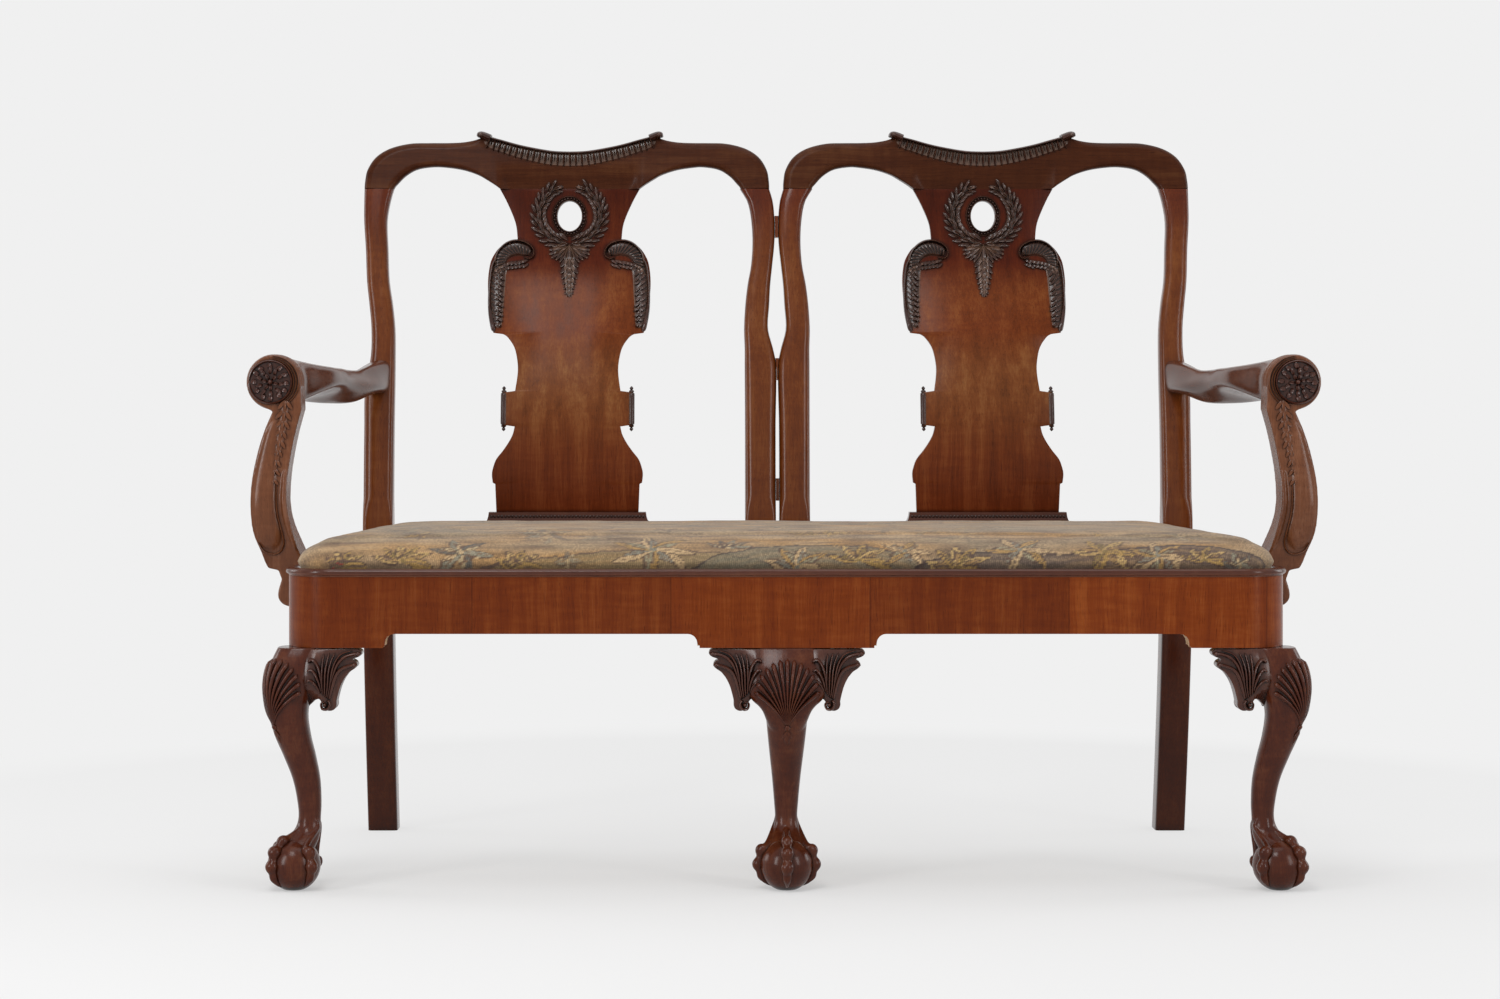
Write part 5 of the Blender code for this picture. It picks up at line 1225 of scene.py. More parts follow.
def laid(bm: Mesh, surface: Surface) -> Mesh:
    """Lay relief on a surface.

    Args:
        bm: The relief, drawn in the plane.
        surface: Gives the place of a point across, up and above the ground.

    Returns:
        The same mesh, laid.
    """
    for vert in bm.verts:
        vert.co = surface(vert.co.x, vert.co.y, vert.co.z)
    return bm


def mirrored(parts: Callable[[int], Iterable[Mesh]]) -> list[Mesh]:
    """Make a pair of reliefs that mirror each other.

    Args:
        parts: Gives the reliefs of the right-hand side.

    Returns:
        Those reliefs and their mirror images.
    """
    made = []
    for side in (-1, 1):
        for part in parts(side):
            if side < 0:
                bmesh.ops.scale(part, vec=(-1, 1, 1), verts=part.verts)
            made.append(part)
    return made


def drooping_husk(at: Vector, turn: float, size: float) -> list[Mesh]:
    """Group three leaves that spring from one point.

    Args:
        at: Where they spring from.
        turn: The direction of the middle leaf in degrees.
        size: Length of the middle leaf.

    Returns:
        The three leaves.
    """
    spread = ((-40, 0.80, 0.17), (40, 0.80, 0.17), (-17, 0.95, 0.15), (17, 0.95, 0.15), (0, 1.0, 0.16))
    return [placed(leaf(size * length, size * half, size * (0.26 if lean else 0.34), 1.2, 0.5, size * 0.10),
                   at, turn + lean) for lean, length, half in spread]


@dataclass
class CrestRails:
    """A crest on each chair back: rounded shoulders, a dip, horns and a carved leaf band.

    Attributes:
        edges: Shares of the half width and the rise, at the lower and the upper edge, from
            the middle out to the seam with the post, and the rounding of both edges.
    """

    half_outer: float = 0.30445
    half_inner: float = 0.2958
    rise: float = 0.0695
    depth: float = LINES.crest_depth
    edges: Table = (
        (0.0, 0.0, 0.0, 0.80, 0.0006, 0.004), (0.08, 0.0, 0.08, 0.815, 0.0006, 0.004),
        (0.165, 0.0, 0.165, 0.875, 0.0006, 0.004), (0.25, 0.0, 0.25, 0.955, 0.0006, 0.004),
        (0.31, 0.0, 0.335, 1.06, 0.0006, 0.004), (0.335, 0.0, 0.385, 1.12, 0.001, 0.004),
        (0.365, 0.09, 0.43, 1.10, 0.003, 0.005), (0.405, 0.20, 0.475, 1.045, 0.005, 0.007),
        (0.45, 0.31, 0.53, 1.01, 0.007, 0.009), (0.52, 0.41, 0.60, 1.0, 0.009, 0.011),
        (0.60, 0.465, 0.69, 1.0, 0.010, 0.012), (0.67, 0.475, 0.785, 0.985, 0.010, 0.012),
        (0.745, 0.42, 0.88, 0.88, 0.010, 0.012), (0.80, 0.28, 0.948, 0.69, 0.010, 0.012),
        (0.84, 0.10, 0.987, 0.42, 0.010, 0.011), (0.852, 0.04, 0.998, 0.18, 0.009, 0.011),
        (0.8565, 0.0, 1.0, 0.0, 0.009, 0.010))
    leaves: int = 29
    band: float = 0.0236
    band_proud: float = 0.0054

    def build(self) -> None:
        """Make both crests with their bands and horns."""
        for side, word in both_sides():
            self.build_rail(side, word)
            self.build_band(side, word)

    def half_line(self, side: int, hand: int) -> list[Vector]:
        """Trace both edges of one half of a crest.

        Args:
            side: Which chair.
            hand: Which half of it.

        Returns:
            Rows of lower edge, upper edge and the two roundings, from the middle out.
        """
        rows = []
        for row in self.edges:
            placed_row = []
            for x, z in ((row[0], row[1]), (row[2], row[3])):
                scale = self.half_outer if hand == side or x <= 0.6 else self.half_inner
                placed_row += [side * LINES.chair_centre + hand * x * scale, LINES.seam + z * self.rise]
            rows.append(placed_row + [row[4], row[5]])
        return smooth_run(rows, 6)

    def build_rail(self, side: int, word: str) -> None:
        """Sweep the rail's section from one seam with a post to the other.

        Args:
            side: Which chair.
            word: Its name.
        """
        right, left = self.half_line(side, 1), self.half_line(side, -1)
        sections = [self.section(row, side) for row in list(reversed(left)) + right[1:]]
        around, last = len(sections[0]), len(sections) - 1

        def place(u: float, v: float) -> Vector:
            return sections[round(v * last)][round(u * around) % around]

        publish("crest_" + word, skin(place, around, last), CREST_WOOD, ("crest_rail_" + word,), sharp=50)

    def section(self, row: Sequence[float], side: int) -> list[Vector]:
        """Draw the crest's section at one station.

        Args:
            row: Its lower edge, its upper edge and the two roundings.
            side: Which chair.

        Returns:
            The points round it.
        """
        low, high = Vector((row[0], max(row[1], LINES.seam))), Vector((row[2], row[3]))
        tall = (high - low).length
        rise = (high - low) / tall
        points = []
        radii = [min(radius, self.depth * 0.48, tall * 0.48) for radius in (row[5], row[4], row[4], row[5])]
        for corner, radius in enumerate(radii):
            across = (-1, -1, 1, 1)[corner] * (self.depth / 2 - radius)
            up = (tall - radius, radius, radius, tall - radius)[corner]
            for step in range(7):
                turn = math.pi / 2 * (corner + step / 6)
                points.append((across - radius * math.sin(turn), up + radius * math.cos(turn)))
            if corner in (0, 2):
                ends = (tall - radius, radii[1]) if corner == 0 else (radius, tall - radii[3])
                points += [(points[-1][0], ends[0] + (ends[1] - ends[0]) * share)
                           for share in (0.04, 0.2, 0.4, 0.6, 0.8, 0.96)]
        made = []
        for across, up in points:
            point = low + rise * up
            middle = LINES.back_line(point.y)
            hollow = LINES.back_face(point.x - side * LINES.chair_centre, point.y) - middle + self.depth / 2
            made.append(Vector((point.x, middle + across + hollow * max(-across / self.depth * 2, 0), point.y)))
        return made

    def build_band(self, side: int, word: str) -> None:
        """Carve the band of hanging leaves along the dip, and the horns at its ends.

        Args:
            side: Which chair.
            word: Its name.
        """
        half = [Vector((row[2] * self.half_outer, LINES.seam + row[3] * self.rise - 0.0018)) for row in self.edges[:6]]
        tip = half[-1] + Vector((0.010, 0.0045))
        half = smooth_run(half + [tip], 6)
        path = flipped(half) + half[1:]
        ground = [p + Vector((0, -self.band * 0.42)) for p in path]
        parts = [ridge(path, (0.0018, 0.0021, 0.0018), [0.0058] * 3, 72, 8),
                 ridge(ground, (self.band * 0.20, self.band * 0.40, self.band * 0.20), [0.0005] * 3, 72, 8)]
        for i in range(self.leaves * 2 - 1):
            share = 0.02 + 0.96 * (i / 2 + 0.5) / self.leaves
            point, step = along(path, share)
            long = self.band * (0.80 + 0.20 * math.sin(math.pi * share)) * (0.98 if i % 2 == 0 else 0.72)
            turn = math.degrees(math.atan2(-step.x, step.y))
            high = self.band_proud * (1.55 if i % 2 == 0 else 0.60)
            parts.append(placed(leaf(long, 0.0021 if i % 2 == 0 else 0.0009, high, 0.9, 0.0, -0.001), point, turn))
        parts += mirrored(lambda hand: self.horn(tip))
        publish("crest_band_" + word, laid(merge(parts), LINES.chair_front(side)), CARVED_WOOD)
        # The horns also wrap over the top of the rail towards its back
        caps = mirrored(lambda hand: self.horn(tip))
        for part in caps:
            bmesh.ops.scale(part, vec=(1, 1, -1), verts=part.verts)

        def back(x: float, z: float, height: float) -> Vector:
            return Vector((side * LINES.chair_centre + x, LINES.back_line(z) + self.depth * 0.12 - height, z))

        publish("crest_horns_" + word, laid(merge(caps), back), CARVED_WOOD)

    def horn(self, tip: Vector) -> list[Mesh]:
        """Curl the end of the band into a small horn.

        Args:
            tip: Where the band ends on the right.

        Returns:
            Its ribs.
        """
        curl = [tip + Vector((-0.010, -0.005)), tip + Vector((-0.002, -0.0015)), tip + Vector((0.005, 0.0015)),
                tip + Vector((0.0085, 0.0005)), tip + Vector((0.0080, -0.0028))]
        path = smooth_run(curl, 5)
        eye = tip + Vector((0.0048, -0.0005))
        return [ridge(path, (0.0055, 0.0050, 0.0022), (0.011, 0.011, 0.008), 18, 10), bead(eye, 0.0042, 0.0115)]


@dataclass
class Splats:
    """The spooned splats with their carving, their side rolls and the shoes they stand in.

    Attributes:
        runs: Outline from the shoe up, as shares of the rise and the half width, in runs
            that meet at its sharp steps.
        shoe_profile: Shares of the shoe's height, half its depth there and how far its ends
            are drawn in.
    """

    half: float = 0.12
    thickness: float = LINES.splat_thickness
    oval: tuple[float, float] = (0.018, 0.0223)
    oval_drop: float = 0.0405
    roll_radius: float = 0.0046
    roll_height: float = 0.066
    roll_share: float = 0.3165
    bands: int = 72
    runs: tuple[Table, ...] = (
        ((0.0, 0.862), (0.086, 0.875)),
        ((0.090, 0.905), (0.116, 0.915), (0.137, 0.90), (0.162, 0.862), (0.187, 0.785), (0.212, 0.717),
         (0.237, 0.665), (0.262, 0.640)),
        ((0.267, 0.785), (0.366, 0.785)),
        ((0.371, 0.640), (0.416, 0.615), (0.449, 0.612), (0.487, 0.636), (0.512, 0.6725), (0.537, 0.745),
         (0.546, 0.80)),
        ((0.550, 0.918), (0.587, 0.955), (0.648, 0.988), (0.712, 1.0), (0.761, 0.98), (0.787, 0.945),
         (0.812, 0.88), (0.829, 0.80), (0.8376, 0.725)),
        ((0.842, 0.640), (0.880, 0.655), (0.912, 0.692), (0.962, 0.78), (1.0, 0.862)))
    wreath: tuple[float, float] = (0.0455, 0.0405)
    wreath_top: float = 0.0468
    shoe_half: float = 0.123
    shoe_beads: int = 44
    shoe_profile: Table = (
        (0.0, 0.0165, 0.0), (0.30, 0.0165, 0.0), (0.34, 0.0150, 0.0015), (0.40, 0.0145, 0.002),
        (0.46, 0.0160, 0.0005), (0.54, 0.0165, 0.0), (0.62, 0.0155, 0.001), (0.66, 0.0130, 0.004),
        (0.74, 0.0118, 0.0065), (0.86, 0.0112, 0.008), (1.0, 0.0110, 0.0088))

    def build(self) -> None:
        """Make both splats, all that is carved on them, and both shoes."""
        for side, word in both_sides():
            self.build_board(side, word)
            self.build_rolls(side, word)
            self.build_carving(side, word)
            self.build_shoe(side, word)

    def height(self, share: float) -> float:
        """Give the height at a share of the splat's rise."""
        return LINES.shoe_top + (LINES.seam - LINES.shoe_top) * share

    def outline(self) -> list[Vector]:
        """Trace the right-hand edge from the shoe to the crest."""
        points = []
        for run in self.runs:
            points += smooth_run([(width * self.half, self.height(rise)) for rise, width in run],
                                 5 if len(run) > 2 else 1)
        return points

    def build_board(self, side: int, word: str) -> None:
        """Cut the board to its outline, pierce its oval and bend it.

        Args:
            side: Which chair.
            word: Its name.
        """
        right = self.outline()
        outline = right + flipped(right)
        low, high = LINES.shoe_top + LINES.tight, LINES.seam - LINES.tight
        outline = [Vector((p.x, clip(p.y, low, high))) for p in outline]
        bm = sheet((p.x, 0, p.y) for p in outline)
        self.pierce(bm, LINES.seam - self.oval_drop)
        divide(bm, 2, (self.height(i / self.bands) for i in range(1, self.bands)))
        thicken(bm, (0, self.thickness, 0))
        bmesh.ops.translate(bm, vec=(side * LINES.chair_centre, -self.thickness / 2, 0), verts=bm.verts)
        for vert in bm.verts:
            vert.co.y += LINES.splat_line(vert.co.z)
        ease(bm, 0.0007, 2, 60)
        publish("splat_board_" + word, bm, SPLAT_VENEER, ("splat_" + word,))

    def pierce(self, bm: Mesh, centre: float) -> None:
        """Open the oval in a flat board.

        Args:
            bm: The flat board, changed in place.
            centre: The height of the oval's middle.
        """
        divide(bm, 0, (-self.oval[0] * 1.6, self.oval[0] * 1.6))
        divide(bm, 2, (centre - self.oval[1] * 1.6, centre + self.oval[1] * 1.6))
        field = min(bm.faces, key=lambda f: (f.calc_center_median() - Vector((0, 0, centre))).length)
        square = list(field.edges)
        bmesh.ops.delete(bm, geom=[field], context="FACES_ONLY")
        ring = bmesh.ops.create_circle(bm, segments=48, radius=1.0)["verts"]
        for vert in ring:
            vert.co = Vector((vert.co.x * self.oval[0], 0, centre + vert.co.y * self.oval[1]))
        hole = list({e for v in ring for e in v.link_edges})
        bmesh.ops.subdivide_edges(bm, edges=square, cuts=11)
        square = [e for e in bm.edges if e.is_boundary and e not in hole
                  and all(abs(v.co.x) < self.oval[0] * 1.7 and abs(v.co.z - centre) < self.oval[1] * 1.7
                          for v in e.verts)]
        bmesh.ops.bridge_loops(bm, edges=square + hole)

    def build_rolls(self, side: int, word: str) -> None:
        """Turn the small baluster that lies along each edge.

        Args:
            side: Which chair.
            word: Its name.
        """
        profile = ((0.0, 0.0), (0.02, 0.35), (0.045, 0.62), (0.07, 0.5), (0.085, 0.32), (0.10, 0.72), (0.125, 0.86),
                   (0.145, 0.6), (0.16, 0.95), (0.2, 1.0), (0.5, 1.0), (0.8, 1.0), (0.84, 0.95), (0.855, 0.6),
                   (0.875, 0.86), (0.90, 0.72), (0.915, 0.32), (0.93, 0.5), (0.955, 0.62), (0.98, 0.35), (1.0, 0.0))
        centre = self.height(self.roll_share)
        parts = []
        for hand in (-1, 1):
            x = side * LINES.chair_centre + hand * (self.half * 0.785 - self.roll_radius / 4)
            bm = bmesh.new()
            edge = [bm.verts.new((r * self.roll_radius, 0, (t - 0.5) * self.roll_height)) for t, r in profile]
            lines = [bm.edges.new(pair) for pair in zip(edge, edge[1:])]
            bmesh.ops.spin(bm, geom=edge + lines, cent=(0, 0, 0), axis=(0, 0, 1), angle=math.tau, steps=20,
                           use_merge=True)
            bmesh.ops.remove_doubles(bm, verts=bm.verts, dist=1e-6)
            for vert in bm.verts:
                z = centre + vert.co.z
                vert.co = Vector((x + vert.co.x, LINES.splat_line(z) - self.thickness / 4 + vert.co.y, z))
            parts.append(bm)
        publish("splat_rolls_" + word, merge(parts), CARVED_WOOD, sharp=50)

    def build_carving(self, side: int, word: str) -> None:
        """Carve the wreath, the beaded oval, the hanging leaves and the wings.

        Args:
            side: Which chair.
            word: Its name.
        """
        centre = Vector((0, LINES.seam - self.oval_drop))
        oval = self.beaded_oval(centre)
        wreath = mirrored(lambda hand: self.wreath_branch(centre, hand))
        wreath += [bead((x, centre.y - self.wreath[1] - 0.001), 0.0028, 0.0065) for x in (-0.0042, 0.0042)]
        wreath += self.hanging_leaves(centre)
        for name, parts in (("oval", oval), ("wreath", wreath), ("wings", mirrored(self.wing))):
            carved = laid(merge(parts), LINES.chair_front(side))
            publish(f"splat_{name}_{word}", carved, CARVED_WOOD)

    def beaded_oval(self, centre: Vector) -> list[Mesh]:
        """Ring the oval with a raised rim and small beads.

        Args:
            centre: Middle of the oval.

        Returns:
            The rim and its beads.
        """
        def ring(grow: float, steps: int) -> list[Vector]:
            return [centre + p for p in arc((self.oval[0] + grow, self.oval[1] + grow), fan(0, 360, steps))]

        return [ridge(ring(0.0012, 64), [0.0013] * 3, [0.0042] * 3, 64, 8),
                ridge(ring(0.0068, 64), [0.0011] * 3, [0.0026] * 3, 64, 8),
                *(bead(at, 0.0020, 0.0040, 8) for at in ring(0.0040, 30)[:-1])]

    def wreath_branch(self, centre: Vector, hand: int) -> list[Mesh]:
        """Lay the laurel leaves of one branch of the wreath.

        Args:
            centre: Middle of the wreath.
            hand: Which branch, for its own small differences.

        Returns:
            The stem and its leaves on the right.
        """
        chance = random.Random(7 + hand)
        turns = fan(-88, 68, 26)
        path = arc(self.wreath, (a for a in turns if a < 0))
        path += arc((self.wreath[0], self.wreath_top), (a for a in turns if a >= 0))
        path = [centre + p for p in path]
        parts = [ridge(path, (0.0026, 0.0036, 0.0016), (0.0018, 0.0022, 0.0014), 28, 8)]
        for i in range(14):
            point, step = along(path, i / 14)
            turn = heading(step)
            normal = Vector((step.y, -step.x))
            size = (0.0180 - 0.0040 * i / 14) * chance.uniform(0.94, 1.06)
            for out, lean, high in ((0.0050, 30, 0.0062), (-0.0040, -34, 0.0060), (0.0, (16, -16)[i % 2], 0.0084)):
                at = point + normal * out * (1 - 0.3 * i / 14)
                lifted = leaf(size, size * 0.17, high, 1.1, 0.45, 0.0022)
                parts.append(placed(lifted, at, turn - lean + chance.uniform(-4, 4)))
        point, step = along(path, 0.97)
        parts.append(placed(leaf(0.012, 0.0035, 0.0055, 0.9, 0.3), point, heading(step) + 14))
        return parts

    def hanging_leaves(self, centre: Vector) -> list[Mesh]:
        """Fan leaves out below the wreath and hang a drop of husks from them.

        Args:
            centre: Middle of the wreath.

        Returns:
            All the leaves.
        """
        root = centre + Vector((0, -self.wreath[1] - 0.0015))
        parts = [ridge([root, root + Vector((0, -0.078))], (0.0030, 0.0022, 0.0008), (0.0045, 0.0040, 0.002), 16, 8)]
        for i, (turn, length, half) in enumerate(((-176, 0.027, 0.0032), (-166, 0.032, 0.0036), (-155, 0.034, 0.0038),
                                                  (-144, 0.034, 0.0038), (-132, 0.031, 0.0036), (-119, 0.030, 0.0034),
                                                  (-105, 0.030, 0.0032))):
            high = 0.0074 if i % 2 else 0.0056
            parts += [placed(leaf(length, half, high, 1.3, 0.55, 0.0030), (root.x, root.y - 0.001), lean)
                      for lean in (turn, -180 - turn)]
        parts.append(placed(leaf(0.030, 0.0042, 0.0085, 1.3, 0.5, 0.002), root, -90))
        for drop, size in ((0.018, 0.026), (0.028, 0.025), (0.038, 0.022), (0.048, 0.019), (0.057, 0.016),
                           (0.066, 0.013)):
            parts += drooping_husk(root + Vector((0, -drop)), -90, size)
        return parts

    def wing(self, hand: int) -> list[Mesh]:
        """Carve the feathered wing that wraps a shoulder of the splat.

        Args:
            hand: Which wing, for its own small differences.

        Returns:
            Its ground and its feathers on the right.
        """
        chance = random.Random(23 + hand)
        parts = []
        # The smooth rim runs down the outer edge to the pointed tail
        rim = smooth_run([(0.1080, 0.846), (0.1135, 0.834), (0.1162, 0.815), (0.1172, 0.795), (0.1166, 0.774),
                          (0.1142, 0.757), (0.1090, 0.7355)], 5)
        parts.append(ridge(rim, (0.0020, 0.0024, 0.0040), (0.0060, 0.0058, 0.0030), 32, 8))
        spine = smooth_run([(0.1000, 0.842), (0.1040, 0.822), (0.1055, 0.800), (0.1055, 0.778), (0.1045, 0.758),
                            (0.1040, 0.742)], 5)
        parts.append(ridge(spine, (0.0105, 0.0105, 0.0055), (0.0022, 0.0022, 0.0016), 30, 8))
        rows = 12
        for i in range(rows):
            point, step = along(spine, 0.93 - 0.95 * i / rows)
            turn = heading(step)
            out = Vector((-step.y, step.x))
            wide = 0.0098 * (0.62 + 0.38 * min(i / 4, 1))
            for column, lean, long, half, high in ((0.92, -60, 0.0150, 0.0020, 0.0066),
                                                   (0.05, -50, 0.0135, 0.0019, 0.0078)):
                at = point + out * (column * wide)
                size = long * chance.uniform(0.92, 1.08) * (0.7 + 0.3 * min(i / 4, 1))
                parts.append(placed(leaf(size, half, high, 0.85, 0.3, 0.0016), at,
                                    turn + lean + chance.uniform(-7, 7)))
        # A second row of feathers lies under the rolled lobe on the shoulder
        under = smooth_run([(0.0600, 0.8440), (0.0740, 0.8420), (0.0880, 0.8400), (0.1000, 0.8360),
                            (0.1080, 0.8300)], 5)
        for i in range(9):
            point, step = along(under, i / 9)
            turn = heading(step)
            for drop, long in ((0.0, 0.0150), (0.0062, 0.0130)):
                parts.append(placed(leaf(long, 0.0021, 0.0066 - drop * 0.2, 0.85, 0.3, 0.001),
                                    (point.x, point.y - drop), turn - 24 + chance.uniform(-7, 7)))
        lobe = smooth_run([(0.1045, 0.8330), (0.1010, 0.8460), (0.0935, 0.8550), (0.0835, 0.8595), (0.0735, 0.8600),
                           (0.0640, 0.8570), (0.0570, 0.8520)], 5)
        parts.append(ridge(lobe, (0.0085, 0.0112, 0.0095), (0.0030, 0.0040, 0.0036), 30, 12, 0.16))
        for i in range(13):
            share = 0.05 + 0.90 * i / 12
            point, step = along(lobe, share)
            cross = Matrix.Rotation(math.radians(62), 2) @ step
            half = 0.0105 * (0.55 + 0.45 * math.sin(math.pi * min(share * 1.15, 1.0)) ** 0.5)
            parts.append(ridge([point - cross * half, point, point + cross * half], (0.0008, 0.0014, 0.0008),
                               (0.0046, 0.0084, 0.0044), 10, 6, 0.12))
        edge = smooth_run([(0.1095, 0.8350), (0.1080, 0.8490), (0.1030, 0.8590), (0.0945, 0.8670), (0.0850, 0.8712),
                           (0.0750, 0.8718), (0.0645, 0.8690), (0.0560, 0.8630), (0.0525, 0.8548), (0.0545, 0.8475),
                           (0.0610, 0.8450), (0.0680, 0.8470)], 4)
        parts.append(ridge(edge, (0.0014, 0.0018, 0.0013), (0.0060, 0.0078, 0.0060), 44, 8))
        return parts

    def build_shoe(self, side: int, word: str) -> None:
        """Mould the shoe that a splat stands in.

        Args:
            side: Which chair.
            word: Its name.
        """
        low, high = LINES.rear_rail_top + LINES.fit, LINES.shoe_top
        middle = Vector((side * LINES.chair_centre, LINES.splat_line(LINES.shoe_top)))
        last = len(self.shoe_profile) - 1

        def place(u: float, v: float) -> Vector:
            share, deep, pull = self.shoe_profile[round(v * last)]
            half = self.shoe_half - pull
            spots = ((1, -1), (1, -0.33), (1, 0.33), (1, 1), (0.5, 1), (-0.5, 1), (-1, 1), (-1, 0.33), (-1, -0.33),
                     (-1, -1), (-0.5, -1), (0.5, -1))
            x, y = spots[round(u * 12) % 12]
            return Vector((middle.x + x * half, middle.y + y * deep, low + (high - low) * share))

        bm = skin(place, 12, last)
        publish("splat_shoe_" + word, bm, LIP_WOOD, ("shoe_" + word,), sharp=35)
        z = low + (high - low) * 0.86
        row = [middle.x + (self.shoe_half - 0.010) * (2 * (i + 0.5) / self.shoe_beads - 1)
               for i in range(self.shoe_beads)]
        front = middle.y - self.shoe_profile[-1][1]
        bm = laid(merge(bead((x, z), 0.0024, 0.0022, 8) for x in row),
                  lambda x, up, height: Vector((x, front - height, up)))
        publish("splat_shoe_beads_" + word, bm, CARVED_WOOD)


@dataclass
class Legs:
    """Cabriole legs with a shell on each knee and a claw that grips a ball.

    Attributes:
        shape: Shares of the height, of the knee's reach and of its half width, and how
            square the section is, from the foot up.
        toe_rows: Degrees down from the top of the ball, share of its radius, and the toe's
            half width and half depth as shares of its own.
    """

    height: float = 0.3161
    back: float = 0.037
    centre_back: float = 0.045
    inset: float = 0.0295
    knee_reach: float = 0.0354
    knee_half: float = 0.030
    foot_reach: float = 0.0255
    ball: float = 0.0345
    ball_sink: float = 0.002
    toe_half: float = 0.0086
    voxel: float = 0.0013
    stile_inset: float = 0.0022
    knee_web: Table = ((0.66, 0.0225), (0.68, 0.0245), (0.712, 0.0280), (0.743, 0.0320), (0.7656, 0.0375),
                       (0.7846, 0.0445), (0.8225, 0.0520), (0.886, 0.0570), (1.0, 0.0580))
    shape: Table = (
        (0.14, 0.62, 0.70, 2.0), (0.175, 0.56, 0.78, 2.0), (0.205, 0.36, 0.74, 2.0), (0.24, 0.10, 0.58, 2.0),
        (0.285, 0.0, 0.49, 2.0),
        (0.35, 0.0, 0.52, 2.1), (0.45, 0.14, 0.60, 2.2), (0.55, 0.455, 0.70, 2.3), (0.63, 0.75, 0.775, 2.4),
        (0.715, 0.96, 0.84, 2.6), (0.78, 1.00, 0.93, 2.7), (0.84, 0.97, 0.99, 2.8), (0.90, 0.85, 1.01, 2.9),
        (0.96, 0.62, 0.98, 3.0), (1.00, 0.44, 0.94, 3.0))
    toe_rows: Table = (
        (14, 1.04, 0.60, 0.62), (30, 1.07, 0.92, 0.94), (44, 1.02, 0.70, 0.66), (60, 1.06, 1.06, 1.12),
        (74, 1.02, 0.72, 0.68), (89, 1.05, 1.02, 1.06), (103, 1.02, 0.70, 0.68), (114, 1.03, 0.66, 0.70),
        (126, 1.01, 0.44, 0.46), (136, 0.99, 0.28, 0.30), (146, 0.97, 0.10, 0.16))

    def build(self) -> None:
        """Make the centre leg and both outer legs."""
        self.build_leg(0, "centre")
        for side, word in both_sides():
            self.build_leg(side, word)

    def stand(self, side: int) -> Matrix:
        """Give the place of a leg, worked about its ankle with its knee towards +X -Y."""
        if side == 0:
            return Matrix.Translation((0, self.centre_back, 0)) @ Matrix.Rotation(math.radians(-45), 4, "Z")
        across = side * (LINES.rail_width / 2 - self.inset)
        turn = 0 if side > 0 else math.radians(-90)
        return Matrix.Translation((across, self.back, 0)) @ Matrix.Rotation(turn, 4, "Z")

    def middle(self, z: float) -> Vector:
        """Give the middle of the leg at a height, in plan."""
        reach = self.knee_reach * curve_value(self.shape, z / self.height)
        return Vector((reach, -reach)) / math.sqrt(2)

    def hub(self) -> Vector:
        """Give the middle of the ball."""
        hub = Vector((self.foot_reach, -self.foot_reach, 0)) / math.sqrt(2)
        hub.z = self.ball - self.ball_sink
        return hub

    def shaft(self) -> Mesh:
        """Draw the leg itself, from inside the ball up to the rail."""
        low = self.shape[0][0]

        def place(u: float, v: float) -> Vector:
            share = low + (1 - low) * v
            half = self.knee_half * curve_value(self.shape, share, 2)
            point = ring_point(u, half, half, curve_value(self.shape, share, 3))
            centre = self.middle(share * self.height)
            return Vector((centre.x + point.x, centre.y + point.y, share * self.height))

        return skin(place, 48, 100)

    def web(self) -> Mesh:
        """Draw the broad front of the centre knee, which flows into both brackets."""
        low = self.knee_web[0][0]
        front, across = Vector((1, -1, 0)) / math.sqrt(2), Vector((1, 1, 0)) / math.sqrt(2)

        def place(u: float, v: float) -> Vector:
            share = low + (1 - low) * v
            half = self.knee_half * curve_value(self.shape, share, 2)
            corner = half * 2 ** (0.5 - 1 / curve_value(self.shape, share, 3))
            reach = self.knee_reach * curve_value(self.shape, share) + corner + 0.0025 * math.sqrt(v) - 0.0010
            wide = curve_value(self.knee_web, share)
            deep = wide * (0.40 + 0.55 * max(1 - v / 0.35, 0) ** 1.5)
            point = ring_point(u, wide, deep, 2.0)
            return across * point.x + front * (reach - deep + point.y) + Vector((0, 0, share * self.height))

        return skin(place, 56, 44)

    def toe(self, degrees: float, first: int) -> Mesh:
        """Draw one toe from its tendon on the ankle to the tip of its talon.

        Args:
            degrees: Its direction in plan.
            first: The first of its rows that lies on the ball.

        Returns:
            The closed toe.
        """
        a = math.radians(degrees)
        out = Vector((math.cos(a), math.sin(a), 0))
        across = Vector((-out.y, out.x, 0))
        hub = self.hub()
        rows = []
        for z, reach, size in ((0.104, 0.0110, 0.20), (0.090, 0.0122, 0.36), (0.078, 0.0150, 0.50)):
            tendon = out * reach + Vector((0, 0, z))
            rows.append([*tendon, size, size])
        for down, reach, wide, deep in self.toe_rows[first:]:
            t = math.radians(down)
            knuckle = hub + (out * math.sin(t) + Vector((0, 0, math.cos(t)))) * self.ball * reach
            rows.append([*knuckle, wide, deep])
        rows = smooth_run(rows, 6)
        last = len(rows) - 1

        def place(u: float, v: float) -> Vector:
            i = round(v * last)
            point, ahead, behind = (Vector(rows[k][:3]) for k in (i, min(i + 1, last), max(i - 1, 0)))
            normal = across.cross(ahead - behind).normalized()
            t = math.tau * u
            wide, deep = rows[i][3] * self.toe_half, rows[i][4] * self.toe_half
            return point + across * wide * math.cos(t) + normal * deep * math.sin(t)

        return skin(place, 14, last)

    def shell(self, shaft: Mesh, broad: bool) -> list[Mesh]:
        """Carve the ribbed shell and the husk under it on the knee.

        Args:
            shaft: The leg that it is laid on.
            broad: Whether the knee is broad, so that the shell lies straight on its front.

        Returns:
            The laid reliefs.
        """
        tree = BVHTree.FromBMesh(shaft)

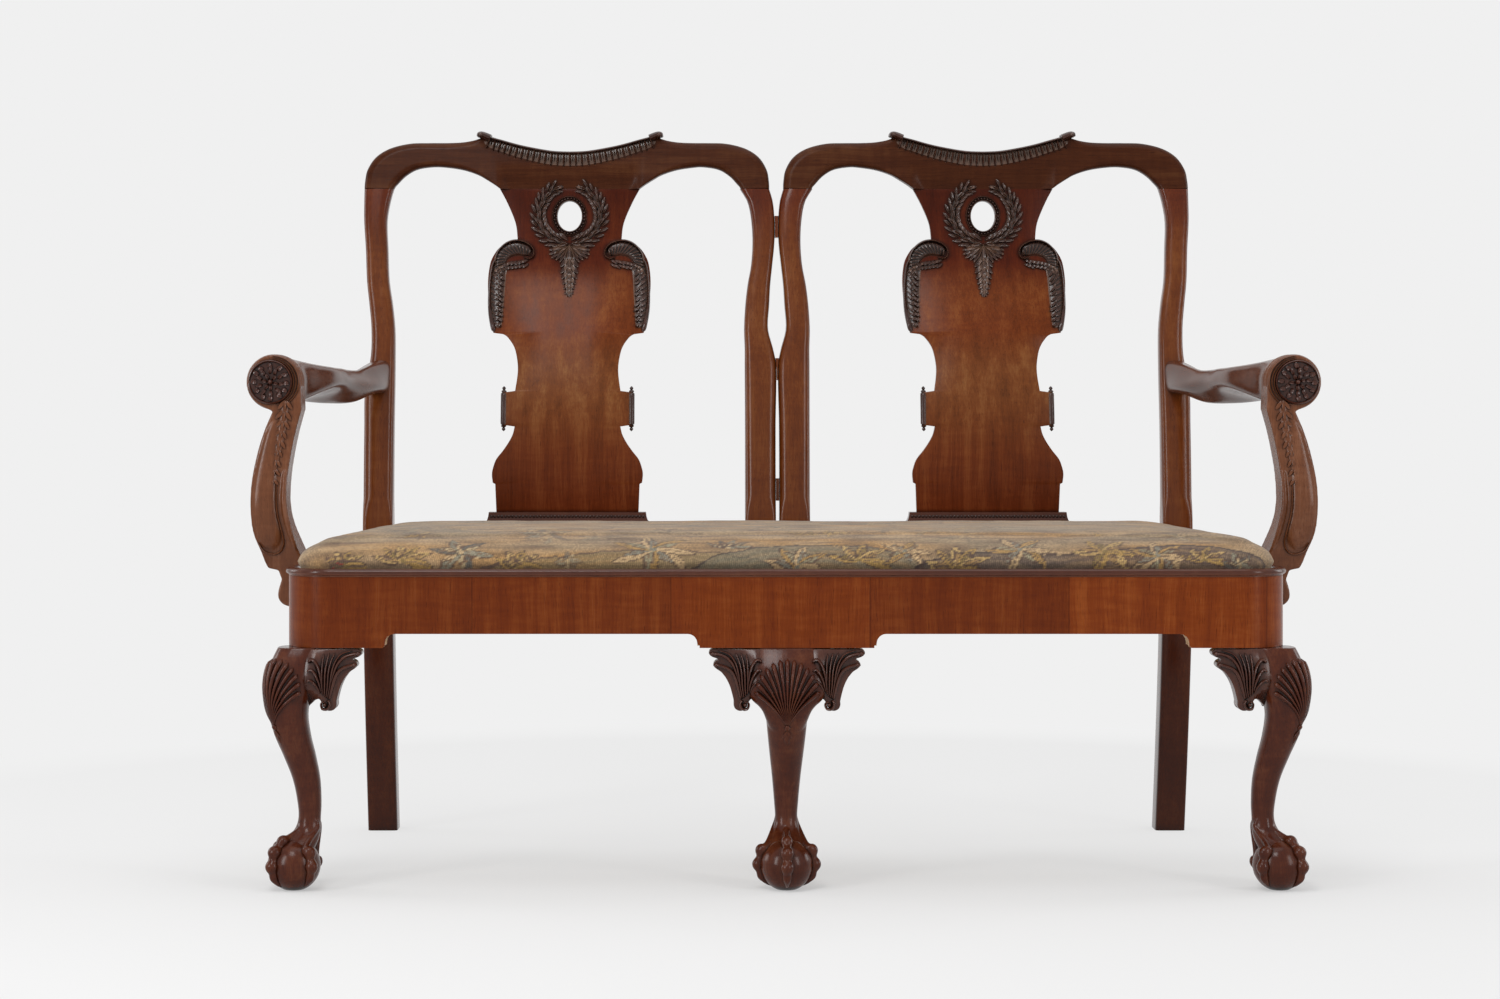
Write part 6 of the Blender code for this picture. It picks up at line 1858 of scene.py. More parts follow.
        def surface(x: float, z: float, height: float) -> Vector:
            turn = -math.pi / 4 + x / self.knee_half
            out = Vector((math.cos(turn), math.sin(turn), 0))
            centre = self.middle(min(z, self.height))
            start = Vector((centre.x, centre.y, min(z, self.height * 0.995)))
            if broad:
                out = Vector((1, -1, 0)) / math.sqrt(2)
                start += Vector((1, 1, 0)) / math.sqrt(2) * x
            hit = tree.ray_cast(start + out * self.knee_half * 4, -out)[0] or start + out * self.knee_half
            return hit + out * (height - 0.0003)

        apex = Vector((0, 0.2145))
        parts = []
        for i in range(-6, 7):
            lean = math.radians(i * 6.0)
            length = 0.0890 - 0.0260 * (abs(i) / 6) ** 2.0
            bend = 0.12 * math.copysign((abs(i) / 6) ** 2, i)
            line = []
            for j in range(8):
                t = j / 7
                a = lean * (0.75 + 0.25 * t) + bend * t
                line.append(apex + Vector((math.sin(a), math.cos(a))) * length * t)
            parts.append(ridge(line, (0.0005, 0.0020, 0.0037), (0.0020, 0.0042, 0.0060), 22, 10, 0.05))
        for turn, size in ((-90, 0.022), (-66, 0.014), (-114, 0.014)):
            parts.append(placed(leaf(size, size * 0.2, 0.0030, 1.2), (0, apex.y - 0.004), turn))
        parts.append(bead((0, apex.y - 0.001), 0.0042, 0.0042))
        return [laid(part, surface) for part in parts]

    def build_leg(self, side: int, word: str) -> None:
        """Carve one leg.

        Args:
            side: -1 for the left, 0 for the centre, 1 for the right.
            word: Its name.
        """
        shaft = self.shaft() if side else merge([self.shaft(), self.web()])
        relief = self.shell(shaft, side == 0)
        toes = [self.toe(-45, 0), self.toe(45, 2), self.toe(-135, 2), self.toe(135, 4)]
        clay = remeshed(merge([shaft] + toes), self.voxel, 1)
        ball = bmesh.new()
        bmesh.ops.create_uvsphere(ball, u_segments=48, v_segments=32, radius=self.ball)
        bmesh.ops.translate(ball, vec=self.hub(), verts=ball.verts)
        whole = merge([clay, ball] + relief)
        for vert in whole.verts:
            vert.co.z = max(vert.co.z, 0.0)
        whole.transform(self.stand(side))
        if side:
            inner = Vector((LINES.rail_width / 2 - LINES.corner_radius, LINES.corner_back))
            outline = LINES.front_end(self.stile_inset, 12) + [inner]
            low = self.height - 0.002
            stile = sheet((side * p.x, p.y, low) for p in outline)
            thicken(stile, (0, 0, LINES.seat_ledge - LINES.fit - low))
            whole = merge([whole, stile])
        publish("leg_" + word, whole, LEG_WOOD, ("front_leg_" + word,), sharp=60)


@dataclass
class KneeBrackets:
    """Brackets beside the knees, carved with curling leaves and a scroll."""

    span: float = 0.0605
    drop: float = 0.081
    thickness: float = 0.026
    seam: float = 0.041
    lap: float = 0.022
    lap_fall: float = 0.007
    bulge: float = 0.0148
    shoulder: float = 0.036
    top: float = 0.3155
    voxel: float = 0.0011
    outline_rows: Table = (
        (0.90, 0.0), (0.985, 0.035), (1.0, 0.085), (0.93, 0.135), (0.80, 0.17), (0.88, 0.215), (0.905, 0.275),
        (0.84, 0.325), (0.74, 0.375), (0.64, 0.465), (0.56, 0.58), (0.505, 0.71), (0.465, 0.84))

    def build(self) -> None:
        """Make all six brackets."""
        flip = Matrix.Diagonal((-1, 1, 1, 1))
        front = Matrix.Translation((LINES.rail_width / 2, LINES.veneer, 0)) @ flip
        lean = Matrix.Rotation(math.pi / 2 + LINES.side_turn(), 4, "Z")
        along_side = Matrix.Translation((LINES.side_x(LINES.veneer, 0), 0, 0)) @ lean
        for side, word in both_sides():
            for name, matrix in (("centre", Matrix.Translation((0, LINES.veneer, 0))), ("front", front),
                                 ("side", along_side)):
                bm = self.carve()
                bm.transform(flip @ matrix if side < 0 else matrix)
                label = name + "_" + word
                publish("bracket_" + label, bm, BRACKET_WOOD, ("knee_bracket_" + label,), sharp=60)

    def surface(self, x: float, z: float, height: float) -> Vector:
        """Give a point over the bracket's face, which swells towards the knee and sinks into it."""
        share = clip(x / self.span)
        down = clip(-z / self.shoulder)
        proud = self.bulge * (1 - share) ** 2 * (0.12 + 0.88 * down * (2 - down))
        sunk = self.lap_fall * (min(x, 0) / self.lap) ** 2
        # Under the arch, next to the knee, the face rolls back to meet the leg
        low = clip((-z - 0.045) / 0.033)
        rolled = clip((0.010 - x) / 0.012) * eased(low)
        return Vector((self.seam + x, sunk - proud * (1 - rolled) + 0.012 * rolled - height, self.top + z))

    def carve(self) -> Mesh:
        """Carve one bracket along +X."""
        edge = smooth_run([(s * self.span, -d * self.drop) for s, d in self.outline_rows], 4)
        volute = Vector((0.33 * self.span, -0.89 * self.drop))
        curl = [volute + p * 0.0085 for p in arc((1, -1), fan(0, 180, 12))]
        notch = Vector((0.10 * self.span, -0.80 * self.drop))
        arch = smooth_run([notch, Vector((0.0, -0.83 * self.drop)), Vector((-0.009, -0.93 * self.drop))], 4)
        outline = edge + curl + arch + [Vector((-self.lap, arch[-1].y)), Vector((-self.lap, 0))]
        board = sheet((p.x, p.y, 0) for p in outline)
        divide(board, 0, (step * self.span / 14 for step in range(-5, 14)))
        divide(board, 1, (-step * self.drop / 14 for step in range(1, 14)))
        rear = thicken(board, (0, 0, 0))
        laid(board, self.surface)
        for vert in rear:
            vert.co.y = self.thickness
        return merge([remeshed(board, self.voxel, 2)] + [laid(part, self.surface) for part in self.leaves()])

    def leaves(self) -> list[Mesh]:
        """Draw the long leaf ribs, the curling tips and the scroll, in millimetres from the seam."""
        ribs = (
            (((19, -66), (22, -52), (26, -38), (32, -28), (42, -23), (49, -21.5), (53, -21.5)), (2.0, 3.2, 2.6),
             (3.5, 5.4, 5.0)),
            (((21, -46), (25, -31), (30, -19), (38, -11), (48, -7.5), (57, -7)), (1.6, 3.0, 2.6), (3.5, 5.4, 5.0)),
            (((17, -65), (20, -48), (22, -32), (26, -18), (33, -8), (42, -4), (49, -2.5)), (1.6, 2.3, 1.4),
             (3.2, 5.2, 3.6)),
            (((15, -64), (17, -48), (18, -32), (21, -17), (26, -5)), (1.5, 2.2, 1.6), (3.0, 5.2, 3.6)),
            (((13, -62), (13.5, -47), (14, -32), (16, -17), (19, -5)), (1.5, 2.2, 1.6), (3.0, 5.2, 3.6)),
            (((11, -60), (10, -46), (10, -33), (10.5, -20), (12, -6)), (1.3, 2.0, 1.5), (2.8, 4.8, 3.4)),
            (((10, -54), (8.5, -38), (5.5, -24), (0, -15), (-5.5, -14), (-8, -18)), (1.2, 2.5, 2.6), (2.6, 5.4, 5.0)),
            (((9, -56), (6, -43), (1.5, -32), (-4, -26.5), (-9, -29)), (1.2, 2.5, 2.5), (2.6, 5.2, 4.8)),
            (((8, -58), (4, -49), (-1.5, -42), (-7, -40), (-10, -43)), (1.2, 2.2, 2.2), (2.4, 4.6, 4.2)),
            (((17, -66), (20, -71), (17, -77.5), (11, -77.5), (8.5, -72.5), (11, -68.5), (14.5, -70)),
             (2.6, 2.4, 1.4), (4.5, 5.0, 4.5)))
        made = []
        for line, wide, high in ribs:
            path = smooth_run([(x / 1000, z / 1000) for x, z in line], 5)
            made.append(ridge(path, [w * 0.85 / 1000 for w in wide], [h * 1.1 / 1000 for h in high], 30, 10, 0.08))
        made.append(bead((0.0135, -0.0725), 0.0032, 0.0050))
        for tip in ((0.0520, -0.0070), (0.0470, -0.0215)):
            made.append(placed(leaf(0.008, 0.0034, 0.0066, 0.8, 0.2, 0.001), tip, 0))
        return made


@dataclass
class Arms:
    """Arms that end in carved scrolls, on S-shaped supports.

    Attributes:
        outer: Shares of the rise to the scroll's centre and of the reach to it, up the
            support's outer edge, and then the same for its inner edge.
        run: From the scroll back to the post: shares of the run, the sideways travel, the
            half width, the half height and the level, and the twist in degrees.
    """

    across: float = 0.6867
    floor: float = 0.662
    radius: float = 0.0363
    front: float = 0.150
    depth: float = 0.048
    tail: float = 0.050
    bow: float = 0.013
    half_width: float = 0.043
    half_height: float = 0.033
    rise_at_post: float = 0.008
    dip: float = 0.006
    flower: float = 0.0285
    flower_shift: float = 0.0045
    voxel: float = 0.0014
    outer: Table = (
        (0.0, 0.86), (0.006, 1.0), (0.02, 1.20), (0.10, 1.38), (0.20, 1.60), (0.32, 1.68), (0.47, 1.66), (0.62, 1.50),
        (0.74, 1.29), (0.845, 1.03))
    inner: Table = ((0.855, 0.12), (0.74, 0.30), (0.62, 0.44), (0.47, 0.56), (0.35, 0.59), (0.25, 0.50),
                    (0.15, 0.30), (0.06, 0.10), (0.0, 0.02))
    bows: Table = ((0.0, 0.0), (0.35, -1.0), (0.7, -0.35), (1.0, 0.0), (1.3, 0.0))
    run: Table = (
        (0.0, 0.0, 0.80, 1.04, 0.0, 0), (0.06, 0.02, 0.83, 1.0, 0.0, 0), (0.16, 0.10, 0.98, 0.80, 0.1, -4),
        (0.28, 0.22, 1.04, 0.60, 0.0, -10), (0.42, 0.36, 0.92, 0.50, -0.5, -18), (0.56, 0.55, 0.66, 0.52, -1.0, -30),
        (0.70, 0.74, 0.50, 0.56, -1.0, -40), (0.84, 0.88, 0.42, 0.62, 0.2, -24), (1.0, 1.0, 0.38, 0.72, 1.0, 0))

    def build(self) -> None:
        """Make both arms with their supports."""
        for side, word in both_sides():
            self.build_support(side, word)
            self.build_arm(side, word)
            self.build_rosette(side, word)

    def base(self) -> float:
        """Give the distance to the face that a support is screwed to."""
        return LINES.side_x(0, self.front) + LINES.fit

    def face(self, z: float) -> float:
        """Give the depth of the support's front face at a height."""
        share = (z - LINES.lip_floor) / (self.floor - LINES.lip_floor)
        return self.front - self.bow * max(-curve_value(self.bows, share), 0)

    def surface(self, side: int) -> Surface:
        """Give the front face of a support, for laying relief on."""
        def place(x: float, z: float, height: float) -> Vector:
            return Vector((side * x, self.face(z) - height, z))
        return place

    def outline(self) -> list[Vector]:
        """Trace the right-hand support in front view."""
        base, rise = self.base(), self.floor - LINES.lip_floor
        reach = self.across - base
        outer = smooth_run([(base + reach * out, LINES.lip_floor + rise * up) for up, out in self.outer], 6)
        inner = smooth_run([(base + reach * out, LINES.lip_floor + rise * up) for up, out in self.inner], 6)
        scroll = arc((self.radius, self.radius), fan(-62, 186, 44), (self.across, self.floor))
        low = LINES.lip_floor - self.tail
        wide = reach * 0.82
        foot = smooth_run([(base, low + 0.001), (base + wide * 0.4, low), (base + wide * 0.85, low + 0.004),
                           (base + wide * 1.05, low + 0.013), (base + wide * 1.04, low + 0.024),
                           (base + wide * 0.92, low + 0.038)], 3)
        return foot + outer + scroll + inner

    def build_support(self, side: int, word: str) -> None:
        """Carve a support with its raised panel, its beads and the drum of the scroll.

        Args:
            side: Which arm.
            word: Its name.
        """
        rise = self.floor - LINES.lip_floor
        board = sheet((side * p.x, self.front, p.y) for p in self.outline())
        divide(board, 2, (LINES.lip_floor + rise * i / 24 for i in range(-3, 25)))
        thicken(board, (0, self.depth, 0))
        for vert in board.verts:
            vert.co.y += self.face(vert.co.z) - self.front
        lay = self.surface(side)
        panel = smooth_run([(0.6830, 0.612), (0.6905, 0.575), (0.6965, 0.53), (0.6970, 0.49), (0.6905, 0.455),
                            (0.6875, 0.437)], 5)
        rim = smooth_run([(0.6815, 0.53), (0.6800, 0.49), (0.6735, 0.46), (0.6715, 0.445), (0.6765, 0.434),
                          (0.6865, 0.4305), (0.6985, 0.435), (0.7060, 0.447)], 5)
        inner = smooth_run([(0.6700, 0.545), (0.6705, 0.50), (0.6640, 0.465), (0.6550, 0.435)], 5)
        clay = [board, laid(ridge(panel, (0.007, 0.0148, 0.0165), (0.0022, 0.0048, 0.0052), 40, 16, 0.14), lay),
                laid(ridge(inner, (0.0030, 0.0040, 0.0030), (0.0022, 0.0040, 0.0030), 30, 10, 0.1), lay)]
        clay += [self.drum_ring(side, share) for share in (0.14, 0.30, 0.46, 0.62)]
        whole = remeshed(merge(clay), self.voxel, 2)
        relief = [laid(ridge(rim, (0.0011, 0.0014, 0.0011), (0.0026, 0.0030, 0.0024), 44, 8), lay)]
        for k in range(3):
            shift, reach = self.flower_shift * (1 - (k + 1) / 4), self.flower * (1.07 + 0.08 * k)
            line = arc((reach, reach), fan(88, 260, 20), (self.across + shift, self.floor))
            relief.append(laid(ridge(line, (0.0005, 0.0012, 0.0005), (0.0012, 0.0028, 0.0012), 32, 8), lay))
        relief += [laid(part, lay) for part in self.spray()]
        whole = merge([whole] + relief)
        for vert in whole.verts:
            fitted = 1 - clip((vert.co.z - LINES.lip_floor - LINES.lip_height) / rise * 2)
            vert.co.x += side * fitted * (LINES.side_x(0, vert.co.y) - LINES.side_x(0, self.front))
        publish("arm_upright_" + word, whole, SUPPORT_WOOD, ("arm_support_" + word,), sharp=60)

    def drum_ring(self, side: int, share: float) -> Mesh:
        """Turn a bead round the drum of the scroll.

        Args:
            side: Which arm.
            share: Where it lies along the drum.

        Returns:
            The ring.
        """
        thick = 0.0019

        def place(u: float, v: float) -> Vector:
            a, t = math.tau * v, math.tau * u
            reach = self.radius - 0.0004 + thick * math.cos(t)
            return Vector((side * self.across + reach * math.cos(a), self.front + self.depth * share
                           + thick * 1.3 * math.sin(t), self.floor + reach * math.sin(a)))

        return skin(place, 8, 48)

    def spray(self) -> list[Mesh]:
        """Carve the spray of leaves that runs down from the neck of the scroll."""
        chance = random.Random(41)
        path = smooth_run([(0.6705, 0.638), (0.6735, 0.610), (0.6790, 0.578), (0.6840, 0.548), (0.6865, 0.520)], 6)
        parts = [ridge(path, (0.0055, 0.0060, 0.0012), (0.0020, 0.0026, 0.0020), 30, 10, 0.1)]
        for i in range(9):
            point, step = along(path, i / 9)
            turn = heading(step)
            size = (0.0170 - 0.0055 * i / 9) * chance.uniform(0.92, 1.1)
            for lean in (-38, 36):
                parts.append(placed(leaf(size, size * 0.2, 0.0042, 1.1, 0.4, 0.001), point,
                                    turn + lean + chance.uniform(-5, 5)))
            parts.append(placed(leaf(size, size * 0.17, 0.0054, 1.2, 0.4, 0.001), point, turn))
        return parts

    def build_rosette(self, side: int, word: str) -> None:
        """Carve the flower on the face of the scroll.

        Args:
            side: Which arm.
            word: Its name.
        """
        chance = random.Random(59 + side)
        ring = [p * self.flower for p in arc((1, 1), fan(0, 360, 64))]
        parts = [ridge(ring, [0.0017] * 3, [0.0040] * 3, 64, 8), bead((0, 0), self.flower, 0.0012, 40),
                 bead((0, 0), 0.0040, 0.0078, 14)]
        for count, start, length, half, high, shift in ((12, 0.60, 0.38, 0.0042, 0.0060, 0.0),
                                                        (10, 0.36, 0.42, 0.0032, 0.0074, 0.4),
                                                        (6, 0.12, 0.34, 0.0032, 0.0082, 0.2)):
            for i in range(count):
                a = math.tau * (i + shift) / count
                at = Vector((math.cos(a), math.sin(a))) * start * self.flower
                turn = math.degrees(a) + chance.uniform(-26, 26)
                parts.append(placed(leaf(length * self.flower * chance.uniform(0.85, 1.1), half, high, 0.75, 0.5,
                                         0.0014), at, turn))
        lay = self.surface(side)
        middle = self.across + self.flower_shift
        whole = laid(merge(parts), lambda x, z, height: lay(middle + x, self.floor + z, height))
        publish("arm_rosette_" + word, whole, BRACKET_WOOD)

    def build_arm(self, side: int, word: str) -> None:
        """Shape an arm from the back of its scroll to the post.

        Args:
            side: Which arm.
            word: Its name.
        """
        start = self.front + self.depth - 0.003
        end = LINES.back_line(self.floor) - LINES.post_top_depth / 3
        post = LINES.rear_width / 2 - LINES.post_width / 2

        def place(u: float, v: float) -> Vector:
            travel, wide, high, level, twist = (curve_value(self.run, v, k) for k in range(1, 6))
            x = self.across + (post - self.across) * travel
            z = self.floor + (self.rise_at_post if level > 0 else self.dip) * level
            squareness = 2.3 + 1.3 * min(v * 2.2, 1)
            point = ring_point(u, self.half_width * wide, self.half_height * high, squareness)
            a = math.radians(twist)
            turned = Vector((point.x * math.cos(a) - point.y * math.sin(a),
                             point.x * math.sin(a) + point.y * math.cos(a)))
            return Vector((side * (x + turned.x), start + (end - start) * v, z + turned.y))

        publish("arm_rest_" + word, skin(place, 48, 72), ARM_WOOD, ("arm_" + word,), sharp=60)


@dataclass(frozen=True)
class Needlework(Finish):
    """Wool tent stitch on canvas, worked in faded foliage.

    Attributes:
        stitch: Width of a stitch in metres.
        painted: The attribute that holds the worked colours.
        aged: The tone that age has given all of the wool.
    """

    name: str = "needlework_wool"
    stitch: float = 0.0019
    painted: str = "worked"
    aged: str = "#efdcc8"

    def paint(self, tree: Tree, place: Socket) -> dict[str, Any]:
        """Work the colours in stitches and give the shader's inputs.

        Args:
            tree: The material's tree.
            place: The object's own coordinates.

        Returns:
            A value or a socket for each input.
        """
        worked = add_node(tree, "Attribute", attribute_name=self.painted).outputs["Color"]
        # Each stitch is a short slanted bead of wool, drawn at 1.9 mm so that it shows
        slant = add_node(tree, "Mapping", {"Vector": place, "Rotation": (0.0, 0.0, math.radians(45)),
                                           "Scale": (1.0, 0.55, 1.0)}).outputs[0]
        cells = add_node(tree, "TexVoronoi", {"Vector": slant, "Scale": 1 / self.stitch, "Randomness": 0.35})
        tone = add_node(tree, "SeparateXYZ", {0: cells.outputs["Color"]}).outputs[0]
        wear = add_node(tree, "TexNoise", {"Vector": place, "Scale": 28.0, "Detail": 5.0, "Roughness": 0.7})
        rows = add_node(tree, "Mapping", {"Vector": place, "Scale": (60.0, 420.0, 420.0)}).outputs[0]
        streak = add_node(tree, "TexNoise", {"Vector": rows, "Scale": 1.0, "Detail": 2.0}).outputs["Fac"]
        value = remap(tree, tone, 0.0, 1.0, 0.80, 1.20)
        for other in (remap(tree, wear.outputs["Fac"], 0.3, 0.7, 0.86, 1.14),
                      remap(tree, streak, 0.3, 0.7, 0.90, 1.10),
                      remap(tree, cells.outputs["Distance"], 0.35, 0.75, 1.0, 0.62)):
            value = calculate(tree, "MULTIPLY", value, other)
        shaded = add_node(tree, "VectorMath", {0: worked, "Scale": value}, operation="SCALE").outputs[0]
        shaded = add_node(tree, "VectorMath", {0: shaded, 1: linear(self.aged)[:3]}, operation="MULTIPLY").outputs[0]
        height = calculate(tree, "SUBTRACT", 1.0, cells.outputs["Distance"])
        bump = add_node(tree, "Bump", {"Strength": 0.45, "Distance": 0.0007, "Height": height})
        return {"Base Color": shaded, "Normal": bump.outputs[0], "Roughness": 0.92, "Sheen Weight": 0.12,
                "Sheen Roughness": 0.6}


# Faded wool, matt and a little hairy
NEEDLEWORK = Needlework()


@dataclass(frozen=True)
class Motif:
    """A worked plant: leaves that spring from one point.

    Attributes:
        at: Its middle, across and back over the cloth, in metres.
        leaves: How many leaves it has.
        length: Length of its longest leaf.
        half: Half the width of a leaf, as a share of its length.
        turn: The direction of its first leaf in degrees.
        spread: How many degrees the leaves cover.
        tints: Hex colours that the leaves take in turn.
        strength: How strongly it shows over the ground.
    """

    at: tuple[float, float]
    leaves: int
    length: float
    half: float
    turn: float
    spread: float
    tints: tuple[str, ...]
    strength: float = 1.0

    def stitch(self, x: float, y: float) -> tuple[str, float] | None:
        """Give the wool at a place, or None where the ground shows.

        Args:
            x: Across the cloth.
            y: Back over the cloth.

        Returns:
            A hex colour and how strongly it shows.
        """
        dx, dy = x - self.at[0], y - self.at[1]
        away = math.hypot(dx, dy)
        if away > self.length:
            return None
        if away < self.length * 0.08:
            return self.tints[-1], self.strength
        bearing = math.degrees(math.atan2(dy, dx))
        step = self.spread / max(self.leaves - 1, 1)
        for i in range(self.leaves):
            long = self.length * (1.0 - 0.28 * (i % 2))
            lean = self.turn + i * step + 14 * (away / self.length) * (1 if i % 2 else -1)
            off = math.radians((bearing - lean + 180) % 360 - 180)
            if abs(off) > 1.2 or away > long:
                continue
            t = away * math.cos(off) / long
            side = abs(away * math.sin(off))
            width = self.half * long * math.sin(math.pi * clip(t) ** 0.85) ** 0.75
            if side < width:
                if width - side < 0.0017 and t > 0.15:
                    return "#54443f", self.strength * 0.85
                if side < 0.0008 and t < 0.8:
                    return "#6f5f52", self.strength * 0.7
                return self.tints[i % len(self.tints)], self.strength
        return None


@dataclass
class Cushion:
    """The lift-out seat: its needlework cover, its hair pad and its webbing.

    Attributes:
        crown_rows: Shares of the reach in from the edge and of the rise of the crown.
        cap: The most that the cloth simulation may move the cover.
        hollow: How far the cover's underside stands above the seat's frame.
        pad_gap: How far the pad stays inside the cover at its sides, its edge and its crown.
        hills: The line of each worked hill, and the colours of its face and its edge.
    """

    margin: float = 0.017
    frame_thickness: float = 0.020
    edge: float = 0.4258
    crown: float = 0.4640
    back: float = 0.4875
    reach: float = 0.150
    voxel: float = 0.006
    cap: float = 0.0025
    frames: int = 20
    belly: float = 0.0065
    rim: float = 0.0022
    hollow: float = 0.0065
    pad_gap: tuple[float, float, float] = (0.0035, 0.003, 0.004)
    crown_rows: Table = ((0.0, 0.0), (0.03, 0.26), (0.09, 0.48), (0.20, 0.68), (0.38, 0.85), (0.65, 0.96),
                         (1.0, 1.0))
    web_width: float = 0.055
    web_columns: int = 9
    web_rows: int = 3
    web_thick: float = 0.0009
    hills: tuple[tuple[Table, str, str], ...] = (
        (((-0.42, 0.0), (-0.30, 0.02), (-0.20, 0.035), (-0.10, 0.030), (0.0, 0.0)), "#857b60", "#5c4b47"),
        (((-0.13, 0.0), (-0.06, 0.035), (0.02, 0.052), (0.12, 0.040), (0.20, 0.0)), "#717369", "#4a3f41"),
        (((0.16, 0.0), (0.24, 0.030), (0.33, 0.022), (0.40, 0.030), (0.52, 0.052), (0.60, 0.03), (0.66, 0.0)),
         "#544b4c", "#382d31"))

    def build(self) -> None:
        """Make the cover, the pad under it and the webbing that carries them."""
        self.build_cover()
        self.build_pad()
        self.build_webbing()

    def plan(self, inset: float) -> list[Vector]:
        """Trace the seat in plan, set in by some amount.

        Args:
            inset: How far in from the rail's face.

        Returns:
            Its points, the same number for any inset.
        """
        radius = max(LINES.corner_radius - inset, LINES.corner_radius / 8)
        back = self.back - (inset - self.margin)
        centre = Vector((LINES.side_x(inset + radius, inset + radius), inset + radius))
        half = [centre + p * radius for p in arc((1, 1), fan(-90, math.degrees(LINES.side_turn()), 10))]
        rear = Vector((LINES.side_x(inset, back), back))
        near = 0.012
        rear_corner = [Vector((LINES.side_x(inset, back - near), back - near)), rear - Vector((near * 0.3, near * 0.3)),
                       rear - Vector((near, 0))]
        half += [half[-1].lerp(rear_corner[0], i / 18) for i in range(1, 18)] + rear_corner
        mirror = flipped(half)
        across = [mirror[-1].lerp(half[0], i / 60) for i in range(1, 60)]
        behind = [half[-1].lerp(mirror[0], i / 60) for i in range(1, 60)]
        return mirror + across + half + behind

    def form(self, inset: float, low: float, edge: float, crown: float) -> Mesh:
        """Loft the crowned form.

        Args:
            inset: How far its sides stand in from the rail's face.
            low: Height of its underside.
            edge: Height at which its sides turn over.
            crown: Height of its middle.

        Returns:
            The closed form.
        """
        shares = [0.0, 0.008, 0.02, 0.035, 0.055, 0.08, 0.11, 0.15, 0.20, 0.27, 0.35, 0.45, 0.6, 0.8, 1.0]
        levels = [(inset, low), (inset, (low + edge) / 2), (inset, edge - 0.0085),
                  (inset - self.belly * 0.8, edge - 0.0035), (inset - self.belly, edge)]
        levels += [(inset - self.belly + (self.reach + self.belly) * s,
                    edge + (crown - edge) * curve_value(self.crown_rows, s)) for s in shares[1:]]
        rings = [(self.plan(step), z) for step, z in levels]
        around, last = len(rings[0][0]), len(rings) - 1

        def place(u: float, v: float) -> Vector:
            outline, z = rings[round(v * last)]
            point = outline[round(u * around) % around]
            return Vector((point.x, point.y, z))

        return skin(place, around, last)

    def build_cover(self) -> None:
        """Swell the cover, settle it and work its pattern."""
        low = LINES.seat_ledge + LINES.fit
        bm = self.form(self.margin, low, self.edge, self.crown)
        bm = self.swell(bm)
        for vert in bm.verts:
            self.tuck(vert)
        bmesh.ops.subdivide_edges(bm, edges=bm.edges[:], cuts=1, use_grid_fill=True)
        relax(bm)
        for vert in bm.verts:
            if vert.co.z < low + self.frame_thickness / 2 and self.set_in(vert.co) > self.rim:
                vert.co.z = low + self.frame_thickness + self.hollow
        colours = self.work([vert.co.copy() for vert in bm.verts])
        piece = publish("seat_cushion", bm, NEEDLEWORK, ("seat_cover",), Body.SEAT, sharp=80)
        layer = piece.data.color_attributes.new(NEEDLEWORK.painted, "FLOAT_COLOR", "POINT")
        layer.data.foreach_set("color", [channel for colour in colours for channel in colour])

    def set_in(self, co: Vector) -> float:
        """Tell how far a point lies inside the seat's edge, in plan."""
        radius = LINES.corner_radius - self.margin
        across, ahead = LINES.side_x(self.margin, co.y) - abs(co.x), co.y - self.margin
        if across < radius and ahead < radius:
            return radius - math.hypot(radius - across, radius - ahead)
        return min(across, ahead, self.back - co.y)

    def tuck(self, vert: bmesh.types.BMVert) -> None:
        """Pull the cover in a little where the wool is drawn down between its tacks."""
        co = vert.co
        if co.z > self.edge + 0.012:
            lump = noise.noise(Vector((co.x * 9, co.y * 9, 2.0))) + 0.5 * noise.noise(co * 31)
            co.z += 0.0011 * lump
            return
        if co.z > LINES.seat_ledge + 0.01:
            pull = 0.0008 * (0.5 + 0.5 * math.sin(co.x * 140 + 2 * noise.noise(co * 12)))
            co.y += pull if co.y < self.back / 2 else -pull

    def swell(self, bm: Mesh) -> Mesh:
        """Let the pad push the cover out from inside, as a cloth simulation.

        Args:
            bm: The form before it swells, freed afterwards.

        Returns:
            The settled form.
        """
        bm = remeshed(bm, self.voxel, 1)
        start = [vert.co.copy() for vert in bm.verts]
        mesh = bpy.data.meshes.new("cloth")
        bm.to_mesh(mesh)
        cloth = shown("cloth", mesh)
        held = cloth.vertex_groups.new(name="tacked")
        for i, co in enumerate(start):
            if co.z < self.edge - 0.004:
                held.add([i], 1.0, "REPLACE")
        modifier = cloth.modifiers.new("cloth", "CLOTH")
        for name, value in (("vertex_group_mass", held.name), ("use_pressure", True),
                            ("uniform_pressure_force", 4.0), ("quality", 4), ("mass", 0.4),
                            ("tension_stiffness", 12.0), ("compression_stiffness", 12.0),
                            ("bending_stiffness", 2.0)):
            setattr(modifier.settings, name, value)
        modifier.settings.effector_weights.gravity = 0.0
        modifier.point_cache.frame_start, modifier.point_cache.frame_end = 1, self.frames
        for step in range(1, self.frames + 1):
            bpy.context.scene.frame_set(step)
        shaped = cloth.evaluated_get(bpy.context.evaluated_depsgraph_get()).to_mesh()
        bm.verts.ensure_lookup_table()
        bm.normal_update()
        normals = [vert.normal.copy() for vert in bm.verts]
        for i, settled in enumerate(shaped.vertices):
            out = (Vector(settled.co) - start[i]).dot(normals[i])
            bm.verts[i].co = start[i] + normals[i] * clip(out, 0.0, self.cap)
        bpy.context.scene.frame_set(1)
        bpy.data.objects.remove(cloth, do_unlink=True)
        return bm

